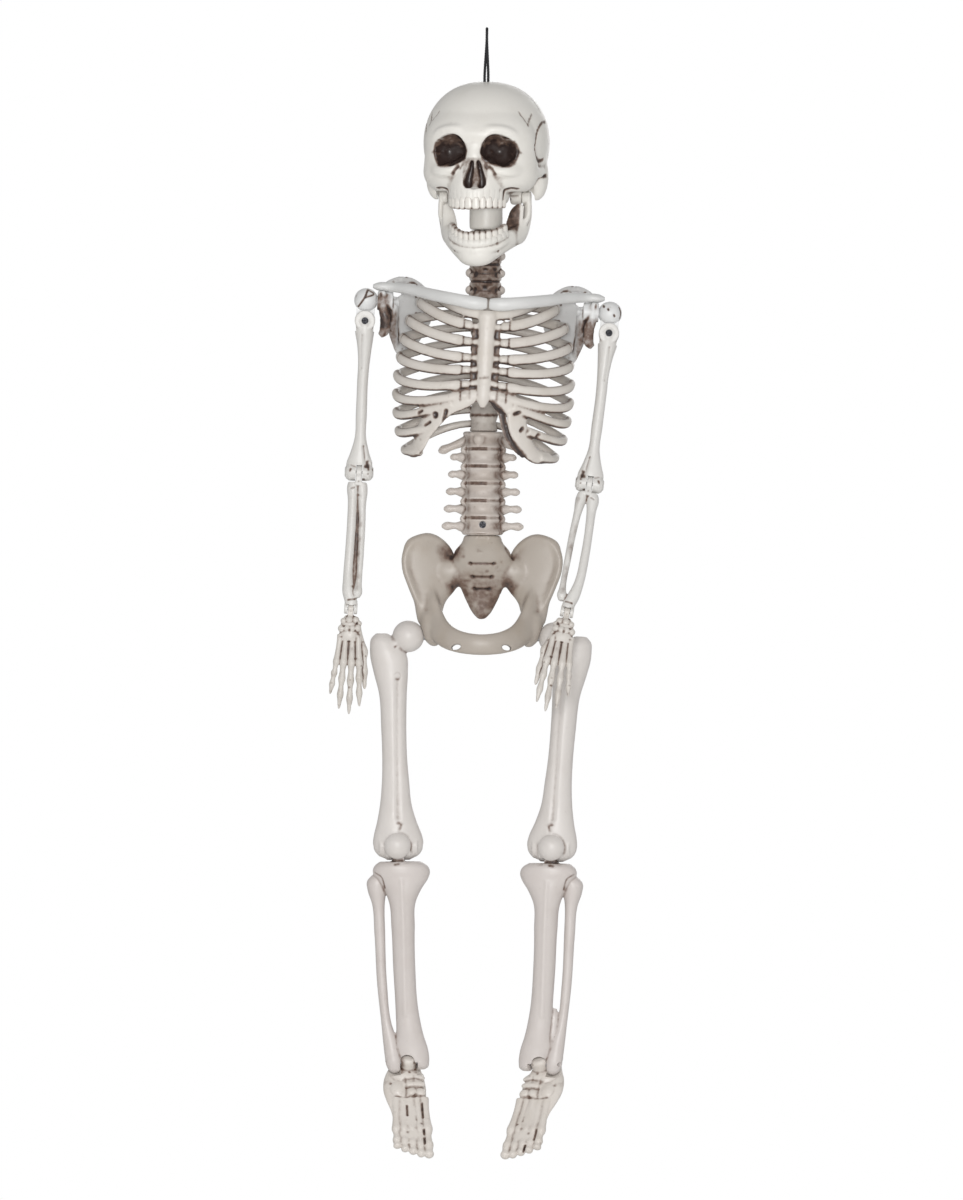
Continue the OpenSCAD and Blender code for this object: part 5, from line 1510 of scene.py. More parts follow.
@dataclass
class Spine(Part):
    """Neck, lumbar spine and pelvis."""

    neck_d: float = 27.0
    neck_len: float = 57.0
    neck_n: int = 4
    head_d: float = 21.0
    head_h: float = 3.5
    lumbar_d: float = 35.0
    lumbar_pitch: float = 14.4
    lumbar_n: int = 6
    process_span: float = 64.0

    @property
    def peg_top(self) -> float:
        """Level of the underside of the neck peg's head."""
        rise = math.sqrt((0.5 * FIT.cavity_d) ** 2 - (1 + 0.5 * self.head_d) ** 2)
        return -STANCE.loop_h - FIT.cavity_drop + FIT.gap - rise

    @staticmethod
    def _column(n: int, pitch: float, r: float, waist: float, top: float) -> list[Row]:
        """Stations of a stack of vertebrae.

        Args:
            n: number of vertebrae
            pitch: height of one
            r: radius at the rims
            waist: depth of the waist
            top: level of the top

        Returns:
            The stations.
        """
        rows: list[Row] = []
        for i in range(n):
            z = top - i * pitch
            for share, q in ((0, r - 1.6), (0.12, r), (0.3, r - 0.7 * waist), (0.5, r - waist),
                             (0.7, r - 0.7 * waist), (0.88, r)):
                rows.append((0, 0, z - share * pitch, q, q))
        rows.append((0, 0, top - n * pitch, r - 1.6, r - 1.6))
        return rows

    def build_neck(self) -> None:
        """Builds the neck."""
        bone = Bone("neck", STANCE.torso, 0.6)
        r, top, pitch = 0.5 * self.neck_d, STANCE.neck_top, self.neck_len / self.neck_n
        bone.solid.stack(self._column(self.neck_n, pitch, r, 2.2, top), 40, 1.0)
        bone.solid.drum(top - 1, self.peg_top + self.head_h, FIT.inner(FIT.neck_peg_d), 0, 0, "Z")
        bone.solid.drum(self.peg_top, self.peg_top + self.head_h, 0.5 * self.head_d, 0, 0, "Z")
        bone.solid.drum(STANCE.chest_top - FIT.spigot_h, STANCE.chest_top + 2, FIT.inner(FIT.spigot_d), 0, 0, "Z")
        for i in range(self.neck_n):
            z = top - (i + 0.5) * pitch
            for s in BOTH:
                bone.solid.ball((s * (r - 0.6), 1, z), (3.8, 3.6, 3.8))
                bone.solid.ball((s * (r - 3), -5, z - 2.6), (3, 3, 2.4))
            bone.solid.sweep([(0, r - 4, z), (0, r + 1, z - 1.4), (0, r + 5.4, z - 4)], [(0, 0.3, 1)] * 3,
                             [(4, 3.4), (3, 2.6), (2, 2)])
        neck = bone.grow(smooth=4)
        for i in range(self.neck_n):
            z = top - (i + 0.5) * pitch
            ring = arc(r, z + 0.5 * pitch, -1.2, 1.2, 9)
            neck.groove(ring, 1.5, 0.8, 0.8)
            mid = arc(r, z - 0.6, -0.8, 0.8, 9, 1.6)
            neck.groove(mid, 1.0, 0.5, 0.5)
        neck.pits(4, 0.35, 0.3, 0.4, 7)
        neck.paint_by_place(lambda p: 0.72 * unit((-p[:, 1] - 4.5) / 4) * (p[:, 2] < top + 1))
        bone.finish(self.paints, "torso", SPINE_BONE, fine=0.6, broad=0.5)

    def _lumbar_forms(self, bone: Bone) -> None:
        """Adds the shapes of the lumbar spine.

        Args:
            bone: the bone
        """
        r, top, pitch, reach = 0.5 * self.lumbar_d, STANCE.spine_joint, self.lumbar_pitch, 0.5 * self.process_span
        bone.solid.stack(self._column(self.lumbar_n, pitch, r, 2.6, top), 48, 1.0)
        bone.solid.drum(top, top + FIT.spigot_h, FIT.inner(FIT.spigot_d), 0, 0, "Z")
        for i in range(self.lumbar_n):
            z = top - (i + 0.5) * pitch
            for s in BOTH:
                if i > 0:
                    far = reach - 1.6 * (self.lumbar_n - 1 - i)
                    bone.solid.sweep([(s * (r - 3), 2, z), (s * (r + 1), 2, z), (s * (r + 5), 2, z + 0.3),
                                      (s * far, 2, z), (s * (far + 2.3), 2, z)], [FRONT] * 5,
                                     [(5.2, 4.6), (4.4, 4), (2.9, 2.8), (3, 2.7), (1.2, 1.2)])
                    bone.solid.ball((s * (r - 1.6), -4.4, z + 0.5 * pitch - 1), (3.2, 3.6, 3.4))
            bone.solid.block((-2, r - 4, z - 4.6), (2, r + 10, z + 3.6))
        for s in BOTH:
            z = top - 0.55 * pitch
            path = [(s * (r - 3), 2, z), (s * (r + 1), 2, z - 1.6), (s * (r + 10), 2, z - 5.2),
                    (s * (reach + 3.6), 2, z - 8.6), (s * (reach + 5.6), 2, z - 9.4)]
            bone.solid.sweep(path, [FRONT] * 5, [(4.6, 4), (4, 3.6), (3.2, 3), (3, 2.8), (1.2, 1.2)])
        bone.solid.ball((-4, -r + 2.4, top - 6), (4.6, 3.2, 4.6))

    def _carve_lumbar(self, column: Sculpt) -> None:
        """Carves and stains the lumbar spine.

        Args:
            column: the bone's carving
        """
        r, top, pitch = 0.5 * self.lumbar_d, STANCE.spine_joint, self.lumbar_pitch
        for i in range(1, self.lumbar_n + 1):
            z = top - i * pitch
            ring = arc(r, z, -1.25, 1.25, 11)
            column.groove(ring, 1.6, 1.0, 0.3)
            slit = arc(r, z, -0.62, 0.16, 7)
            column.groove(slit, 1.9, 0.9, 1.6)
            low = arc(r, z + 3.4, -0.9, 0.9, 9)
            column.groove(low, 0.9, 0.25, 0.08)
        for s in BOTH:
            side = [(s * r * 0.86, -r * 0.5, top - 4), (s * r * 0.86, -r * 0.5, STANCE.lumbar_bottom + 2)]
            column.groove(side, 2.0, 0.7, 0.4)
        column.pits(4.5, 0.3, 0.22, 0.5, 11, unit((np.abs(column.spot[:, 0]) - 10) / 6))
        column.paint_by_place(lambda p: 0.05 + (0.8 * lattice(p, 6.0, 12) * unit((p[:, 0] - 6) / 7)
                                       + 0.45 * unit(1 - np.abs(p[:, 0] + 12) / 2.4)) * unit(-p[:, 1] / 6))

    def build_lumbar(self) -> None:
        """Builds the lumbar spine with the floating ribs."""
        r, pitch = 0.5 * self.lumbar_d, self.lumbar_pitch
        bone = Bone("lumbar_spine", STANCE.torso, 0.75)
        self._lumbar_forms(bone)
        self._carve_lumbar(bone.grow(smooth=4))
        bone.fit().drum(STANCE.lumbar_bottom - 1, STANCE.lumbar_bottom + FIT.spigot_h + 1, FIT.tight(FIT.spigot_d),
                        0, 0, "Z")
        level = STANCE.lumbar_bottom + 0.6 * pitch
        bone.fit().drum(-r - 2, 0, FIT.tight(FIT.screw_d), 0, level, "Y")
        bone.fit().drum(-r - 3.5, -r + 4.5, 0.5 * FIT.screw_head_d + 0.5, 0, level, "Y")
        bone.finish(self.paints, "torso", SPINE_BONE, fine=0.3, broad=0.12)

    def _wing(self, form: Form, s: float) -> None:
        """Adds one wing of the pelvis with its crest.

        Args:
            form: form to add to
            s: sign of the side
        """
        z = STANCE.lumbar_bottom
        rows = [(3, -2, z - 74, 9, 7), (2.5, -2, z - 66, 11.4, 7), (1.6, -1, z - 56, 14, 6.6),
                (-1, 0, z - 46, 20, 6), (-2, 1, z - 36, 24.5, 5.4), (0, 1, z - 24, 25, 5),
                (4, 1, z - 15, 21, 4.8), (6.4, 1, z - 8, 17.4, 4.4), (6.4, 1, z - 3, 13.4, 3.8),
                (6, 1, z - 0.4, 8, 3)]
        plate = form.within(sided(form.place, Side(int(s))) @ shift(42, 8, 0) @ turn("Z", -14))
        plate.stack(rows, 48)
        crest = [(23, 14, z - 25), (27, 13, z - 15), (34, 11.4, z - 7), (44, 8.8, z - 2), (56, 5.6, z - 5),
                 (63.6, 3.6, z - 16), (64, 2.6, z - 28), (59.6, 2.8, z - 41), (54, 3, z - 54), (50, 2.6, z - 64)]
        half = [(2, 3), (3, 3.8), (3.4, 4.2), (3.6, 4.4), (3.6, 4.4), (3.4, 4.4), (3.2, 4.4), (3.2, 5), (3.2, 5.4),
                (2, 4)]
        form.sweep(across(crest, s), [(s * 0.2, -1, 0)] * len(crest), half)

    def _pelvis_forms(self, bone: Bone) -> None:
        """Adds the shapes of the pelvis.

        Args:
            bone: the bone
        """
        z, hz, hy = STANCE.lumbar_bottom, -STANCE.hip_drop, STANCE.hip_y
        bone.solid.stack([(0, 0, z, 15.5, 13), (0, 1, z - 6, 17, 12.5), (0, 4, z - 13, 23, 11.5),
                          (0, 6, z - 20, 25, 11), (0, 8, z - 28, 24, 9.6), (0, 10, z - 38, 20.5, 8.4),
                          (0, 11.5, z - 48, 16.6, 7.2), (0, 11, z - 58, 12, 6), (0, 9.5, z - 67, 6.6, 4.4),
                          (0, 8, z - 71, 2.4, 2)], 48)
        side = [(44, 9, hz + 46), (43, 5.5, hz + 30), (38.5, -4, hz + 12), (30, -17, hz + 1), (17, -27, hz - 4.4),
                (6, -31, hz - 6)]
        half = [(4, 2), (10.4, 5), (11, 6.2), (10.4, 5.8), (9.6, 5), (9.2, 5)]
        path = [*side, *across(reversed(side), -1)]
        bone.solid.sweep(path, [(0.5 * p[0], p[1] - 16, 0) for p in path], [*half, *reversed(half)], 32)
        for s in BOTH:
            self._wing(bone.solid, s)
            bone.solid.stack([(44 * s, hy, hz + 20, 7, 8), (43.8 * s, hy, hz + 10, 7.6, 11),
                              (42.6 * s, hy, hz + 2, 6.8, 10.8), (40.8 * s, hy - 1, hz - 4, 5.6, 8.8),
                              (39 * s, hy - 2, hz - 8, 3, 4.6)], 36)
            bone.solid.ball((26 * s, 11, z - 31), (17, 8, 13))
            bone.hollow().ball((21 * s, -28, hz - 8.5), (4.4, 12, 2.3), turn("Y", 14 * s))

    def _carve_pelvis(self, pelvis: Sculpt) -> None:
        """Carves and stains the pelvis.

        Args:
            pelvis: the bone's carving
        """
        z, hz = STANCE.lumbar_bottom, -STANCE.hip_drop
        for dz, w in ((24, 9.4), (35, 7.6), (45, 5.6)):
            y = -6 if dz < 30 else -2
            pelvis.groove([(-w, y, z - dz), (0, y, z - dz), (w, y, z - dz)], 1.3, 1.0, 0.9, FRONT)
            for s in BOTH:
                pelvis.groove([(s * (w + 0.6), y, z - dz), (s * (w + 0.8), y, z - dz)], 2.4, 1.6, 1.0, FRONT)
                pelvis.groove([(s * (w + 0.6), 20, z - dz), (s * (w + 0.8), 20, z - dz)], 2.4, 1.2, 0.8, BACK)
        pelvis.groove([(0, 20, z - 8), (0, 24, z - 54)], 3.2, -1.6, 0.0, BACK)
        for s in BOTH:
            pelvis.groove([(s * 20, -6, z - 11), (s * 23, 0, z - 16), (s * 26, 2, z - 20)], 2.0, 0.8, 0.5, FRONT)
        pelvis.pits(4, 0.4, 0.24, 0.2, 13, unit((30 - np.abs(pelvis.spot[:, 0])) / 8)
                    * unit((pelvis.spot[:, 2] - hz - 12) / 6))
        pelvis.paint_by_place(self._pelvis_wash)

    def build_pelvis(self) -> None:
        """Builds the pelvis."""
        hz, hy = -STANCE.hip_drop, STANCE.hip_y
        bone = Bone("pelvis", STANCE.torso, 0.9)
        self._pelvis_forms(bone)
        self._carve_pelvis(bone.grow(smooth=34, second=5))
        for s in BOTH:
            bone.fit().globe((s * STANCE.hip_x, hy, hz), 0.5 * FIT.hip_ball_d + FIT.gap, 64)
            face = STANCE.hip_x - 0.5 * FIT.hip_ball_d - FIT.gap
            bone.fit().drum(s * (face - 10), s * STANCE.hip_x, FIT.tight(FIT.hip_pin_d), hy, hz)
        bone.finish(self.paints, "torso", PELVIS_BONE, fine=0.35, broad=0.1)

    @staticmethod
    def _pelvis_wash(p: np.ndarray) -> np.ndarray:
        """Wash of the sacrum, near the wings' joints and in the lower corners.

        Args:
            p: places in the spine's frame

        Returns:
            The wash at each place.
        """
        z = STANCE.lumbar_bottom
        low = unit((z - 20 - p[:, 2]) / 26) * unit((27 - np.abs(p[:, 0])) / 5)
        rough = lattice(p, 5.0, 14) + 0.5 * lattice(p, 2.2, 15)
        total = (0.25 + 0.7 * rough) * low * (p[:, 2] > -STANCE.hip_drop + 12)
        for s, strong in ((-1, 1.3), (1, 0.35)):
            joint = np.linalg.norm((p - np.array((s * 26, 4, z - 14))) / np.array((15, 26, 11)), axis=1)
            total += strong * unit(1 - joint) ** 0.8
            notch = np.linalg.norm((p - np.array((s * 24, 6, z - 45))) / np.array((8, 20, 13)), axis=1)
            total += 1.1 * unit(1 - notch)
        return total

    def build(self) -> None:
        """Builds the spine and the pelvis."""
        self.build_neck()
        self.build_lumbar()
        self.build_pelvis()


# Chest and shoulders


@dataclass
class Chest(Part):
    """Front and back rib cage, collar bones and shoulder blades."""

    width: float = 151.0
    front_d: float = 48.0
    back_d: float = 36.0
    rib_h: float = 9.8
    rib_t: float = 5.4
    swell: float = 0.9
    mid_y: float = -12.0
    sternum_w: float = 13.5
    spine_d: float = 24.0
    spine_h: float = 111.0
    spine_n: int = 8
    bulge: float = 7.0
    seat: float = 7.0
    share: tuple[float, ...] = (0.58, 0.79, 0.9, 0.955, 0.98, 1.0, 1.0, 0.985, 0.95, 0.87)
    stop: tuple[float, ...] = (85, 86, 86, 86, 86, 86, 86, 69, 56, 38)
    fall: tuple[float, ...] = (-13, -18, -15.5, -13, -7, -2.5, 4, 15, 15, 6)
    sag: tuple[float, ...] = (0, 1, 2, 3, 4.5, 6.5, 7.5, 7, 6, 4)
    rise: tuple[float, ...] = (-5, 2, 9, 13, 16, 18, 19, 20, 21, 25)
    gutter: tuple[Row, ...] = (
        (8, -55, -311.5), (15.5, -54.2, -318.5), (18.6, -53.8, -328.7),
        (22.6, -53, -339), (30, -51, -348), (36.5, -48.8, -354.8))
    girdle_z: float = -231.0
    boss_r: float = 8.0
    boss_len: float = 13.0

    def spine_y(self, z: float) -> float:
        """How far the upper spine bows back at a level."""
        bow = self.back_d + self.mid_y - self.seat
        return bow * math.sin(math.pi * (STANCE.chest_top - z) / self.spine_h) ** 2

    def rib_z(self, i: int) -> float:
        """Level of a rib at the side."""
        return STANCE.chest_top - (1 if i == 0 else 6 + STANCE.rib_pitch * (i - 1))

    def rib_tall(self, i: int) -> float:
        """Height of a rib."""
        return self.rib_h * (1.03 - 0.03 * i)

    def rib_w(self, i: int) -> float:
        """Half width of a rib's middle line."""
        return 0.5 * self.width * self.share[i] - 0.5 * self.rib_t

    def front(self, i: int, degrees: float) -> Row:
        """Point of a front rib.

        Args:
            i: number of the rib
            degrees: angle from the side to the front

        Returns:
            The point.
        """
        a = math.radians(degrees)
        return (self.rib_w(i) * math.cos(a), self.mid_y - (self.front_d - 0.5 * self.rib_t) * math.sin(a),
                self.rib_z(i) + self.fall[i] * math.sin(a) ** 2 - self.sag[i] * math.sin(2 * a))

    def back(self, i: int, degrees: float) -> Row:
        """Point of a back rib.

        Args:
            i: number of the rib
            degrees: angle from the side to the back

        Returns:
            The point.
        """
        a = math.radians(degrees)
        depth = self.spine_y(self.rib_z(i) + self.rise[i]) + self.seat - self.mid_y
        return (self.rib_w(i) * math.cos(a), self.mid_y + depth * math.sin(a) + self.bulge * math.sin(2 * a),
                self.rib_z(i) + self.rise[i] * math.sin(a) ** 2)

    def _out(self, p: Row) -> Row:
        """Outward direction of the cage at a point."""
        return (p[0], 1.4 * (p[1] - self.mid_y), 0)

    def _front_rib(self, form: Form, i: int, s: float) -> None:
        """Adds one front rib with its knuckle and cartilage.

        Args:
            form: form to add to
            i: number of the rib
            s: sign of the side
        """
        h, g, stop = 0.5 * self.rib_tall(i), 0.5 * self.rib_t + self.swell, self.stop[i]
        plain = i == 0 or i > 6
        last = stop if plain else math.degrees(math.acos(18.5 / self.rib_w(i)))
        angles = [last * k / 7 for k in range(8)]
        sizes = [(h, g)] * 8
        if not plain:
            angles += [math.degrees(math.acos(x / self.rib_w(i))) for x in (17.6, 15.4, 13.4, 12.2)] + [stop]
            sizes = [(h, g)] * 7 + [(0.9 * h, g), (0.84 * h, 1.1 * g), (0.86 * h, 1.16 * g), (0.82 * h, 1.1 * g),
                                    (0.66 * h, 0.84 * g), (0.74 * h, 0.84 * g)]
        path = across([self.front(i, a) for a in angles], s)
        form.sweep(path, [self._out(p) for p in path], sizes, 20, 1.6, FRONT)

    def _front_forms(self, bone: Bone) -> None:
        """Adds the shapes of the front rib cage.

        Args:
            bone: the bone
        """
        for s in BOTH:
            for i in range(len(self.share)):
                self._front_rib(bone.solid, i, s)
            stops = (17, 30, 48, 65, 80, 86) if s < 0 else (24, 45, 64, 68, 80, 86)
            rim = [self.front(i, stop) for i, stop in zip((9, 9, 8, 7, 6, 6), stops)]
            path = [(s * p[0], p[1], p[2] + d) for p, d in zip(rim, (1, 2, 0, 0, -2, 0))]
            bone.solid.sweep(path, [self._out(p) for p in path],
                             [(r, 0.5 * self.rib_t) for r in (4.6, 7, 9, 9.2, 7.4, 4.4)])
        bone.solid.sweep(self.gutter, [self._out(p) for p in self.gutter], [(2, 1.3), *[(3.4, 1.4)] * 4, (2, 1.2)])
        y, h, z = self.mid_y - self.front_d + 1, 0.5 * self.sternum_w, self.rib_z(1)
        bone.solid.stack([(0, y + 1, z - 4, 0.8 * h, 3), (0, y + 0.5, z - 6, 1.05 * h, 4),
                          (0, y, z - 14, 1.05 * h, 4), (0, y, z - 20, 0.98 * h, 3.8), (0, y, z - 48, h, 4),
                          (0, y, z - 58, 0.86 * h, 3.8), (0, y + 0.5, z - 70, 0.82 * h, 3.4),
                          (0, y + 1, z - 82, 0.6 * h, 2.6), (0, y + 1.5, z - 86, 0.24 * h, 1.4)])
        # dark webs in the gaps beside the sternum, painted to stand for the shade inside the cage
        for s in BOTH:
            low, high = sorted((s * 5.5, s * 11.6))
            bone.solid.block((low, y + 1.6, z - 75), (high, y + 4, z - 16))

    def _carve_front(self, cage: Sculpt) -> None:
        """Carves and stains the front rib cage, and paints shade on its ribs and beside the sternum.

        Args:
            cage: the bone's carving
        """
        y, z = self.mid_y - self.front_d + 1, self.rib_z(1)
        # painted shade: the webs beside the sternum are painted dark
        cage.paint_by_place(lambda p: 0.75 * (np.abs(np.abs(p[:, 0]) - 9) < 3) * (np.abs(p[:, 1] + 56) < 1.9)
                   * (np.abs(p[:, 2] - z + 46) < 31))
        for s in BOTH:
            for i in range(1, 5):
                p = self.front(i, 10)
                cage.groove([(s * p[0], p[1], p[2] - 5), (s * p[0], p[1], p[2] + 5)], 1.2, 0.5, 0.9,
                            (s * p[0], 1.4 * (p[1] - self.mid_y) - 30, 0))
            for i in range(1, 7):
                for x, w, d, ink in ((19.2, 1.0, 0.7, 1.0), (11.4, 1.1, 0.5, 0.3)):
                    p = self.front(i, math.degrees(math.acos(x / self.rib_w(i))))
                    cage.groove([(s * p[0], p[1] - 3, p[2] + up) for up in (-3.6, 3.6)], w, d, ink, FRONT)
        for path, w, ink in (([(-39, -50, -324.6), (-39, -50, -323.4)], 3.4, 1.5),
                             ([(-31.6, -52, -328), (-30.2, -52, -320)], 2.6, 1.4),
                             ([(-47, -46, -332.6), (-43, -48, -330)], 1.6, 1.2),
                             ([(27, -52, -319.6), (31, -52, -318)], 2.2, 1.3),
                             ([(33, -50, -333), (34.4, -50, -331)], 2.2, 1.3),
                             ([(47, -44, -337), (48.4, -44, -335)], 2.4, 1.2),
                             ([(-53, -40, -322.6), (-51, -40, -321)], 2.6, 1.2)):
            cage.groove(path, w, 1.8, ink, FRONT)
        cage.groove(self.gutter, 4.4, 0.2, 1.7, FRONT)
        for dz in (0, 16, 31, 46, 57):
            cage.groove([(-7, y - 4, z - 10 - dz), (7, y - 4, z - 10 - dz)], 1.6, 0.15, 0.05, FRONT)
        cage.groove([(-4, y - 4, z - 61), (4, y - 4, z - 60)], 1.8, 0.6, 0.4, FRONT)
        # painted shade along the lower edges of the ribs and on their upward faces
        cage.paint += 1.5 * unit((-cage.facing[:, 2] - 0.5) / 0.28)
        cage.paint += 0.8 * unit((cage.facing[:, 2] - 0.74) / 0.2)
        cage.pits(5, 0.2, 0.2, 0.25, 17)
        # painted shade on faces turned away from the front
        cage.paint += 0.1 * unit(cage.facing[:, 1])

    def build_front(self) -> None:
        """Builds the front rib cage."""
        bone = Bone("front_rib_cage", STANCE.chest, 0.9)
        self._front_forms(bone)
        self._carve_front(bone.grow(smooth=3))
        bone.finish(self.paints, "torso", RIB_BONE, fine=0.5, broad=0.2)

    def _back_forms(self, bone: Bone) -> None:
        """Adds the shapes of the back rib cage.

        Args:
            bone: the bone
        """
        ribs = bone.solid.within(STANCE.chest)
        for s in BOTH:
            for i in range(len(self.share)):
                last = math.degrees(math.acos(5 / self.rib_w(i)))
                path = across([self.back(i, last * k / 8) for k in range(9)], s)
                h, g = 0.5 * self.rib_tall(i), 0.5 * self.rib_t + self.swell
                sizes = [(h * (1 - 0.025 * k), g) for k in range(9)]
                ribs.sweep(path, [self._out(p) for p in path], sizes, 20, 1.8, BACK)
        r, n = 0.5 * self.spine_d, self.spine_n
        pitch = self.spine_h / n
        rows = []
        for i in range(2 * n + 1):
            z = STANCE.chest_top - 0.5 * i * pitch
            q = r if i % 2 == 0 else r - 1.8
            rows.append((0, self.spine_y(z), z, q, q))
        bone.solid.stack(rows, 36, 1.2)
        for i in range(n):
            z = STANCE.chest_top - (i + 0.4) * pitch
            y = self.spine_y(z) + r
            bone.solid.sweep([(0, y - 4, z + 1), (0, y + 4, z - 2), (0, y + 9, z - 5)], [(1, 0, 0)] * 3,
                             [(4, 3), (3.4, 2.2), (2.4, 1.6)])

    def _carve_back(self, cage: Sculpt) -> None:
        """Carves and stains the back rib cage, and paints shade on its undersides.

        Args:
            cage: the bone's carving
        """
        r, n = 0.5 * self.spine_d, self.spine_n
        pitch = self.spine_h / n
        for i in range(1, n):
            z = STANCE.chest_top - i * pitch
            y = self.spine_y(z)
            ring = arc(r, z, -1.3, 1.3, 9, y)
            cage.groove(ring, 1.6, 1.0, 0.8)
        # painted shade on the undersides
        cage.paint += unit((-cage.facing[:, 2] - 0.6) / 0.25)
        cage.paint_by_place(lambda p: 0.3 * unit((16 - np.abs(p[:, 0])) / 5))
        cage.pits(5, 0.25, 0.2, 0.4, 19)

    def build_back(self) -> None:
        """Builds the back rib cage with the upper spine."""
        bone = Bone("back_rib_cage", STANCE.torso, 0.95)
        self._back_forms(bone)
        self._carve_back(bone.grow(smooth=4))
        for level in (STANCE.chest_top - FIT.spigot_h - 1, STANCE.spine_joint - 1):
            bone.fit().drum(level, level + FIT.spigot_h + 2, FIT.tight(FIT.spigot_d), 0, 0, "Z")
        bone.finish(self.paints, "torso", RIB_BONE, fine=0.5, broad=0.2)

    def build_collar(self, s: Side) -> None:
        """Builds one collar bone.

        Args:
            s: the side
        """
        bone = Bone(s.word + "_collar_bone", sided(STANCE.chest, s), 0.65)
        y, z = self.mid_y - self.front_d, self.girdle_z + self.boss_r
        path = [(1.2, y, z - 6), (8, y - 1, z - 6), (26, y + 1, z - 4), (46, y + 15, z - 1), (66, y + 36, z + 2.5),
                (82, y + 52, z + 3.95), (93, y + 54, z + 3.9), (97, y + 54, z + 3.9)]
        half = [(4.6, 4), (5.6, 4.8), (5.2, 4.4), (5, 4.2), (4.6, 4.2), (4, 5), (3.4, 5.4), (1.6, 3)]
        bone.solid.sweep(path, [(0.5, -1, 0)] * 8, half, 24)
        collar = bone.grow(smooth=5)
        collar.lumps(size=16, height=0.5, seed=23)
        collar.pits(6, 0.25, 0.14, 0.5, 23, unit((14 - collar.spot[:, 0]) / 8))
        # painted shade on the underside of the collar bone
        collar.paint += 0.35 * unit(-collar.facing[:, 2] - 0.55)
        bone.finish(self.paints, "torso", COLLAR_BONE, fine=0.5, broad=0.3)

    def _blade_forms(self, bone: Bone) -> None:
        """Adds the shapes of a shoulder blade.

        Args:
            bone: the bone
        """
        z = self.girdle_z
        plate = bone.solid.within(bone.place @ shift(64, 17, 0) @ turn("Z", -38))
        plate.stack([(-4, 0, z + 10, 8, 1.6), (-3, 0, z + 5, 17, 2.4), (0, 0, z - 4, 22, 2.4),
                     (0, 0, z - 16, 21, 2.4), (3, 0, z - 30, 15, 2.4), (7, 0, z - 41, 8, 2),
                     (8, 0, z - 45, 3, 1.2)], 40)
        bone.solid.stack([(80, -3, z + 4, 5, 7), (80, -2, z - 6, 6, 7.5), (79, 1, z - 18, 4.6, 6),
                          (77, 6, z - 30, 3.4, 4), (75, 9, z - 38, 2, 2.4)])
        path = [(46, 32, z + 1), (57, 28, z + 12), (66, 24, z + 17), (76, 16, z + 17), (85, 9, z + 12),
                (90, 4, z + 5)]
        bone.solid.sweep(path, [(0.5, 1, 0)] * 6, [(2, 2), (4, 3), (4, 3.4), (4, 3.6), (4, 4), (2.4, 3)])
        bone.solid.stack([(62, 22, z + 2, 9, 4), (66, 21, z + 10, 8, 3.4), (67, 21, z + 16, 6, 2.4)])
        for x, y, h, r in ((60, 27, 14, 3.6), (68, 23, 18.5, 3.4), (75, 17, 18.4, 3.8), (83, 11, 14.6, 3.4)):
            bone.solid.ball((x, y, z + h), (r, r, 0.8 * r))
        bone.solid.drum(FIT.boss_end - self.boss_len, FIT.boss_end, self.boss_r, STANCE.shoulder_y, z)
        x, y = STANCE.shoulder_x, STANCE.shoulder_y
        rim = [(x - 12.6, y - 6, z + 8), (x - 13.8, y - 5, z + 2), (x - 15.2, y - 4, z - 8),
               (x - 17.4, y - 3, z - 18), (x - 16, y - 2, z - 26), (x - 13, y - 2, z - 29)]
        bone.solid.sweep(rim, [FRONT] * 6, [(2.6, 2.6), (3.8, 3.4), (4.4, 4), (4.6, 4), (4, 3.6), (2.4, 2.4)])

    def _carve_blade(self, blade: Sculpt, s: Side) -> None:
        """Carves and stains a shoulder blade.

        Args:
            blade: the bone's carving
            s: the side
        """
        x, z = STANCE.shoulder_x, self.girdle_z
        blade.lumps(size=7, height=0.5, seed=29)
        rust = 1.0 if s is Side.RIGHT else 0.3
        blade.paint_by_place(lambda p: rust * (0.4 + 0.7 * lattice(p, 4.0, 33)) * unit((p[:, 0] - x + 22) / 3)
                    * unit((p[:, 2] - z + 25) / 4) * unit((z + 7 - p[:, 2]) / 3))
        blade.pits(5, 0.5, 0.24, 0.9, 31)
        blade.paint_by_place(lambda p: 0.75 * unit((p[:, 0] - 72) / 5) * unit((z - 4 - p[:, 2]) / 6))
        blade.paint_by_place(lambda p: 0.25 * unit((p[:, 2] - z - 9) / 5))

    def build_blade(self, s: Side) -> None:
        """Builds one shoulder blade.

        Args:
            s: the side
        """
        z = self.girdle_z
        bone = Bone(s.word + "_shoulder_blade", sided(STANCE.chest, s), 0.7)
        self._blade_forms(bone)
        self._carve_blade(bone.grow(smooth=4), s)
        bone.fit().drum(FIT.boss_end - self.boss_len - 20, FIT.boss_end + 1, FIT.loose(FIT.axle_d),
                        STANCE.shoulder_y, z)
        bone.fit().globe((STANCE.shoulder_x, STANCE.shoulder_y, z), FIT.yoke_r + FIT.gap)
        bone.finish(self.paints, "torso", BLADE_BONE, fine=0.6, broad=0.4)

    def build(self) -> None:
        """Builds the chest and the shoulder girdle."""
        self.build_front()
        self.build_back()
        for s in Side:
            self.build_collar(s)
            self.build_blade(s)


# Limbs


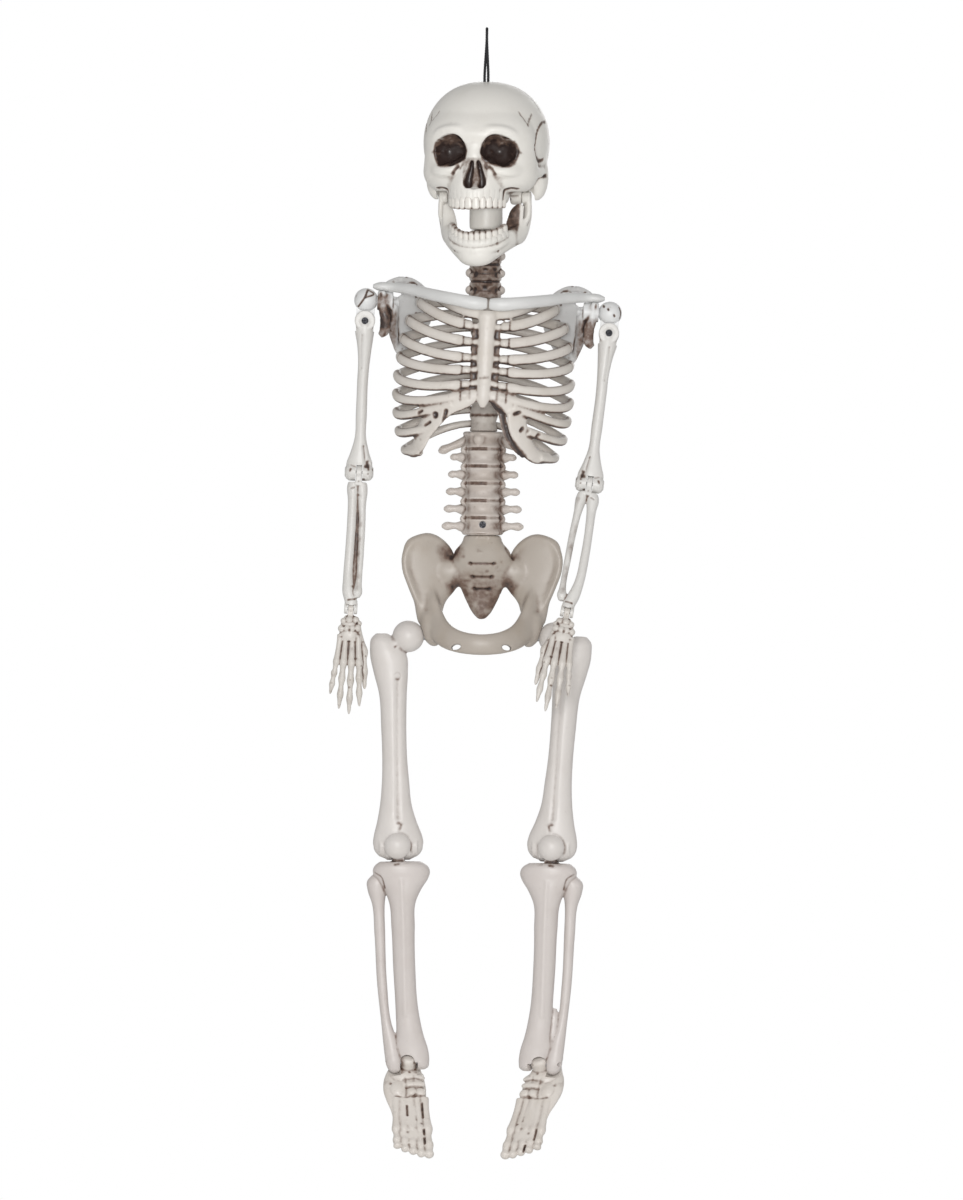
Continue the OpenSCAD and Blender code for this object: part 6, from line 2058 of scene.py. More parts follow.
def digit_rows(root: Row, knuckle: Row, tip: Row, r: float, joints: int, blunt: float, slim: float) -> list[Row]:
    """Stations of a finger or toe.

    Args:
        root: start at the wrist or instep
        knuckle: the knuckle
        tip: the end
        r: radius of the knuckle
        joints: bones past the knuckle
        blunt: 1 for a blunt end
        slim: share of the radius between knuckles

    Returns:
        Rows of x, y, z and radius.
    """
    a, b, c = (np.asarray(p, float) for p in (root, knuckle, tip))
    span = c - b
    rows: list[Row] = [(*a, 0.95 * r), (*(a + 0.2 * (b - a)), 0.82 * r), (*(a + 0.5 * (b - a)), slim * r),
                       (*(a + 0.84 * (b - a)), 0.86 * r), (*b, r)]
    for k in range(joints):
        f, g, q = (k + 0.5) / joints, (k + 1) / joints, r * (0.92 - 0.08 * k)
        if k < joints - 1:
            rows += [(*(b + f * span), slim * q), (*(b + (g - 0.05) * span), 0.9 * q), (*(b + g * span), q)]
        else:
            rows += [(*(b + f * span), (0.5 + 0.4 * blunt) * q), (*(b + (g - 0.04) * span), 0.8 * blunt * q),
                     (*c, 0.4 * blunt * q)]
    return rows


def add_digit(form: Form, rows: Sequence[Row], out: Row, flat: float = 1.0) -> None:
    """Adds a finger or toe to a form.

    Args:
        form: form to add to
        rows: rows of x, y, z and radius
        out: direction of its back
        flat: share of the radius across its back
    """
    form.sweep([p[:3] for p in rows], [out] * len(rows), [(p[3], flat * p[3]) for p in rows], 14, 1.0)


@dataclass
class Arm(Part):
    """Shoulder yoke, upper arm, forearm and hand of one side."""

    side: Side
    yoke_t: float = 6.0
    axle_len: float = 12.0
    head_d: float = 18.0
    head_t: float = 15.0
    elbow_d: float = 15.0
    elbow_w: float = 24.0
    wrist_d: float = 9.0
    wrist_w: float = 11.0
    tongue_t: float = 5.0
    pin_d: float = 2.5

    @property
    def slot(self) -> float:
        """Width of the slots that take the tongues."""
        return self.tongue_t + 2 * FIT.gap

    def build_yoke(self) -> None:
        """Builds the shoulder yoke."""
        s, drop = self.side, -STANCE.yoke_drop
        bone = Bone(s.word + "_shoulder_yoke", sided(STANCE.yoke(s), s), 0.55)
        bone.solid.globe((0, 0, 0), FIT.yoke_r)
        bone.hollow().drum(-FIT.yoke_r - 1, FIT.yoke_r + 1, 0.5 * self.head_d + FIT.gap, 0, drop, "Y")
        yoke = bone.grow(smooth=2, second=2)
        yoke.pits(4, 0.35, 0.2, 0.8, 37)
        if s is Side.RIGHT:
            yoke.groove([(-1, -4, 9), (1.6, -9.6, 2), (6.4, -7, -5.6)], 1.3, 0.6, 1.1, FRONT)
            yoke.groove([(-2, -5, 8.6), (-6.4, -6, 6), (0.6, -9, 2.6)], 1.2, 0.5, 1.0, FRONT)
        else:
            yoke.groove([(7.6, -5, 5), (8.8, -4, 0), (8.8, -4, -4)], 1.3, 0.6, 1.1, (0.4, -1, 0))
            for px, pz in ((-6, 5.6), (-2, 3), (3.4, -2)):
                yoke.groove([(px, -8, pz), (px + 0.5, -8, pz - 1)], 1.4, 0.7, 1.2, FRONT)
        bone.finish(self.paints, s.word + "_shoulder", BLADE_BONE, fine=0.5, broad=0.3)

    def build_tongue(self) -> None:
        """Builds the yoke's axle and the tongue that carries the upper arm."""
        s, drop, h, t = self.side, -STANCE.yoke_drop, 0.5 * self.head_d - 1.5, 0.5 * self.yoke_t
        bone = Bone(s.word + "_shoulder_tongue", sided(STANCE.yoke(s), s), 0.4)
        bone.solid.drum(round(FIT.boss_end, 3) - STANCE.shoulder_x - self.axle_len, 0, 0.5 * FIT.axle_d - 0.03)
        bone.solid.drum(-t, t, h, 0, drop, "Y")
        bone.solid.block((-h, -t, drop), (h, t, -2))
        bone.grow(smooth=1)
        bone.fit().drum(-50, 50, FIT.loose(FIT.screw_d), 0, drop, "Y")
        bone.bare(self.paints, s.word + "_shoulder", BLADE_BONE)

    def _upper_forms(self, bone: Bone) -> None:
        """Adds the shapes of the upper arm.

        Args:
            bone: the bone
        """
        length, r = STANCE.upper_arm_len, 0.5 * self.elbow_d
        h = 0.5 * self.head_t
        bone.solid.drum(-h + 1, h - 1, 0.5 * self.head_d - 0.4, 0, 0, "Y")
        bone.solid.ball((0, 0, 0), (0.5 * self.head_d - 0.2, h, 0.5 * self.head_d - 0.2))
        bone.solid.stack([(0, 0, 0, 0.46 * self.head_d, 6.5), (0, 0, -8, 8.2, 7), (-0.5, 0, -20, 6.4, 6.4),
                          (-0.5, 0, -34, 5, 5.2), (0, 0, -50, 4.6, 4.8), (0, 0, -78, 4.7, 4.6),
                          (0, 0, -length + 28, 5, 4.6), (0, 0, -length + 15, 8.4, 5.6),
                          (0, 0, -length + 7, 11, 6), (0, 0, -length + 1, 10.5, 5.6)], 32)
        w = 0.5 * self.elbow_w
        knob = bone.solid.within(bone.place @ shift(0, 0, -length))
        knob.drum(-w + 3, w - 3, r - 0.2)
        knob.drum(-w + 1.2, w - 1.2, r - 1.4)
        knob.drum(-w, w, r - 3.4)

    def _carve_upper(self, arm: Sculpt) -> None:
        """Carves and stains the upper arm.

        Args:
            arm: the bone's carving
        """
        length = STANCE.upper_arm_len
        arm.groove([(2, -6, -12), (2.4, -6, -24), (1.6, -5, -40)], 2.2, 0.5, 0.12, FRONT)
        arm.groove([(-3, -6, -length + 22), (-4.4, -7, -length + 13), (-5.4, -7, -length + 5)], 2.4, 0.7, 0.2, FRONT)
        arm.groove([(-7, -6, -length + 9), (-8, -7, -length + 3)], 2.4, 1.0, 0.6, FRONT)
        arm.groove([(7, -6, -length + 3), (8, -6, -length + 1)], 1.4, 0.7, 0.8, FRONT)
        arm.groove([(0, 7, -length + 16), (0, 8, -length + 8)], 4.0, 1.6, 0.7, BACK)
        arm.pits(4, 0.4, 0.3, 0.7, 41, unit((arm.spot[:, 2] * -1 - length + 14) / 8) * (arm.spot[:, 0] < -2))

    def build_upper(self) -> None:
        """Builds the upper arm."""
        s, r, h = self.side, 0.5 * self.elbow_d, 0.5 * self.head_t
        bone = Bone(s.word + "_upper_arm", sided(STANCE.arm(s), s), 0.6)
        self._upper_forms(bone)
        self._carve_upper(bone.grow(smooth=8))
        slot_t = self.yoke_t + 2 * FIT.gap
        bone.fit().block((-self.head_d, -0.5 * slot_t, -0.5 * self.head_d - FIT.gap),
                         (self.head_d, 0.5 * slot_t, 1.5 * self.head_d))
        bone.fit().drum(-self.head_t, self.head_t, FIT.tight(FIT.screw_d), 0, 0, "Y")
        bone.fit().drum(-h - 2.6, -h + 2.4, 0.5 * FIT.screw_head_d + 0.3, 0, 0, "Y")
        elbow = STANCE.elbow(s)
        bone.fit(elbow).drum(-0.5 * self.slot, 0.5 * self.slot, r + 1)
        bone.fit(elbow).block((-0.5 * self.slot, -r - 1, -r - 1), (0.5 * self.slot, r + 1, 0))
        bone.fit(elbow).drum(-self.elbow_w, self.elbow_w, FIT.tight(self.pin_d))
        bone.finish(self.paints, s.word + "_upper_arm", ARM_BONE, fine=0.55, broad=0.3)

    @staticmethod
    def _twisted(rows: Sequence[Row], length: float, twist: float) -> list[Row]:
        """Turns a forearm bone's stations towards the wrist.

        Args:
            rows: rows of x, y, z, half width and half depth
            length: length of the forearm
            twist: turn at the wrist in degrees

        Returns:
            The turned rows.
        """
        out = []
        for x, y, z, a, b in rows:
            w = math.radians(twist * z / length)
            out.append((x * math.cos(w) + y * math.sin(w), y * math.cos(w) - x * math.sin(w), z, a, b))
        return out

    def _forearm_forms(self, bone: Bone) -> None:
        """Adds the shapes of the forearm.

        Args:
            bone: the bone
        """
        s, n, r, q = self.side, STANCE.forearm_len, 0.5 * self.elbow_d, 0.5 * self.wrist_d
        twist, half = s.pick(STANCE.forearm_twist), FIT.inner(self.tongue_t)
        radius = [(4, 0, -r - 1.2, 4.6, 5), (4.6, 0, -r - 4, 5.2, 5.4), (5.4, 0, -24, 4, 4.2),
                  (6.2, -0.6, -40, 3.6, 3.8), (6.6, -1, -0.55 * n, 3.7, 3.8), (5.4, -1, -n + 26, 4.2, 4.2)]
        if s is Side.RIGHT:
            radius = [(4, 0, -r - 1.2, 4.6, 5), (4.2, 0, -r - 4, 5, 5.4), (4, 0, -24, 4, 4.4),
                      (3.6, -0.6, -40, 3.9, 4), (3.6, -1, -0.55 * n, 3.9, 4), (3.6, -1, -n + 26, 4.4, 4.4)]
        wrist = [(2.4, 0, -n + 13, 5.4, 4.8), (0, 0, -n + 5, 5.4, 4.6), (0, 0, -n + 1, 5.2, 4.2)]
        ulna = [(-3.6, 0, -r - 1.2, 4.6, 5.4), (-4.4, 0.4, -r - 5, 4.8, 5.4), (-5.6, 1, -26, 3.4, 4),
                (-6.6, 1.6, -44, 3, 3.4), (-7, 1.8, -0.6 * n, 2.8, 3), (-7, 1.4, -n + 20, 3, 3.2),
                (-6.6, 1, -n + 13, 4, 4), (-6.4, 1, -n + 9.5, 2.4, 2.6)]
        if s is Side.RIGHT:
            ulna = [(0.72 * x, y, z, a, b) for x, y, z, a, b in ulna]
            web = [(-1, 1, -18, 3, 2), (-1.4, 1.4, -30, 3, 1.8), (-1.6, 1.6, -0.55 * n, 3, 1.8),
                   (-2, 1.4, -n + 20, 3, 2)]
            bone.solid.stack(self._twisted(web, n, twist), 16)
        bone.solid.drum(-half, half, r - 0.8)
        bone.solid.block((-half, -r + 2, -r - 4), (half, r - 2, 0))
        bone.solid.stack([*self._twisted(radius, n, twist), *wrist], 24)
        bone.solid.stack(self._twisted(ulna, n, twist), 20)
        bone.solid.drum(-0.5 * self.wrist_w, 0.5 * self.wrist_w, q - 0.2, 0, -n)

    def _carve_forearm(self, arm: Sculpt) -> None:
        """Carves and stains the forearm.

        Args:
            arm: the bone's carving
        """
        s, n, r = self.side, STANCE.forearm_len, 0.5 * self.elbow_d
        arm.pits(4, 0.35, 0.22, 0.6, 43, unit(1 - np.abs(arm.spot[:, 0]) / 5))
        strip = (-3.2, 3.4) if s is Side.RIGHT else (-6, 3.4)
        arm.paint_by_place(lambda p: (0.2 + 0.6 * lattice(p, 4.0, 44)) * unit(1.3 - np.abs(p[:, 0] - strip[0]) / strip[1])
                  * (p[:, 2] < -14) * (p[:, 2] > -n + 14) * unit((lattice(p, 14.0, 45) - 0.3) * 4))
        arm.groove([(3, -6, -r - 6), (6, -6, -r - 7)], 1.4, 0.5, 0.4, FRONT)
        arm.groove([(-3, -6, -n + 8), (3, -6, -n + 7)], 1.4, 0.5, 0.7, FRONT)

    def build_forearm(self) -> None:
        """Builds the forearm."""
        s, n, q = self.side, STANCE.forearm_len, 0.5 * self.wrist_d
        bone = Bone(s.word + "_forearm", sided(STANCE.forearm(s), s), 0.55)
        self._forearm_forms(bone)
        self._carve_forearm(bone.grow(smooth=5))
        bone.fit().drum(-self.elbow_w, self.elbow_w, FIT.loose(self.pin_d))
        low = sided(STANCE.forearm(s), s) @ shift(0, 0, -n)
        bone.fit(low).drum(-0.5 * self.slot, 0.5 * self.slot, q + 0.6)
        bone.fit(low).block((-0.5 * self.slot, -q - 2, -q - 1), (0.5 * self.slot, q + 2, 0))
        bone.fit(low).drum(-self.wrist_w, self.wrist_w, FIT.tight(self.pin_d))
        bone.finish(self.paints, s.word + "_forearm", ARM_BONE, fine=0.45, broad=0.2)

    def build_hand(self) -> None:
        """Builds the hand."""
        s, q, half = self.side, 0.5 * self.wrist_d, FIT.inner(self.tongue_t)
        bone = Bone(s.word + "_hand", sided(STANCE.hand(s), s), 0.45)
        form = bone.solid
        form.drum(-half, half, q - 0.5)
        form.block((-half, -q + 1.4, -q - 4), (half, q - 1.4, 0))
        form.stack([(0, 0, -q - 1.2, 4.2, 3.2), (0, 0, -9, 6.4, 3.6), (0, 0, -14, 7.8, 4.0), (0, 0, -18, 7.8, 3.8),
                    (0, 0, -22, 8.6, 3.8), (0, 0, -27, 8.2, 3.0)], 24, 1.2)
        for x, y, z, r in ((-4.6, -1.6, -9.4, 3.2), (0.6, -2, -9.6, 3.3), (5.2, -1.4, -10.6, 2.8),
                           (-6.4, -1.2, -16, 3.4), (-2.2, -2.2, -16.6, 3.0), (2.2, -2.2, -16.8, 3.0),
                           (6.6, -1.2, -17, 3.2), (-7.4, -0.6, -12, 2.6)):
            form.ball((x, y, z), (r, 0.85 * r, r))
        roots, knuckles = (-7.5, -2.6, 2.6, 7.2), (-9.6, -3.2, 3.4, 9.4)
        tips, ends = (-12, -3.6, 5, 13), (-81, -88, -84, -72)
        for i in range(4):
            rows = digit_rows((roots[i], 0, -22), (knuckles[i], -1.2, -45), (tips[i], 4, ends[i]),
                              3.0 if i == 3 else 3.4, 3, 0.55, 0.74)
            add_digit(form, rows, FRONT, 0.92)
        add_digit(form, digit_rows((-6, 0, -14), (-13, 2, -34), (-15.5, 5, -66), 3.4, 2, 0.55, 0.74), FRONT, 0.92)
        form.stack([(0, 0.4, -24, 8.6, 1.7), (0, 0, -34, 9.4, 1.4), (0, -0.6, -46, 9.4, 1.0)], 20)
        hand = bone.grow(smooth=3)
        hand.pits(3, 0.3, 0.24, 0.5, 47)
        hand.paint_by_place(lambda p: (0.06 + 0.5 * unit(lattice(p, 7.0, 48) - 0.3)) * (p[:, 2] < -6))
        bone.fit().drum(-self.wrist_w, self.wrist_w, FIT.loose(self.pin_d))
        bone.finish(self.paints, s.word + "_hand", HAND_BONE, fine=0.45, broad=0.3)

    def build(self) -> None:
        """Builds the arm."""
        self.build_yoke()
        self.build_tongue()
        self.build_upper()
        self.build_forearm()
        self.build_hand()


@dataclass
class Leg(Part):
    """Thigh, kneecap, shin and foot of one side."""

    side: Side
    knee_d: float = 24.0
    knee_w: float = 40.0
    kneecap_d: float = 22.0
    tongue_t: float = 10.0
    ankle_d: float = 14.0
    ankle_w: float = 33.0
    ankle_tongue: float = 14.0
    ankle_arch: float = 3.0
    ankle_swing: float = 11.0
    foot_share: float = 88 / 92
    pin_d: float = 4.0

    def _thigh_forms(self, bone: Bone) -> None:
        """Adds the shapes of the thigh.

        Args:
            bone: the bone
        """
        s, n, r, k = self.side, STANCE.thigh_len, 0.5 * self.knee_d, STANCE.knee_out
        form = bone.solid
        form.globe((0, 0, 0), 0.5 * FIT.hip_ball_d, 64)
        form.sweep([(3, 0, -1), (9, 0, -6), (16, 0, -13)], [BACK] * 3, [(6, 6), (7.4, 8), (10, 9)])
        form.stack([(22, 1, 2.5, 5, 4), (21.5, 1, -1, 9, 7.5), (18.5, 0, -9, 13.6, 9.5), (16.5, 0, -16, 15.4, 10.5),
                    (14.6, 0, -30, 14.4, 10.5), (12.8, 0, -47, 11.8, 10), (12, -1, -76, 10.6, 9.6),
                    (11, -1, -0.6 * n, 10.6, 9.4), (10.4, -1, -n + 55, 11.4, 9.4), (10, 0, -n + 34, 13.4, 10),
                    (9, 0, -n + 19, 17, 11), (8.2, 0, -n + 9, 20.2, 11.6), (k, 0.2, -n + 2, 21.2, 11.2),
                    (k, 0.2, -n - 3.6, 20, 10.4), (k, 0.1, -n - 7.6, 17, 8.4), (k, 0, -n - 10.4, 12, 5.4)], 48)
        knob = form.within(bone.place @ shift(k, 0, -n) @ turn("Y", s.pick(STANCE.shin_lean)))
        w = 0.5 * self.knee_w - 1
        knob.drum(-w + 9, w - 9, r - 0.2)
        knob.drum(-w + 3, w - 3, r - 3)
        knob.drum(-w, w, r - 8.6)

    def _carve_thigh(self, thigh: Sculpt) -> None:
        """Carves and stains the thigh.

        Args:
            thigh: the bone's carving
        """
        s, n, k = self.side, STANCE.thigh_len, STANCE.knee_out
        thigh.groove([(9, -12, -36), (9.2, -12, -60), (9, -12, -100), (8.6, -12, -n + 24)], 4.4, 0.9, 0.16, FRONT)
        swirl = [(9 + 2.6 * math.cos(a), -12, -33 + 3 * math.sin(a)) for a in np.linspace(0.2, 5.4, 12)]
        thigh.groove(swirl, 1.2, 0.3, 0.3, FRONT)
        thigh.groove([(6, -12, -n + 17), (7, -12, -n + 14)], 2.0, 0.8, 0.35, FRONT)
        thigh.groove([(10.4, -8, -8), (11.5, -9, -9)], 1.6, 0.5, 0.6, FRONT)
        thigh.groove([(12, 12, -40), (11, 12, -90), (10, 12, -n + 40)], 2.0, -0.7, 0.0, BACK)
        thigh.groove([(k, 12, -n + 16), (k, 12, -n + 2)], 5.0, 1.6, 0.4, BACK)
        ring = [(k + 1 + 11.6 * math.cos(a), -12, -n + 11.6 * math.sin(a)) for a in np.linspace(-0.4, 1.5, 10)]
        if s is Side.RIGHT:
            ring = [(2 * k + 2 - x, y, z) for x, y, z in ring]
        thigh.groove(ring, 1.3, 0.4, 0.35, FRONT)
        thigh.pits(4, 0.3, 0.2, 0.6, 53, unit(1 - np.linalg.norm((thigh.spot - np.array((9, -11, -n + 17)))
                                                                      / np.array((9, 6, 6)), axis=1)) * 2)

    def build_thigh(self) -> None:
        """Builds the thigh."""
        s, r = self.side, 0.5 * self.knee_d
        bone = Bone(s.word + "_thigh", sided(STANCE.thigh(s), s), 0.8)
        self._thigh_forms(bone)
        self._carve_thigh(bone.grow(smooth=12))
        place, slot = STANCE.shin(s), 0.5 * self.tongue_t + FIT.gap
        bone.fit(place).drum(-slot, slot, r + 0.6)
        bone.fit(place).block((-slot, -r - 1, -r - 1), (slot, r + 1, 0))
        bone.fit(place).block((-slot, 0, -r), (slot, r + 2, r))
        bone.fit(place).drum(-self.knee_w, self.knee_w, FIT.tight(self.pin_d))
        bone.fit(sided(STANCE.hip(s), s)).drum(-FIT.hip_ball_d, 0.2 * FIT.hip_ball_d, FIT.loose(FIT.hip_pin_d))
        bone.finish(self.paints, s.word + "_thigh", LEG_BONE, fine=0.35, broad=0.12)

    def build_kneecap(self) -> None:
        """Builds the kneecap."""
        s, d = self.side, self.kneecap_d
        place = sided(STANCE.thigh(s), s) @ shift(STANCE.knee_out + 1, -0.5 * self.knee_d - 0.1, -STANCE.thigh_len)
        bone = Bone(s.word + "_kneecap", place @ turn("X", 90), 0.5)
        bone.solid.globe((0, 0, -0.24 * d), 0.555 * d)
        cap = bone.grow(smooth=2)
        cap.lumps(size=8, height=0.3, seed=59)
        bone.fit().block((-d, -d, -2 * d), (d, d, 0.02))
        bone.finish(self.paints, s.word + "_thigh", LEG_BONE, fine=0.4, broad=0.2)

    def _shin_forms(self, bone: Bone) -> None:
        """Adds the shapes of the shin.

        Args:
            bone: the bone
        """
        s, n, r, half = self.side, STANCE.shin_len, 0.5 * self.knee_d, FIT.inner(self.tongue_t)
        form, top = bone.solid, -0.5 * self.knee_d - 1
        form.drum(-half, half, r - 0.8)
        form.block((-half, -r + 3, -r - 5), (half, r - 3, 0))
        form.stack([(-1.5, 0, top, 17, 10), (-2, 0, top - 2.5, 21, 12.6), (-2.4, 0, top - 8, 24, 13.5),
                    (-3, 0, top - 14, 22, 13), (-3.4, -1, top - 22, 16.4, 12), (-3, -2, top - 32, 11.8, 10.5),
                    (-3.4, -2, -0.38 * n, 9.8, 9.6), (-4, -1, -0.55 * n, 9.3, 9), (-6.4, 0, -n + 40, 9.8, 8.6),
                    (-8.4, 1, -n + 22, 11.6, 8.8), (-9.4, 2, -n + 12, 13.8, 8.6), (-11.5, 2, -n + 5, 12.8, 8.2),
                    (-14.6, 2, -n - 1, 9.6, 7.2), (-17, 2, -n - 4.4, 6, 5), (-17.6, 2, -n - 6, 2.8, 2.6)], 48)
        form.stack([(17, 3, top - 11, 4.6, 5.4), (18, 3, top - 15, 7.6, 7.6), (18, 3, top - 24, 7.8, 7.8),
                    (17, 3, top - 34, 5.6, 6), (16, 3, -0.4 * n, 4.6, 4.8), (14.4, 3, -0.64 * n, 4.2, 4.4),
                    (11, 3, -n + 32, 4.4, 4.6), (7.6, 2.5, -n + 16, 6.4, 6), (6, 2, -n + 5, 6.8, 6.4),
                    (5, 2, -n - 3, 6.4, 6), (4.4, 2, -n - 7, 4.4, 4), (4.2, 2, -n - 8.6, 2, 1.8)], 32)
        if s is Side.LEFT:
            form.stack([(5.4, 2.5, -n + 47, 1.2, 1.5), (5, 2.5, -n + 43, 3, 3.2), (4.4, 2.4, -n + 30, 4.4, 4.6),
                        (2, 2, -n + 14, 5, 5)], 24)

    def _carve_shin(self, shin: Sculpt) -> None:
        """Carves and stains the shin.

        Args:
            shin: the bone's carving
        """
        s, n, top = self.side, STANCE.shin_len, -0.5 * self.knee_d - 1
        shin.groove([(21, -8, top - 9), (15, -9, top - 13), (12.4, -9, top - 22)], 1.3, 0.6, 0.5, (0.2, -1, 0))
        shin.pits(3, 0.5, 0.4, 0.55, 57, unit((shin.spot[:, 2] - top + 6) / 3) * (np.abs(shin.spot[:, 0] + 2) < 16))
        shin.groove([(-2, -14, top - 16), (-3, -12, -60), (-4, -10, -n + 40)], 3.0, -0.6, 0.0, FRONT)
        shin.groove([(-10, -6, top - 0.4), (0, -8, top - 0.2), (9, -6, top - 0.4)], 2.6, 0.8, 0.5)
        shin.groove([(-18, -2, top - 1.4), (-12, -3, top - 1.0)], 2.0, 0.6, 0.4)
        dirt = 0.5 if s is Side.RIGHT else 1.1
        shin.paint_by_place(lambda p: dirt * lattice(p, 3.0, 58) * unit((p[:, 2] - top + 4) / 3)
                   * unit(1.2 - np.abs(p[:, 0] + 1) / 16))
        shin.paint_by_place(lambda p: 0.5 * unit((-n + 5 - p[:, 2]) / 8) * unit(1 - np.abs(p[:, 0] + 7) / 9))

    def build_shin(self) -> None:
        """Builds the shin."""
        s = self.side
        bone = Bone(s.word + "_shin", sided(STANCE.shin(s), s), 0.75)
        self._shin_forms(bone)
        self._carve_shin(bone.grow(smooth=7))
        bone.fit(STANCE.shin(s)).drum(-self.knee_w, self.knee_w, FIT.loose(self.pin_d))
        place, q, slot = STANCE.ankle(s), 0.5 * self.ankle_d, 0.5 * self.ankle_tongue + FIT.gap
        bone.fit(place).ball((0, 0, 0), (slot, q + self.ankle_arch, q + self.ankle_arch), segments=48, square=2.4)
        bone.fit(place).block((-slot, -3 * q, -3 * q), (slot, 3 * q, 0))
        bone.fit(place).drum(-self.ankle_w, self.ankle_w, FIT.tight(self.pin_d))
        bone.finish(self.paints, s.word + "_shin", SHIN_BONE, fine=0.35, broad=0.2)

    def _foot_forms(self, bone: Bone) -> None:
        """Adds the shapes of the foot.

        Args:
            bone: the bone
        """
        half, q, f = 0.5 * self.ankle_tongue, 0.5 * self.ankle_d, self.foot_share
        form = bone.solid
        form.stack([(0, 0, q - 0.9, 4.6, 2.8), (0, 0, q - 1.8, 6.0, 4.4), (0, 0, q - 4, 6.8, 5.6),
                    (0, 0, 0, half - 0.1, 6.1), (0, -0.4, -q, half - 0.1, 6.6), (0, -1, -q - 5, half - 0.1, 8)],
                   32)
        keel = [(1, 27, -13), (1, 24, -13.5), (1.4, 14, -14), (2, 4, -14.5), (3, -6, -14), (3.6, -14, -13.5),
                (3.6, -18, -13.5), (3, -26, -13.5), (1.4, -38, -14), (0.4, -56, -15), (0, -78 * f, -17)]
        form.sweep(keel, [UP] * 11, [(4, 4.6), (8.6, 8.6), (10.6, 8.6), (13.4, 7.8), (16.6, 8), (17.8, 7), (18, 6.8),
                                     (17.2, 5.4), (15.4, 3.8), (14.2, 3.2), (13, 2.6)], 28)
        for x, y, z, a, b, c in ((1, -7, -9.4, 14, 9.6, 6.4), (-3, -11, -7.4, 10.6, 4.4, 3.4),
                                 (-4, -17.4, -8, 9.6, 4, 3.2), (10, -20, -9.8, 6.4, 8, 3.6),
                                 (-9, -25, -9.4, 4.6, 4.6, 3.2), (-1.6, -25, -9, 4.4, 4.4, 3.2)):
            form.ball((x, y, z), (a, b, c))
        ends = (-92, -91, -88, -85, -81)
        for i in range(5):
            x = i - 2
            rows = digit_rows((x * 5.8, -29, -12), (x * 6.5, -62 * f, -15.5), (x * 6.5, ends[i] * f, -18),
                              4.6 if i == 0 else 4.0, 2, 1.0, 0.74)
            add_digit(form, rows, UP)

    def _carve_foot(self, foot: Sculpt) -> None:
        """Carves and stains the foot.

        Args:
            foot: the bone's carving
        """
        s = self.side
        foot.groove([(-13, -13.6, -8), (-4, -13.4, -4), (5, -14, -6)], 1.6, 0.6, 0.2, (0, -0.2, 1))
        foot.groove([(-14, -21.4, -8), (-4, -21, -5), (3, -21.6, -6)], 1.6, 0.6, 0.2, (0, -0.2, 1))
        foot.groove([(3.4, -12, -6), (3, -20, -6), (3.4, -29, -8)], 1.4, 0.5, 0.12, UP)
        foot.groove([(-14, -29.6, -9), (-3, -29.4, -8), (4, -30, -8), (12, -28.6, -9)], 1.6, 0.6, 0.2, UP)
        foot.pits(4, 0.3, 0.2, 0.5, 61)
        brown = 0.7 if s is Side.RIGHT else 0.1
        foot.paint_by_place(lambda p: 0.1 + brown * unit((p[:, 2] + 9) / 6) * unit(np.abs(p[:, 0]) / 4 - 0.5)
                   * (p[:, 1] > -9))
        slots = ((3.2, -38, -48, 1.5), (-9.6, -36, -50, 1.2), (-9.8, -62, -66, 1.4), (-9.8, -70, -76, 1.4))
        for x, near, end, ink in slots if s is Side.RIGHT else ((9.8, -60, -70, 1.0), (3.2, -76, -82, 1.2)):
            foot.groove([(x, near, -13), (x, end, -14)], 1.3, 0.7, 0.8 * ink, UP)

    def build_foot(self) -> None:
        """Builds the foot."""
        s, half = self.side, 0.5 * self.ankle_tongue
        bone = Bone(s.word + "_foot", sided(STANCE.foot(s), s), 0.6)
        self._foot_forms(bone)
        self._carve_foot(bone.grow(smooth=3))
        bone.fit().drum(-self.ankle_w, self.ankle_w, FIT.loose(self.pin_d))
        for side in BOTH:
            bone.fit().drum(side * half, side * self.ankle_w, self.ankle_swing)
        bone.finish(self.paints, s.word + "_foot", FOOT_BONE, fine=0.28, broad=0.12)

    def build(self) -> None:
        """Builds the leg."""
        self.build_thigh()
        self.build_kneecap()
        self.build_shin()
        self.build_foot()


@dataclass
class Fasteners(Part):
    """Screws and pins, which keep their solids and get a steel finish, the screws a near-black one that is painted
    shade of their counterbores.
    """

    words: tuple[str, ...] = ("_screw", "_pin")

    def build(self) -> None:
        """Dresses the screws and pins."""
        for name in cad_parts:
            if name.endswith(self.words) and "jaw" not in name:
                # the screws get the near-black steel as painted shade of their counterbores
                self.paints.repaint(name, SHADED_SCREW_STEEL if "screw" in name else STEEL)
                LOG.info("%s: steel", name)


# Studio


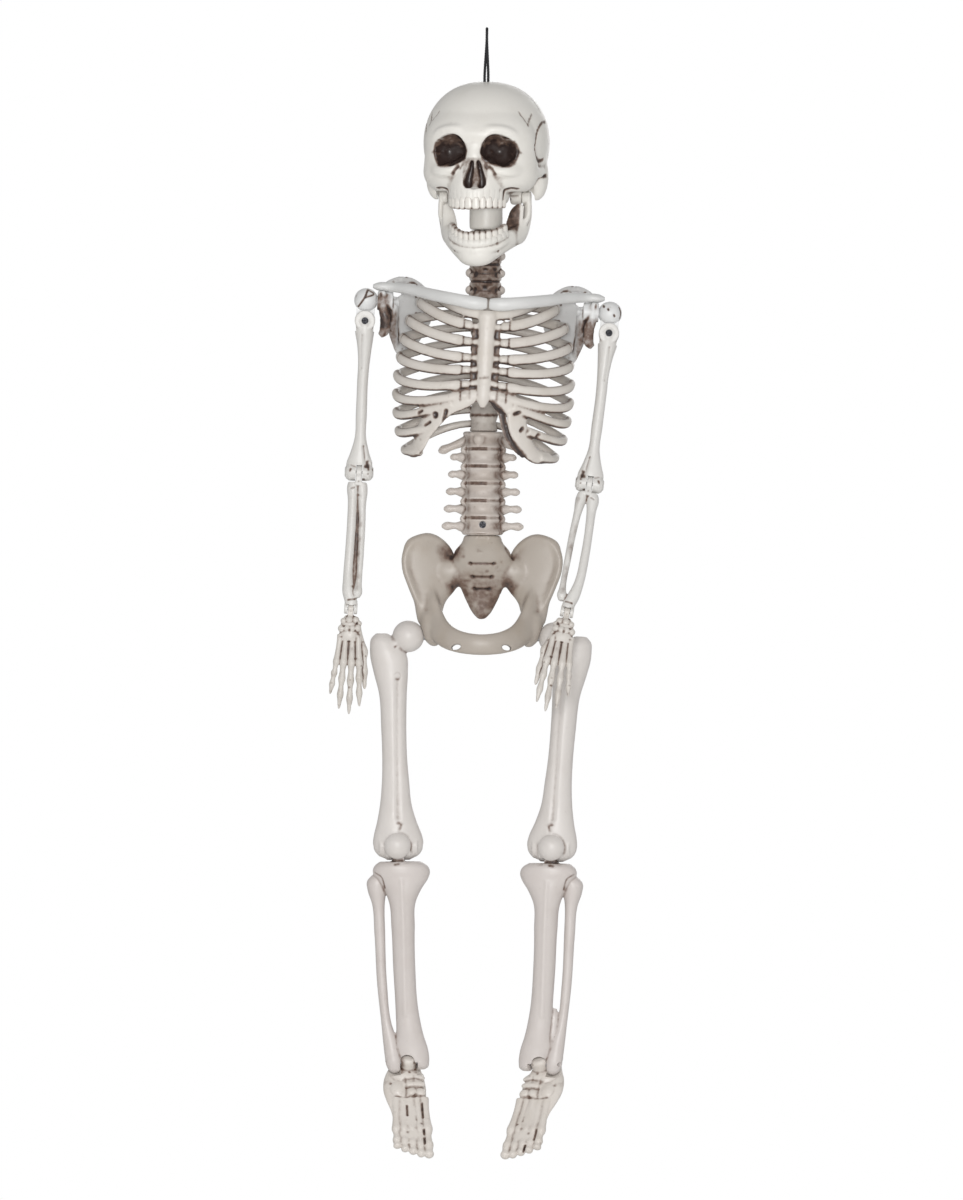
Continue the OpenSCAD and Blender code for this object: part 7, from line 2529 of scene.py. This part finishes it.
@dataclass
class Studio:
    """Camera of the photo, soft lamps, white surroundings and a pale floor."""

    distance: float = 30.0
    scale: float = 0.835 * MM
    middle: tuple[float, float, float] = (0.000835, 0.0, -0.47595)
    roll: float = -0.65
    sensor: float = 36.0
    floor_z: float = -1.5
    world: float = 0.50

    def camera(self) -> None:
        """Sets the camera at the photo's angle."""
        data = bpy.data.cameras.new("camera")
        data.sensor_fit = "VERTICAL"
        data.sensor_height = self.sensor
        data.lens = self.sensor * self.distance / (PHOTO_H * self.scale)
        data.clip_end = 90.0
        camera = bpy.data.objects.new("camera", data)
        bpy.context.scene.collection.objects.link(camera)
        x, y, z = self.middle
        camera.location = (x, y - self.distance, z)
        camera.rotation_euler = (0.5 * math.pi, math.radians(self.roll), 0.0)
        bpy.context.scene.camera = camera

    def lamp(self, name: str, place: Row, size: float, power: float) -> None:
        """Adds an area lamp that faces the figure.

        Args:
            name: name of the lamp
            place: where it hangs
            size: width of the lamp
            power: its power
        """
        data = bpy.data.lights.new(name, "AREA")
        data.size = size
        data.energy = power
        lamp = bpy.data.objects.new(name, data)
        bpy.context.scene.collection.objects.link(lamp)
        lamp.location = place
        way = Vector(self.middle) - Vector(place)
        lamp.rotation_euler = way.to_track_quat("-Z", "Y").to_euler()

    def surroundings(self) -> None:
        """Sets the white world and the floor."""
        world = bpy.data.worlds.new("studio")
        bpy.context.scene.world = world
        world.use_nodes = True
        nodes = Nodes(world.node_tree)
        rays = nodes.add("ShaderNodeLightPath").outputs
        seen = nodes.math("MAXIMUM", rays["Is Camera Ray"], rays["Is Transmission Ray"])
        level = nodes.add("ShaderNodeMapRange")
        for name, value in (("To Min", self.world), ("To Max", 1.0), ("Value", seen)):
            nodes.feed(level.inputs[name], value)
        back = nodes.tree.nodes["Background"].inputs
        nodes.feed(back["Color"], (1.0, 1.0, 1.0))
        nodes.feed(back["Strength"], level.outputs[0])
        bm = bmesh.new()
        bmesh.ops.create_grid(bm, x_segments=8, y_segments=8, size=2.2, matrix=shift(0, 0, self.floor_z))
        mesh = bpy.data.meshes.new("floor")
        bm.to_mesh(mesh)
        bm.free()
        floor = bpy.data.objects.new("floor", mesh)
        bpy.context.scene.collection.objects.link(floor)
        material, nodes, shader = blank("pale_floor")
        cloud = nodes.noise(nodes.place(), 3.0, 2.0)
        nodes.feed(shader.inputs["Base Color"], nodes.mix(cloud, (0.90, 0.90, 0.89), (0.94, 0.94, 0.93)))
        nodes.feed(shader.inputs["Roughness"], 0.8)
        mesh.materials.append(material)

    def build(self) -> None:
        """Builds the studio."""
        bpy.context.scene.view_settings.view_transform = "Standard"
        self.camera()
        self.surroundings()
        self.lamp("key", (-0.8, -3.0, 0.6), 1.3, 11.0)
        self.lamp("fill", (1.3, -2.8, -0.1), 1.6, 6.0)
        self.lamp("front", (0.0, -3.3, -0.22), 0.5, 46.0)
        self.lamp("back", (0.6, 3.0, 0.3), 1.6, 16.0)


def main() -> None:
    """Builds the studio and the figure in order."""
    logging.basicConfig(level=logging.INFO, format="%(name)s: %(message)s")
    Studio().build()
    paints = Paints()
    limbs = [limb(paints, s) for limb in (Arm, Leg) for s in Side]
    for part in (HangingCord(paints), Head(paints), Spine(paints), Chest(paints), *limbs, Fasteners(paints)):
        part.build()
        LOG.info("%s is built", type(part).__name__)


if __name__ == "__main__":
    main()
    bpy.context.view_layer.update()
